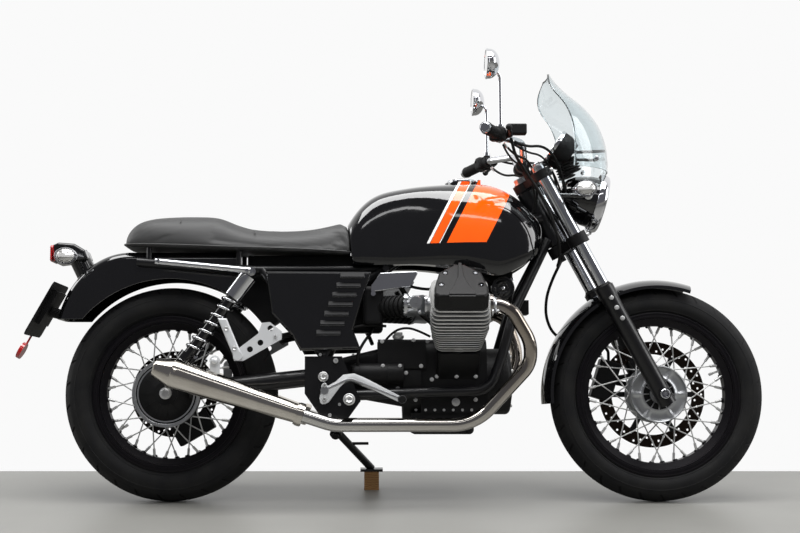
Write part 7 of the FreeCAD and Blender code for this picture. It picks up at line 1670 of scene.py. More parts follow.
    def cable_sleeves(self) -> None:
        """The bright ferrules where the cables meet the levers."""
        pattern = turned("ferrule", [(4.5, 0), (5.4, 1), (5.4, 9), (4.4, 10), (4.4, 16)], 18)
        places = [(Vector((982, side * 208, 1041)), Vector((0.6, -side * 0.4, -0.7))) for side in (-1, 1)]
        places += [(Vector((1000, side * 178, 1058)), Vector((0.8, -side * 0.5, -0.2))) for side in (-1, 1)]
        fit("cable_ferrules", scatter(pattern, places), ZINC_STEEL, Body.STEERING)

    def build(self) -> None:
        """Makes and dresses the handlebars' pieces."""
        grips = join("grip_rubbers", [self.grip(side) for side in Side])
        install(grips, MOULDED_RUBBER, Body.STEERING, ("grips",))
        install(join("bar_weights", [self.bar_weight(side) for side in Side]), CHROME, Body.STEERING)
        for side, colour in ((Side.RIGHT, RED_LENS), (Side.LEFT, TEXTURED_ABS)):
            for piece, finish in zip(self.switches(side), (TEXTURED_ABS, colour, ZINC_STEEL)):
                install(piece, finish, Body.STEERING)
        self.lever_pivots()
        self.mirror_glasses()
        self.mirror_rims()
        self.cables()
        self.cable_sleeves()


def mirror_box(side: Side) -> tuple[Vector, Vector]:
    """The corners of one mirror's bowl in bike millimetres, from the vertices of its node on that side.

    Args:
        side: The side.

    Returns:
        The lowest and the highest corner of its upper part.
    """
    back = space.matrix.inverted()
    points = [back @ vertex.co for vertex in frame["nodes"]["mirrors"].data.vertices]
    points = [point for point in points if point.y * side.value > 0]
    top = max(point.z for point in points)
    bowl = [point for point in points if point.z > top - 84]
    low = Vector([min(point[axis] for point in bowl) for axis in range(3)])
    high = Vector([max(point[axis] for point in bowl) for axis in range(3)])
    outer = max(abs(low.y), abs(high.y)) * side.value
    low.y, high.y = sorted((outer, outer - side.value * 118))
    return low, high


@dataclass
class Windscreen:
    """The screen's rolled edge, grommets and screws."""

    edge: float = 3.2

    def trim(self) -> None:
        """The rolled bead along the screen's near edges, from points on the sheet's own rim."""
        back = space.matrix.inverted()
        points = [back @ vertex.co for vertex in frame["nodes"]["windscreen"].data.vertices]
        made = []
        for side in (-1, 1):
            levels: dict[int, Vector] = {}
            for point in points:
                if point.y * side < 60:
                    continue
                level = round(point.z / 24)
                if level not in levels or point.y * side > levels[level].y * side:
                    levels[level] = point
            line = [levels[level] for level in sorted(levels)]
            if len(line) > 3:
                made.append(hose("screen_edge", [tuple(point) for point in line], self.edge))
        install(join("screen_edges", made), SCREEN_ACRYLIC, Body.STEERING)

    def screws(self) -> None:
        """The screws with their grommets that hold the screen to its stays."""
        pattern = join("screen_screw", [turned("grommet", [(8, -3), (8, 2.5), (6, 3.5)], 24), cap_screw(9)])
        places = []
        for side in Side:
            found = touch("windscreen", (1262, side.value * 400, 1010), -side.out)
            if found:
                places.append((found, side.out))
        fit("screen_screws", scatter(pattern, places), CHROME, Body.STEERING)

    def build(self) -> None:
        """Makes and dresses the screen's pieces."""
        self.trim()
        self.screws()


def seats_on_any(nodes: Sequence[str], spots: Iterable[tuple[float, float]], side: Side = Side.RIGHT) -> list:
    """The places on the outermost of several nodes that some x and z name, each with the way outwards.

    Args:
        nodes: The nodes' names.
        spots: The x and z of each place.
        side: The side to come from.

    Returns:
        The places that were found.
    """
    out = side.out
    places = []
    for x, z in spots:
        found = [lie_on(node, (x, side.value * 420, z), -out) for node in nodes]
        found = [place[0] for place in found if place]
        if found:
            places.append((max(found, key=lambda place: place.y * side.value), out))
    return places


def bright_ring(name: str, start: Vector, axis: Vector, radius: float, width: float, lift: float = 2.0) -> Piece:
    """A band clamp round a pipe, with its screw housing.

    Args:
        name: The piece's name.
        start: Its middle.
        axis: The pipe's way.
        radius: The pipe's radius.
        width: The band's width.
        lift: The band's thickness.

    Returns:
        The clamp.
    """
    outer, inner = radius + lift, radius - 0.5
    band = ring(name, [(outer, 0), (outer + 0.6, width / 2), (outer, width), (inner, width), (inner, 0)], 56)
    lug = block("lug", (9, 7, width + 3), 1.2)
    lug.data.transform(Matrix.Translation((radius + 5, 0, width / 2)))
    screw = cap_screw(6)
    screw.data.transform(Matrix.Translation((radius + 5, 3, width / 2)) @ Matrix.Rotation(math.radians(-90), 4, "X"))
    return smooth(stand_on(join(name, [band, lug, screw]), start - axis.normalized() * width / 2, axis, 150))


@dataclass
class Cylinder:
    """The fine parts of one cylinder: cover bolts, plug cap and lead, header nuts and intake clamps."""

    side: Side
    along_seat: float = 390.0
    port_along: float = 304.0

    @property
    def stagger(self) -> float:
        """How much further forward than the right cylinder this one stands."""
        return 0 if self.side is Side.RIGHT else 24

    @property
    def axis(self) -> Vector:
        """The way the cylinder points, out and up."""
        return (self.side.out + UP).normalized()

    @property
    def inward(self) -> Vector:
        """Up towards the mid plane, square to the cylinder."""
        return (UP - self.side.out).normalized()

    def point(self, x: float, along: float, height: float) -> Vector:
        """A point by its way along the motorcycle, up the cylinder and towards the mid plane."""
        return Vector((849 + self.stagger, 0, 355)) + AHEAD * x + self.axis * along + self.inward * height

    def cover_bolts(self) -> None:
        """The cover's four bright bolts in their seats."""
        spots = ((43.3, 30.5), (-43.3, 30.5), (56.2, -22), (-56.2, -22))
        places = [(self.point(x, self.along_seat, height), self.axis) for x, height in spots]
        bolt = join("cover_bolt", [turned("washer", [(8.4, 0), (8.4, 1.6), (6.4, 1.8)], 28), cap_screw(11.5)])
        fit(f"cover_bolts_{self.side.word}", scatter(bolt, places), CHROME, Body.CHASSIS)

    def plug(self) -> None:
        """The spark plug's rubber cap in the head's inner flank."""
        profile = [(12, -12), (12, 8), (14.5, 9), (14.5, 13), (11, 14), (11, 34), (9, 42), (6, 46)]
        cap = turned(f"plug_cap_{self.side.word}", profile, 28)
        install(smooth(stand_on(cap, self.point(-6, 312, 56), self.inward + AHEAD * 0.25)), MOULDED_RUBBER,
                Body.CHASSIS)

    def lead(self) -> None:
        """The plug's lead to the coils under the tank."""
        start = self.point(-6, 312, 100)
        end = self.side.at(960, 44, 640)
        middle = start + Vector((46, -self.side.value * 26, 34))
        points = (start, start + self.inward * 16, middle, end + self.side.out * 30, end)
        install(hose(f"plug_lead_{self.side.word}", [tuple(point) for point in points], 7.5), MOULDED_RUBBER,
                Body.CHASSIS)

    def header_nuts(self) -> None:
        """The nuts and studs of the header's flange, and its bright bracket."""
        port = self.point(95, self.port_along, 0)
        nut = join("flange_nut", [turned("nut", [(6.6, 0), (6.6, 9), (5.6, 10)], 6),
                                  turned("stud", [(3.6, 9), (3.6, 15), (2.8, 16)], 14)])
        places = [(port + self.inward * way * 26, AHEAD) for way in (-1, 1)]
        outline = [(-9, -37), (9, -37), (12, -14), (12, 14), (9, 37), (-9, 37), (-12, 14), (-12, -14)]
        bar = stand_on(plate("flange_bar", outline, 5, 1), port - AHEAD * 5, AHEAD)
        collar = stand_on(ring("collar", [(24, 0), (24, 6), (21.5, 9), (19.4, 9), (19.4, 0)], 48), port, AHEAD)
        bar.data.transform(Matrix.Translation(port) @ self.axis_turn() @ Matrix.Translation(-port))
        fit(f"header_nuts_{self.side.word}", scatter(nut, places) + [bar, collar], BRUSHED_ALUMINIUM, Body.CHASSIS)

    def axis_turn(self) -> Matrix:
        """The turn about the port's axis that sets the flange's long way across the cylinder."""
        return Matrix.Rotation(math.radians(self.side.value * 45), 4, "X")

    def intake_clamps(self) -> None:
        """The bands at both ends of the boot and the throttle's pulley and screws."""
        shift = self.stagger
        y = self.side.value * 215
        made = [bright_ring("boot_clamp", Vector((694 + shift, y, 570)), AHEAD, 30, 9),
                bright_ring("stub_clamp", Vector((752 + shift, y, 570)), AHEAD, 24, 7)]
        wheel = turned("throttle_pulley", [(17, 0), (18, 1.5), (14, 4), (18, 6.5), (17, 8), (5, 8), (5, 13)], 36)
        made.append(stand_on(wheel, Vector((722 + shift, y + self.side.value * 28, 575)), self.side.out))
        screws = scatter(cap_screw(8), [(Vector((708 + shift + step * 26, y + self.side.value * 20, 592 - step * 44)),
                                         self.side.out + UP * (0.7 - step * 1.2)) for step in (0, 1)])
        fit(f"intake_clamps_{self.side.word}", made + screws, BRUSHED_ALUMINIUM, Body.CHASSIS)

    def build(self) -> None:
        """Makes and dresses the cylinder's pieces."""
        self.cover_bolts()
        self.plug()
        self.lead()
        self.header_nuts()
        self.intake_clamps()
        node = f"cylinder_{self.side.word}"
        # The fins' broad faces take the darker finish: painted shade between the fins, against their bright edges.
        paint_part(node, FIN_SHADE, lambda point, normal: abs(normal.dot(self.axis)) > 0.9)
        paint_part("intakes", CAST_ALUMINIUM,
                   lambda point, normal: point.y * self.side.value > 0 and point.x > 699 + self.stagger)


@dataclass
class EngineCases:
    """The bolts, plugs, covers and small pipes of the crankcase, gearbox and starter."""

    bolts: tuple[tuple[float, float], ...] = (
        (720, 473), (680, 398), (698, 378), (774, 359), (789, 368), (846, 368), (674, 333), (628, 470), (630, 398),
        (742, 398), (762, 470), (902, 368), (902, 300), (726, 300),
    )
    plugs: tuple[tuple[float, float], ...] = ((844, 293),)
    front: Vector = field(default_factory=lambda: Vector((1009, 0, 355)))
    starter: Vector = field(default_factory=lambda: Vector((0, -107, 376)))

    def flank(self, side: Side) -> None:
        """The bolts of one flank.

        Args:
            side: The side.
        """
        nodes = ("crankcase", "gearbox")
        small = scatter(hex_bolt(8.5), seats_on_any(nodes, self.bolts, side))
        large = scatter(join("drain_plug", [turned("washer", [(12, 0), (12, 2), (9, 2.5)], 32), cap_screw(15)]),
                        seats_on_any(nodes, self.plugs, side))
        fit(f"case_bolts_{side.word}", small + large, ZINC_STEEL, Body.CHASSIS)

    def front_cover(self) -> None:
        """The ring of bolts round the front cover."""
        places = [(self.front + Vector((0, y, z)), AHEAD) for y, z in circle(8, 78, 22.5)]
        fit("front_cover_bolts", scatter(cap_screw(10), places), ZINC_STEEL, Body.CHASSIS)

    def cover_plate(self) -> None:
        """The black cover in the middle of the front, stepped like its casting."""
        profile = [(70, 0), (70, 3), (62, 5), (58, 5), (55, 2.5), (34, 2.5), (31, 6), (22, 7), (20, 4), (4, 4)]
        install(smooth(stand_on(turned("front_cover_disc", profile, 72), self.front, AHEAD), 40), WRINKLE_BLACK,
                Body.CHASSIS)

    def sump_bolts(self) -> None:
        """The bolts under the sump's flange."""
        places = seats_on_any(("crankcase",), [(x, 270) for x in range(728, 900, 27)])
        fit("sump_bolts", scatter(cap_screw(8), places), ZINC_STEEL, Body.CHASSIS)

    def breather(self) -> None:
        """The breather hose, the starter's lead and the gearbox wiring."""
        runs = [
            ([(800, -30, 480), (790, -40, 520), (740, -34, 560), (700, -20, 610), (680, -10, 650)], 16),
            ([(560, -122, 392), (550, -132, 420), (575, -118, 470), (600, -80, 500), (600, -50, 520)], 9),
            ([(640, -80, 476), (660, -100, 500), (700, -110, 512), (740, -100, 500), (770, -80, 486)], 7),
            ([(600, 60, 470), (590, 90, 500), (560, 100, 540), (540, 80, 590)], 12),
            ([(700, -60, 640), (760, -76, 620), (830, -70, 640), (900, -52, 660), (950, -44, 650)], 9),
            ([(470, -120, 470), (520, -126, 500), (575, -118, 520), (640, -104, 515)], 8),
        ]
        install(join("engine_hoses", [hose("engine_hose", points, diameter) for points, diameter in runs]),
                MOULDED_RUBBER, Body.CHASSIS)

    def starter_ring(self) -> None:
        """The seam and through bolts of the starter motor."""
        band = ring("starter_band", [(31.2, 0), (31.8, 2), (31.2, 4), (29, 4), (29, 0)], 48)
        made = scatter(band, [(self.starter + AHEAD * x, AHEAD) for x in (560, 640)])
        screws = [(self.starter + Vector((541, y, z)), -AHEAD) for y, z in circle(3, 20, 90)]
        made += scatter(cap_screw(7), screws)
        fit("starter_bands", made, TEXTURED_ABS, Body.CHASSIS)

    def dipstick(self) -> None:
        """The oil filler's ribbed cap and the wing-headed level plug beside it."""
        cap = turned("filler", [(14, 0), (14, 4), (17, 5), (17, 13), (14, 15), (6, 15)], 12)
        wing = block("wing", (26, 4, 9), 1.5)
        wing.data.transform(Matrix.Translation((0, 0, 18)))
        place = touch("gearbox", (676, -80, 700), (0, 0, -1)) or Vector((676, -80, 470))
        install(smooth(stand_on(join("oil_level_plug", [cap, wing]), place, UP - ACROSS * 0.2)), ZINC_STEEL,
                Body.CHASSIS)

    def build(self) -> None:
        """Makes and dresses the cases' pieces."""
        for side in Side:
            self.flank(side)
        self.front_cover()
        self.cover_plate()
        self.sump_bolts()
        self.breather()
        self.starter_ring()
        self.dipstick()


@dataclass
class HornDetail:
    """The horn's dished rings, centre and bolt."""

    centre: Vector = field(default_factory=lambda: Vector((985, -113, 628)))

    def build(self) -> None:
        """Makes and dresses the horn's pieces."""
        place = touch("horn", (self.centre.x, -400, self.centre.z), ACROSS) or self.centre
        profile = [(34.5, -6), (35, 0), (33, 3.5), (29, 4), (27, 1.6), (22, 1.6), (20, 3.8), (16, 3.8),
                   (14, 1.8), (8, 1.8), (6.5, 3.4), (2, 3.6)]
        dish = smooth(stand_on(turned("horn_dish", profile, 64), place, -ACROSS), 50)
        install(dish, GLOSS_ABS, Body.CHASSIS)
        dots = [(place - ACROSS * 3, -ACROSS), (place + Vector((28, 8, 27)), -ACROSS)]
        pattern = turned("horn_nut", [(5.5, 0), (5.5, 2), (3.5, 3.4)], 20)
        fit("horn_nuts", scatter(pattern, dots), CHROME, Body.CHASSIS)


@dataclass
class Exhaust:
    """The clamp, cone seam, tip, rivets and hanger of one silencer."""

    side: Side
    front: Point = (402.0, 210.0, 254.0)
    rear: Point = (-23.0, 210.0, 391.0)

    def build(self) -> None:
        """Makes and dresses the silencer's pieces."""
        start, end = (self.side.at(x, y, z) for x, y, z in (self.front, self.rear))
        run = (end - start).normalized()
        name = self.side.word
        clamp = bright_ring(f"silencer_clamp_{name}", start + run * 10, run, 32, 15, 1.4)
        install(clamp, POLISHED_STAINLESS, Body.CHASSIS)
        length = (end - start).length
        seam = ring("cone_seam", [(44.6, 0), (45.2, 1.5), (44.6, 3), (43, 3), (43, 0)], 72)
        parts = [stand_on(seam, start + run * (length - 54), run)]
        tip = ring("tip_lip", [(25, -3), (26.4, 0), (25, 1.8), (22.5, 1.8), (22, -3)], 60)
        parts.append(stand_on(tip, end, run))
        side_out = self.side.out
        rivet = turned("rivet", [(4.2, -1), (4, 1), (2.6, 2.4), (0.8, 2.9)], 18)
        up = run.cross(side_out).normalized()
        spots = [(start + run * (length - 62) + (side_out * math.cos(turn) + up * math.sin(turn)) * 43.8,
                  side_out * math.cos(turn) + up * math.sin(turn)) for turn in (0.25, 2.2, 4.4)]
        parts += scatter(rivet, spots)
        fit(f"silencer_trim_{name}", parts, POLISHED_STAINLESS, Body.CHASSIS)
        hanger = plate("hanger", [(-13, -16), (13, -16), (15, 20), (9, 42), (-9, 42), (-15, 20)], 5, 1)
        upright = Matrix.Rotation(math.radians(90), 4, "X")
        hanger.data.transform(Matrix.Translation((148, self.side.value * 199, 380)) @ upright)
        bolt = join("hanger_bolt", [turned("washer", [(15, 0), (15, 3), (11, 4)], 36),
                                    turned("acorn", [(9.5, 3), (9.5, 9), (8, 12.5), (4, 15), (1, 15.6)], 36)])
        bolt = stand_on(bolt, self.side.at(148, 204, 410), side_out)
        fit(f"silencer_hanger_{name}", [hanger, bolt], SATIN_SILVER, Body.CHASSIS)


@dataclass
class Controls:
    """The footrest plates' bolts, the pedals' arms, screws and pads, and the pegs' rubbers and screws."""

    plate_bolts: tuple[tuple[float, float, float], ...] = (
        (493, 412, 15), (448, 430, 9), (543, 432, 9), (504, 286, 9), (568, 285, 10), (591, 290, 7), (629, 280, 9),
        (476, 255, 11), (580, 476, 13),
    )

    def bolts(self, side: Side) -> None:
        """The bolts of one plate, the swing arm pivot's nut and the footrest's.

        Args:
            side: The side.
        """
        made = []
        nodes = ("main_frame", "engine_cradle", "gearbox", "foot_controls", "airbox")
        for x, z, width in self.plate_bolts:
            places = seats_on_any(nodes, [(x, z)], side)
            made += scatter(cap_screw(width), places)
        for x, z, radius in ((457, 366, 15), (533, 300, 17)):
            for place, out in seats_on_any(("main_frame", "footpegs"), [(x, z)], side)[:1]:
                washer = turned("washer", [(radius, 0), (radius, 3), (radius - 3, 4.5), (radius - 4, 4)], 40)
                flat = radius * 0.68
                nut = turned("nut", [(flat, 3), (flat, 9), (radius * 0.55, 11), (radius * 0.3, 8)], 6)
                made.append(stand_on(join("pivot_nut", [washer, nut]), place, out))
        fit(f"plate_bolts_{side.word}", made, ZINC_STEEL, Body.CHASSIS)

    def pedal(self, side: Side) -> None:
        """The pedal's flat forged arm with its rounded heel, which the photograph shows pale and smooth.

        Args:
            side: The side.
        """
        spine = [(462, 301, 13), (462, 330, 12), (462, 343, 8), (474, 322, 10), (500, 343, 10), (520, 361, 10.5),
                 (545, 364, 10.5), (575, 352, 10), (620, 329, 9.5), (660, 309, 9), (680, 299, 8.5)]
        upper, lower = [], []
        main = [(452, 296, 0)] + spine[3:]
        for index, (x, z, half) in enumerate(main):
            before, after = main[max(index - 1, 0)], main[min(index + 1, len(main) - 1)]
            run = Vector((after[0] - before[0], after[1] - before[1])).normalized()
            upper.append((x - run.y * half, z + run.x * half))
            lower.append((x + run.y * half, z - run.x * half))
        outline = [(450, 290), (447, 304), (452, 320), (453, 340), (458, 347), (466, 347), (471, 338)] + upper[2:] + \
            lower[:1:-1] + [(486, 308), (474, 292), (464, 287), (455, 286)]
        piece = plate(f"pedal_arm_{side.word}", outline, 9, 1.6)
        piece.data.transform(Matrix.Rotation(math.radians(90), 4, "X"))
        piece.data.transform(Matrix.Translation((0, side.value * 192 + 4.5, 0)))
        install(smooth(piece, 30), SATIN_SILVER, Body.CHASSIS)

    def pedal_fittings(self, side: Side) -> None:
        """The pivot's screw, the stop's screw and the screw of the toe pad."""
        places = [(side.at(x, 198, z), side.out) for x, z in ((462, 300), (462, 340), (684, 298))]
        fit(f"pedal_screws_{side.word}", scatter(cap_screw(12), places), ZINC_STEEL, Body.CHASSIS)

    def toe_pad(self, side: Side) -> None:
        """The ribbed rubber pad of a pedal.

        Args:
            side: The side.
        """
        profile = [(9, -12)]
        for index in range(6):
            height = -12 + index * 6
            profile += [(12.6, height + 0.8), (12.6, height + 4), (11, height + 5)]
        profile += [(9, 26)]
        pad = turned(f"toe_pad_{side.word}", profile, 32)
        install(smooth(stand_on(pad, side.at(684, 190, 300), side.out), 25), MOULDED_RUBBER,
                Body.CHASSIS)

    def peg_rubber(self, side: Side) -> None:
        """The rider's peg with the grooves of its rubber.

        Args:
            side: The side.
        """
        profile = [(12, 0), (16.6, 1.5)]
        for index in range(12):
            height = 4 + index * 7
            profile += [(16.8, height), (16.8, height + 4), (15, height + 5), (15, height + 6)]
        profile += [(16.6, 89), (14, 92.5), (4, 93)]
        peg = turned(f"peg_rubber_{side.word}", profile, 40)
        install(smooth(stand_on(peg, side.at(533, 158, 297), side.out), 25), MOULDED_RUBBER,
                Body.CHASSIS)

    def passenger_peg(self, side: Side) -> None:
        """The folded passenger peg's screws.

        Args:
            side: The side.
        """
        places = [(side.at(x, 204, z), side.out) for x, z in ((204, 446), (180, 502))]
        made = scatter(turned("peg_screw", [(7, -1), (7, 1.5), (5, 2.4), (3, 1)], 24), places)
        made += scatter(cap_screw(9), seats_on_any(("footpegs",), [(230, 470), (300, 500), (320, 480)], side))
        fit(f"passenger_peg_screws_{side.word}", made, ZINC_STEEL, Body.CHASSIS)

    def build(self) -> None:
        """Makes and dresses the controls' pieces."""
        for side in Side:
            self.bolts(side)
            self.pedal_fittings(side)
            self.toe_pad(side)
            self.peg_rubber(side)
            self.passenger_peg(side)
            self.pedal(side)
        paint_part("footpegs", SATIN_SILVER, lambda point, normal: abs(point.y) > 176 and point.x < 345)


@dataclass
class Saddle:
    """The padded vinyl saddle with its welt and cross seams."""

    voxel: float = 0.006
    cap: float = 0.007
    pressure: float = 4.0
    shrink: float = 0.988
    middle: Vector = field(default_factory=lambda: Vector((180, 0, 772)))
    seams: tuple[float, ...] = (20.0, 240.0)
    frames: int = 20
    welt_points: int = 48

    def pad(self) -> Piece:
        """Blows the saddle's foam up under its cover, with the base held.

        Returns:
            The pad, in bike millimetres.
        """
        piece = bpy.data.objects.new("saddle_pad", frame["nodes"]["seat"].data.copy())
        bpy.context.scene.collection.objects.link(piece)
        centre = space.matrix @ self.middle
        piece.data.transform(Matrix.Translation(centre) @ Matrix.Scale(self.shrink, 4) @ Matrix.Translation(-centre))
        pick_faces(piece, lambda face: True)
        bpy.ops.mesh.remove_doubles(threshold=0.0001)
        lay_down()
        finish_with(piece, "REMESH", mode="VOXEL", voxel_size=self.voxel, use_smooth_shade=True)
        self.swell(piece)
        finish_with(piece, "SUBSURF", levels=1, render_levels=1)
        piece.data.transform(space.matrix.inverted())
        return piece

    def swell(self, piece: Piece) -> None:
        """Runs the cloth and keeps each point within the cap.

        Args:
            piece: The pad, in the frame.
        """
        start = [vertex.co.copy() for vertex in piece.data.vertices]
        held = piece.vertex_groups.new(name="base")
        held.add([vertex.index for vertex in piece.data.vertices if vertex.normal.z < -0.5], 1.0, "REPLACE")
        take_up(piece)
        cloth = piece.modifiers.new("cloth", "CLOTH")
        cloth.settings.use_pressure = True
        cloth.settings.uniform_pressure_force = self.pressure
        cloth.settings.effector_weights.gravity = 0
        cloth.settings.vertex_group_mass = held.name
        for number in range(1, self.frames + 1):
            bpy.context.scene.frame_set(number)
        bpy.ops.object.modifier_apply(modifier=cloth.name)
        bpy.context.scene.frame_set(1)
        for vertex, home in zip(piece.data.vertices, start):
            move = vertex.co - home
            if move.length > self.cap:
                vertex.co = home + move * (self.cap / move.length)

    def welt(self) -> None:
        """The piping round the saddle's lower edge, laid on its side all the way round."""
        line = []
        for index in range(self.welt_points):
            turn = math.tau * index / self.welt_points
            way = Vector((math.cos(turn), math.sin(turn) * 0.6, 0))
            side = lie_on("seat", self.middle + way * 700 - UP * 18, -way)
            if not side:
                continue
            foot = lie_on("seat", side[0] - way * 12 - UP * 200, UP)
            if foot:
                edge = lie_on("seat", Vector((*(self.middle + way * 700).xy, foot[0].z + 8)), -way)
                if edge:
                    line.append(tuple(edge[0] + way.normalized() * 1.5))
        install(hose("saddle_welt", line + line[:1], 5.0), SEAT_VINYL, Body.CHASSIS)

    def seam(self, x: float) -> Piece:
        """One raised seam across the saddle."""
        line = [lie_on("seat", (x + abs(y) * 0.12, y, 1000), -UP) for y in range(-108, 109, 18)]
        return hose("saddle_seam", [tuple(found[0] + found[1] * 0.6) for found in line if found], 2.6)

    def build(self) -> None:
        """Makes and dresses the saddle."""
        self.welt()
        install(join("saddle_seams", [self.seam(x) for x in self.seams]), SEAT_VINYL, Body.CHASSIS)
        pad = install(self.pad(), SEAT_VINYL, Body.CHASSIS, ("seat",))


@dataclass
class TankFittings:
    """The filler cap's ring and its lock with the key slot."""

    x: float = 873.0

    def build(self) -> None:
        """Makes and dresses the fittings."""
        top = lie_on("filler_cap", (self.x, 14, 1200), -UP)
        rear = lie_on("filler_cap", (self.x - 24, 14, 1200), -UP)
        facing = (top[0] - rear[0]).cross(ACROSS).normalized()
        facing = facing if facing.z > 0 else -facing
        centre = top[0] - ACROSS * 14
        lip = ring("cap_ring", [(44, -0.5), (43.4, 1.6), (40.6, 2.2), (38.6, 1.2), (38.4, -0.5)], 72)
        lock = turned("cap_lock", [(11, -0.5), (10.6, 1.8), (8.8, 2.2), (7.6, 1.2), (1.5, 1.2)], 40)
        slot = block("slot", (9, 1.6, 1.4), 0.3, 1)
        slot.data.transform(Matrix.Translation((0, 0, 1.6)))
        pieces = [stand_on(piece, centre, facing) for piece in (lip, lock)] + [stand_on(slot, centre, facing, 30)]
        fit("filler_cap_trim", pieces, CHROME, Body.FILLER_CAP)


@dataclass
class Tail:
    """The tail lamp's ribbed lens, and the colours of the plate and the reflector."""

    lamp: Vector = field(default_factory=lambda: Vector((-360, 0, 738)))

    def rounded(self, width: float, height: float, corner: float, steps: int = 6) -> list[tuple[float, float]]:
        """The outline of a rectangle with round corners, about its middle.

        Args:
            width: Its width.
            height: Its height.
            corner: The corners' radius.
            steps: The edges of each corner.

        Returns:
            Its points in order.
        """
        made = []
        for quarter, (sx, sy) in enumerate(((1, 1), (-1, 1), (-1, -1), (1, -1))):
            for step in range(steps + 1):
                turn = math.radians(90 * quarter + 90 * step / steps)
                made.append((sx * (width / 2 - corner) + corner * math.cos(turn),
                             sy * (height / 2 - corner) + corner * math.sin(turn)))
        return made

    def lens(self) -> None:
        """The red lens with its moulded ribs."""
        base = plate("tail_lens", self.rounded(90, 50, 9), 6, 2.5)
        ribs = []
        for index in range(7):
            rib = block("rib", (82, 2.2, 3), 0.9, 2)
            rib.data.transform(Matrix.Translation((0, -18 + index * 6, 6)))
            ribs.append(rib)
        install(smooth(stand_on(join("tail_lens", [base] + ribs), self.lamp, -AHEAD)), RED_LENS, Body.CHASSIS)

    def build(self) -> None:
        """Makes and dresses the tail's pieces."""
        self.lens()
        paint_part("tail_lamp", RED_LENS, lambda point, normal: point.x < -352)
        paint_part("plate_holder", PLATE_WHITE, lambda point, normal: normal.x < -0.6 and point.z > 492)
        paint_part("plate_holder", RED_LENS, lambda point, normal: point.x < -414 and point.z < 482)


@dataclass
class RearEnd:
    """The final drive's rings, the shock absorbers' nuts and colours, the saddle's tray and the rails' bolts."""

    low: Vector = field(default_factory=lambda: Vector((43, 140, 400)))
    top: Vector = field(default_factory=lambda: Vector((246, 140, 672)))

    def drive(self) -> None:
        """The bright rings and the axle's nut."""
        out = -ACROSS
        edge = touch("final_drive", (93, -400, 318), ACROSS) or Vector((93, -108, 318))
        flange = [(98.4, -6), (98.8, 0), (97, 2.6), (90, 2.6), (88, 0.4), (88, -6)]
        lip = [(84, -2), (84, 1.8), (80, 1.8), (80, -2)]
        rings = [stand_on(ring("drive_ring", profile, 96), Vector((0, edge.y, 318)), out) for profile in (flange, lip)]
        bolts = scatter(cap_screw(8), [(Vector((x, edge.y - 2, 318 + z)), out) for x, z in circle(6, 93, 15)])
        fit("drive_rings", rings + bolts, BRUSHED_ALUMINIUM, Body.CHASSIS)
        face = touch("rear_axle", (0, -400, 318), ACROSS) or touch("final_drive", (0, -400, 318), ACROSS)
        nut = join("axle_nut", [turned("washer", [(17, -1), (17, 2), (14, 3)], 40),
                                turned("nut", [(14.4, 2), (14.4, 9), (12.4, 11), (7, 11), (6.6, 6)], 6)])
        fit("rear_axle_nut", scatter(nut, [(face, out)]), ZINC_STEEL, Body.CHASSIS)

    def shocks(self) -> None:
        """The acorn nuts at the eyes, and the black body and collar."""
        acorn = turned("acorn", [(13, 0), (13, 2.4), (9.4, 3), (9.4, 9), (7.6, 12), (4, 14), (1, 14.4)], 28)
        places = []
        for side in Side:
            out = side.out
            for eye in (self.low, self.top):
                places.append((side.at(eye.x, eye.y + 12, eye.z), out))
            start, end = (side.at(eye.x, eye.y, eye.z) for eye in (self.low, self.top))
            measure = off_line(start, end)
            length = (end - start).length
            paint_part("shock_absorbers", GLOSS_ABS, lambda point, normal: point.y * side.value > 0
                       and measure(point)[1] < 27.5 and 16 < measure(point)[0] < length - 96)
        fit("shock_nuts", scatter(acorn, places), CHROME, Body.CHASSIS)

    def tray(self) -> None:
        """The moulded tray under the saddle, on the airbox, and its skirt down behind the wheel."""
        tray = block("tray", (330, 96, 60), 6, 3)
        tray.data.transform(Matrix.Translation((392, 0, 700)))
        arc = [(REAR_AXLE.x + 342 * math.cos(math.radians(turn)), REAR_AXLE.z + 342 * math.sin(math.radians(turn)))
               for turn in range(66, 33, -4)]
        skirt = plate("skirt", arc + [(360, 560), (450, 575), (450, 676), (200, 676)], 90, 3)
        skirt.data.transform(Matrix.Translation((0, 45, 0)) @ Matrix.Rotation(math.radians(90), 4, "X"))
        fit("saddle_tray", [tray, skirt], TEXTURED_ABS, Body.CHASSIS)

    def rails(self) -> None:
        """The bolts of the chromed rails under the saddle."""
        ends = [(-20, 699), (236, 672)]
        places = [place for side in Side for place in seats_on_any(("seat_rails",), ends, side)]
        fit("rail_bolts", scatter(cap_screw(11), places), CHROME, Body.CHASSIS)

    def build(self) -> None:
        """Makes and dresses the rear's pieces."""
        self.drive()
        self.shocks()
        for side in Side:
            paint_part(f"side_cover_{side.word}", TEXTURED_ABS,
                       lambda point, normal: point.x > 280 and normal.z > 0.3)
        self.rails()
        self.tray()


@dataclass
class StandDetail:
    """The side stand's pivot bolt."""

    tries: tuple[tuple[float, float], ...] = ((490, 206), (500, 196), (520, 180))

    def build(self) -> None:
        """Makes and dresses the stand's pieces."""
        found = None
        for x, z in self.tries:
            found = found or lie_on("side_stand", (x, 400, z), -ACROSS)
        if found:
            bolt = join("stand_bolt", [turned("washer", [(12, 0), (12, 2), (9, 3)], 28), hex_bolt(13)])
            fit("stand_pivot_bolt", scatter(bolt, [(found[0], ACROSS)]), ZINC_STEEL, Body.SIDE_STAND)


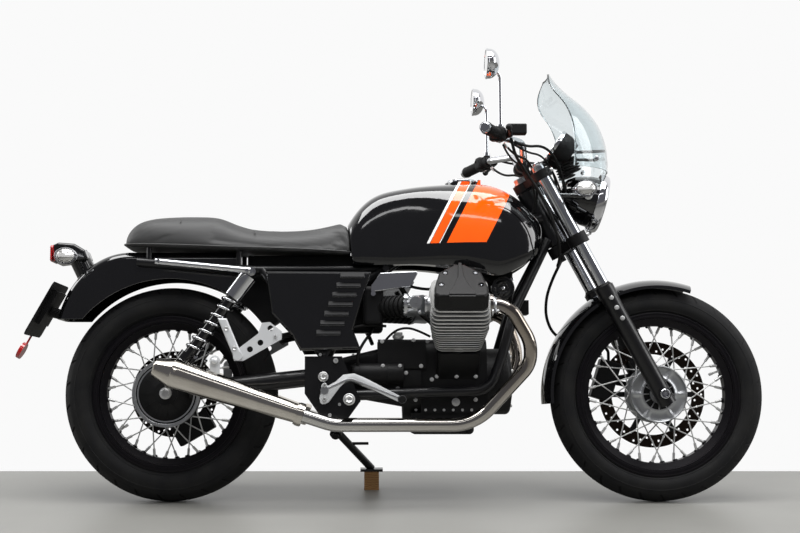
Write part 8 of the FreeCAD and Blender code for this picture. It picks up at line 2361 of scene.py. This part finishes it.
@dataclass
class Studio:
    """A plain pale floor, soft lamps, a white wall all round and the photograph's camera.

    Attributes:
        floor: The floor's sRGB colour.
        worn_floor: The sRGB colour of its clouds.
        wall: The sRGB colour of the wall behind the motorcycle.
        room: The sRGB colour that mirrors see of the dim room before it.
        distance: From the wheels' line to the lens, in metres.
        camera_x: The lens's place along the motorcycle, in bike millimetres.
        camera_z: The lens's height above the floor, in metres.
        focal: The focal length in millimetres on a 36 mm sensor.
        edge: How far behind the wheels' line the floor ends, in metres.
        shift: The frame's sideways shift, in frame widths.
        rise: The frame's upward shift, in frame widths.
    """

    floor: str = "#82817D"
    worn_floor: str = "#74736F"
    wall: str = "#FAFAFA"
    room: str = "#5E5E62"
    distance: float = 4.25
    camera_x: float = 572.0
    camera_z: float = 0.718
    focal: float = 64.3
    edge: float = 0.61
    shift: float = 0.0463
    rise: float = -0.0081

    def surround(self) -> None:
        """Fills the world with soft white light. Camera and glass see a white wall, and paint and chrome a room.

        What they mirror is white behind the motorcycle, dim before it and the floor's colour below the horizon.
        """
        world = bpy.data.worlds.new("studio")
        bpy.context.scene.world = world
        world.use_nodes = True
        tree = world.node_tree
        tree.nodes.clear()
        light = add_node(tree, "ShaderNodeBackground", {"Color": linear("#E8ECF0"), "Strength": 0.5})
        seen = add_node(tree, "ShaderNodeBackground", {"Color": linear(self.wall), "Strength": 1.0})
        where = add_node(tree, "ShaderNodeTexCoord")
        parts = add_node(tree, "ShaderNodeSeparateXYZ", {"Vector": where.outputs["Generated"]})
        behind = add_node(tree, "ShaderNodeMapRange", {
            "Value": parts.outputs["Y"], "From Min": -0.35, "From Max": 0.3,
        }, interpolation_type="SMOOTHSTEP")
        room = blend(tree, behind.outputs["Result"], linear(self.room), linear(self.wall))
        above = maths(tree, "GREATER_THAN", parts.outputs["Z"], 0.0)
        grounded = blend(tree, above, linear(self.floor), room)
        mirrored_room = add_node(tree, "ShaderNodeBackground", {"Color": grounded, "Strength": 1.0})
        path = add_node(tree, "ShaderNodeLightPath")
        through = maths(tree, "MAXIMUM", path.outputs["Is Camera Ray"], path.outputs["Is Transmission Ray"])
        lit = add_node(tree, "ShaderNodeMixShader", {
            "Fac": path.outputs["Is Glossy Ray"], 1: light.outputs["Background"],
            2: mirrored_room.outputs["Background"],
        })
        mix = add_node(tree, "ShaderNodeMixShader", {
            "Fac": through, 1: lit.outputs["Shader"], 2: seen.outputs["Background"],
        })
        add_node(tree, "ShaderNodeOutputWorld", {"Surface": mix.outputs["Shader"]})

    def ground(self) -> None:
        """Lays the pale floor."""
        bpy.ops.object.select_all(action="DESELECT")
        far_edge = space.point(self.camera_x, 0, 0).y + self.edge
        bpy.ops.mesh.primitive_plane_add(size=1.0, location=(0, far_edge - 2.6, 0))
        floor = bpy.context.object
        floor.name = "studio_floor"
        floor.data.transform(Matrix.Diagonal((14, 5.2, 1, 1)))
        material = bpy.data.materials.new("studio_concrete")
        material.use_nodes = True
        tree = material.node_tree
        shader = tree.nodes["Principled BSDF"]
        where = add_node(tree, "ShaderNodeTexCoord")
        cloud = add_node(tree, "ShaderNodeTexNoise", {
            "Vector": where.outputs["Object"], "Scale": 3.0, "Detail": 8.0,
        })
        mixed = blend(tree, cloud.outputs["Fac"], linear(self.floor), linear(self.worn_floor))
        tree.links.new(mixed, shader.inputs["Base Color"])
        shader.inputs["Roughness"].default_value = 0.45
        floor.data.materials.append(material)

    def lamp(self, name: str, place: Point, aim: Point, size: tuple[float, float], power: float,
             mirrored: bool = True) -> None:
        """Hangs one soft box.

        Args:
            name: The lamp's name.
            place: Where it hangs, in metres.
            aim: The point that it faces.
            size: Its width and height in metres.
            power: Its power in watts.
            mirrored: Whether paint and chrome show it.
        """
        data = bpy.data.lights.new(name, "AREA")
        data.shape = "RECTANGLE"
        data.size, data.size_y = size
        data.energy = power
        lamp = bpy.data.objects.new(name, data)
        bpy.context.scene.collection.objects.link(lamp)
        lamp.location = place
        lamp.visible_glossy = mirrored
        lamp.rotation_euler = (Vector(aim) - Vector(place)).to_track_quat("-Z", "Y").to_euler()

    def camera(self) -> None:
        """Places the photograph's camera: level, square to the motorcycle and shifted as the frame is."""
        data = bpy.data.cameras.new("photo_camera")
        data.lens = self.focal
        data.sensor_width = 36.0
        data.shift_x = self.shift
        data.shift_y = self.rise
        lens = bpy.data.objects.new("photo_camera", data)
        bpy.context.scene.collection.objects.link(lens)
        contact = space.point(self.camera_x, 0, 0)
        lens.location = (contact.x, contact.y - self.distance, self.camera_z)
        lens.rotation_euler = (math.radians(90), 0, 0)
        bpy.context.scene.camera = lens

    def build(self) -> None:
        """Sets the whole studio up."""
        bpy.context.scene.view_settings.view_transform = "Standard"
        self.surround()
        self.ground()
        self.lamp("overhead_box", (0.0, -0.6, 3.2), (0, 0, 0.4), (4.2, 1.5), 150.0)
        self.lamp("front_box", (0.6, -3.7, 3.5), (0, 0, 0.6), (4.2, 1.3), 105.0, False)
        self.lamp("rear_box", (-3.4, 0.5, 1.8), (0, 0, 0.6), (1.4, 2.0), 35.0)
        self.lamp("strip_box", (0.2, -3.2, 3.3), (0, 0, 0.6), (3.6, 0.22), 9.0)
        self.lamp("nose_box", (3.4, -0.8, 1.8), (0, 0, 0.6), (1.4, 2.0), 35.0)
        self.camera()


def main() -> None:
    """Builds the studio, dresses every node and adds the fine pieces."""
    logging.basicConfig(level=logging.INFO, format="%(message)s")
    Studio().build()
    for finish, names in NODE_FINISHES:
        for name in names.split():
            dress(frame["nodes"][name], finish)
            log.info("%s: %s", name, finish.name)
    front = SpokedWheel("front", Body.FRONT_WHEEL, FRONT_AXLE, tyre_radius=317, tyre_width=100, bead_radius=228,
                        rim_width=78, rubber=FRONT_TYRE_RUBBER, anodised=FRONT_RIM, blocks=30)
    rear = SpokedWheel("rear", Body.REAR_WHEEL, REAR_AXLE, tyre_radius=318, tyre_width=130, bead_radius=216,
                       rim_width=92, rubber=REAR_TYRE_RUBBER, anodised=REAR_RIM, blocks=28)
    for assembly in (front, rear, FrontHub(), FrontFork(), Lighting(), Clocks(), Handlebars(), Windscreen(),
                     Cylinder(Side.RIGHT), Cylinder(Side.LEFT), EngineCases(), HornDetail(), Exhaust(Side.RIGHT),
                     Exhaust(Side.LEFT), Controls(), RearEnd(), Tail(), TankFittings(), StandDetail(), Saddle()):
        assembly.build()
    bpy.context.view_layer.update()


if __name__ == "__main__":
    main()
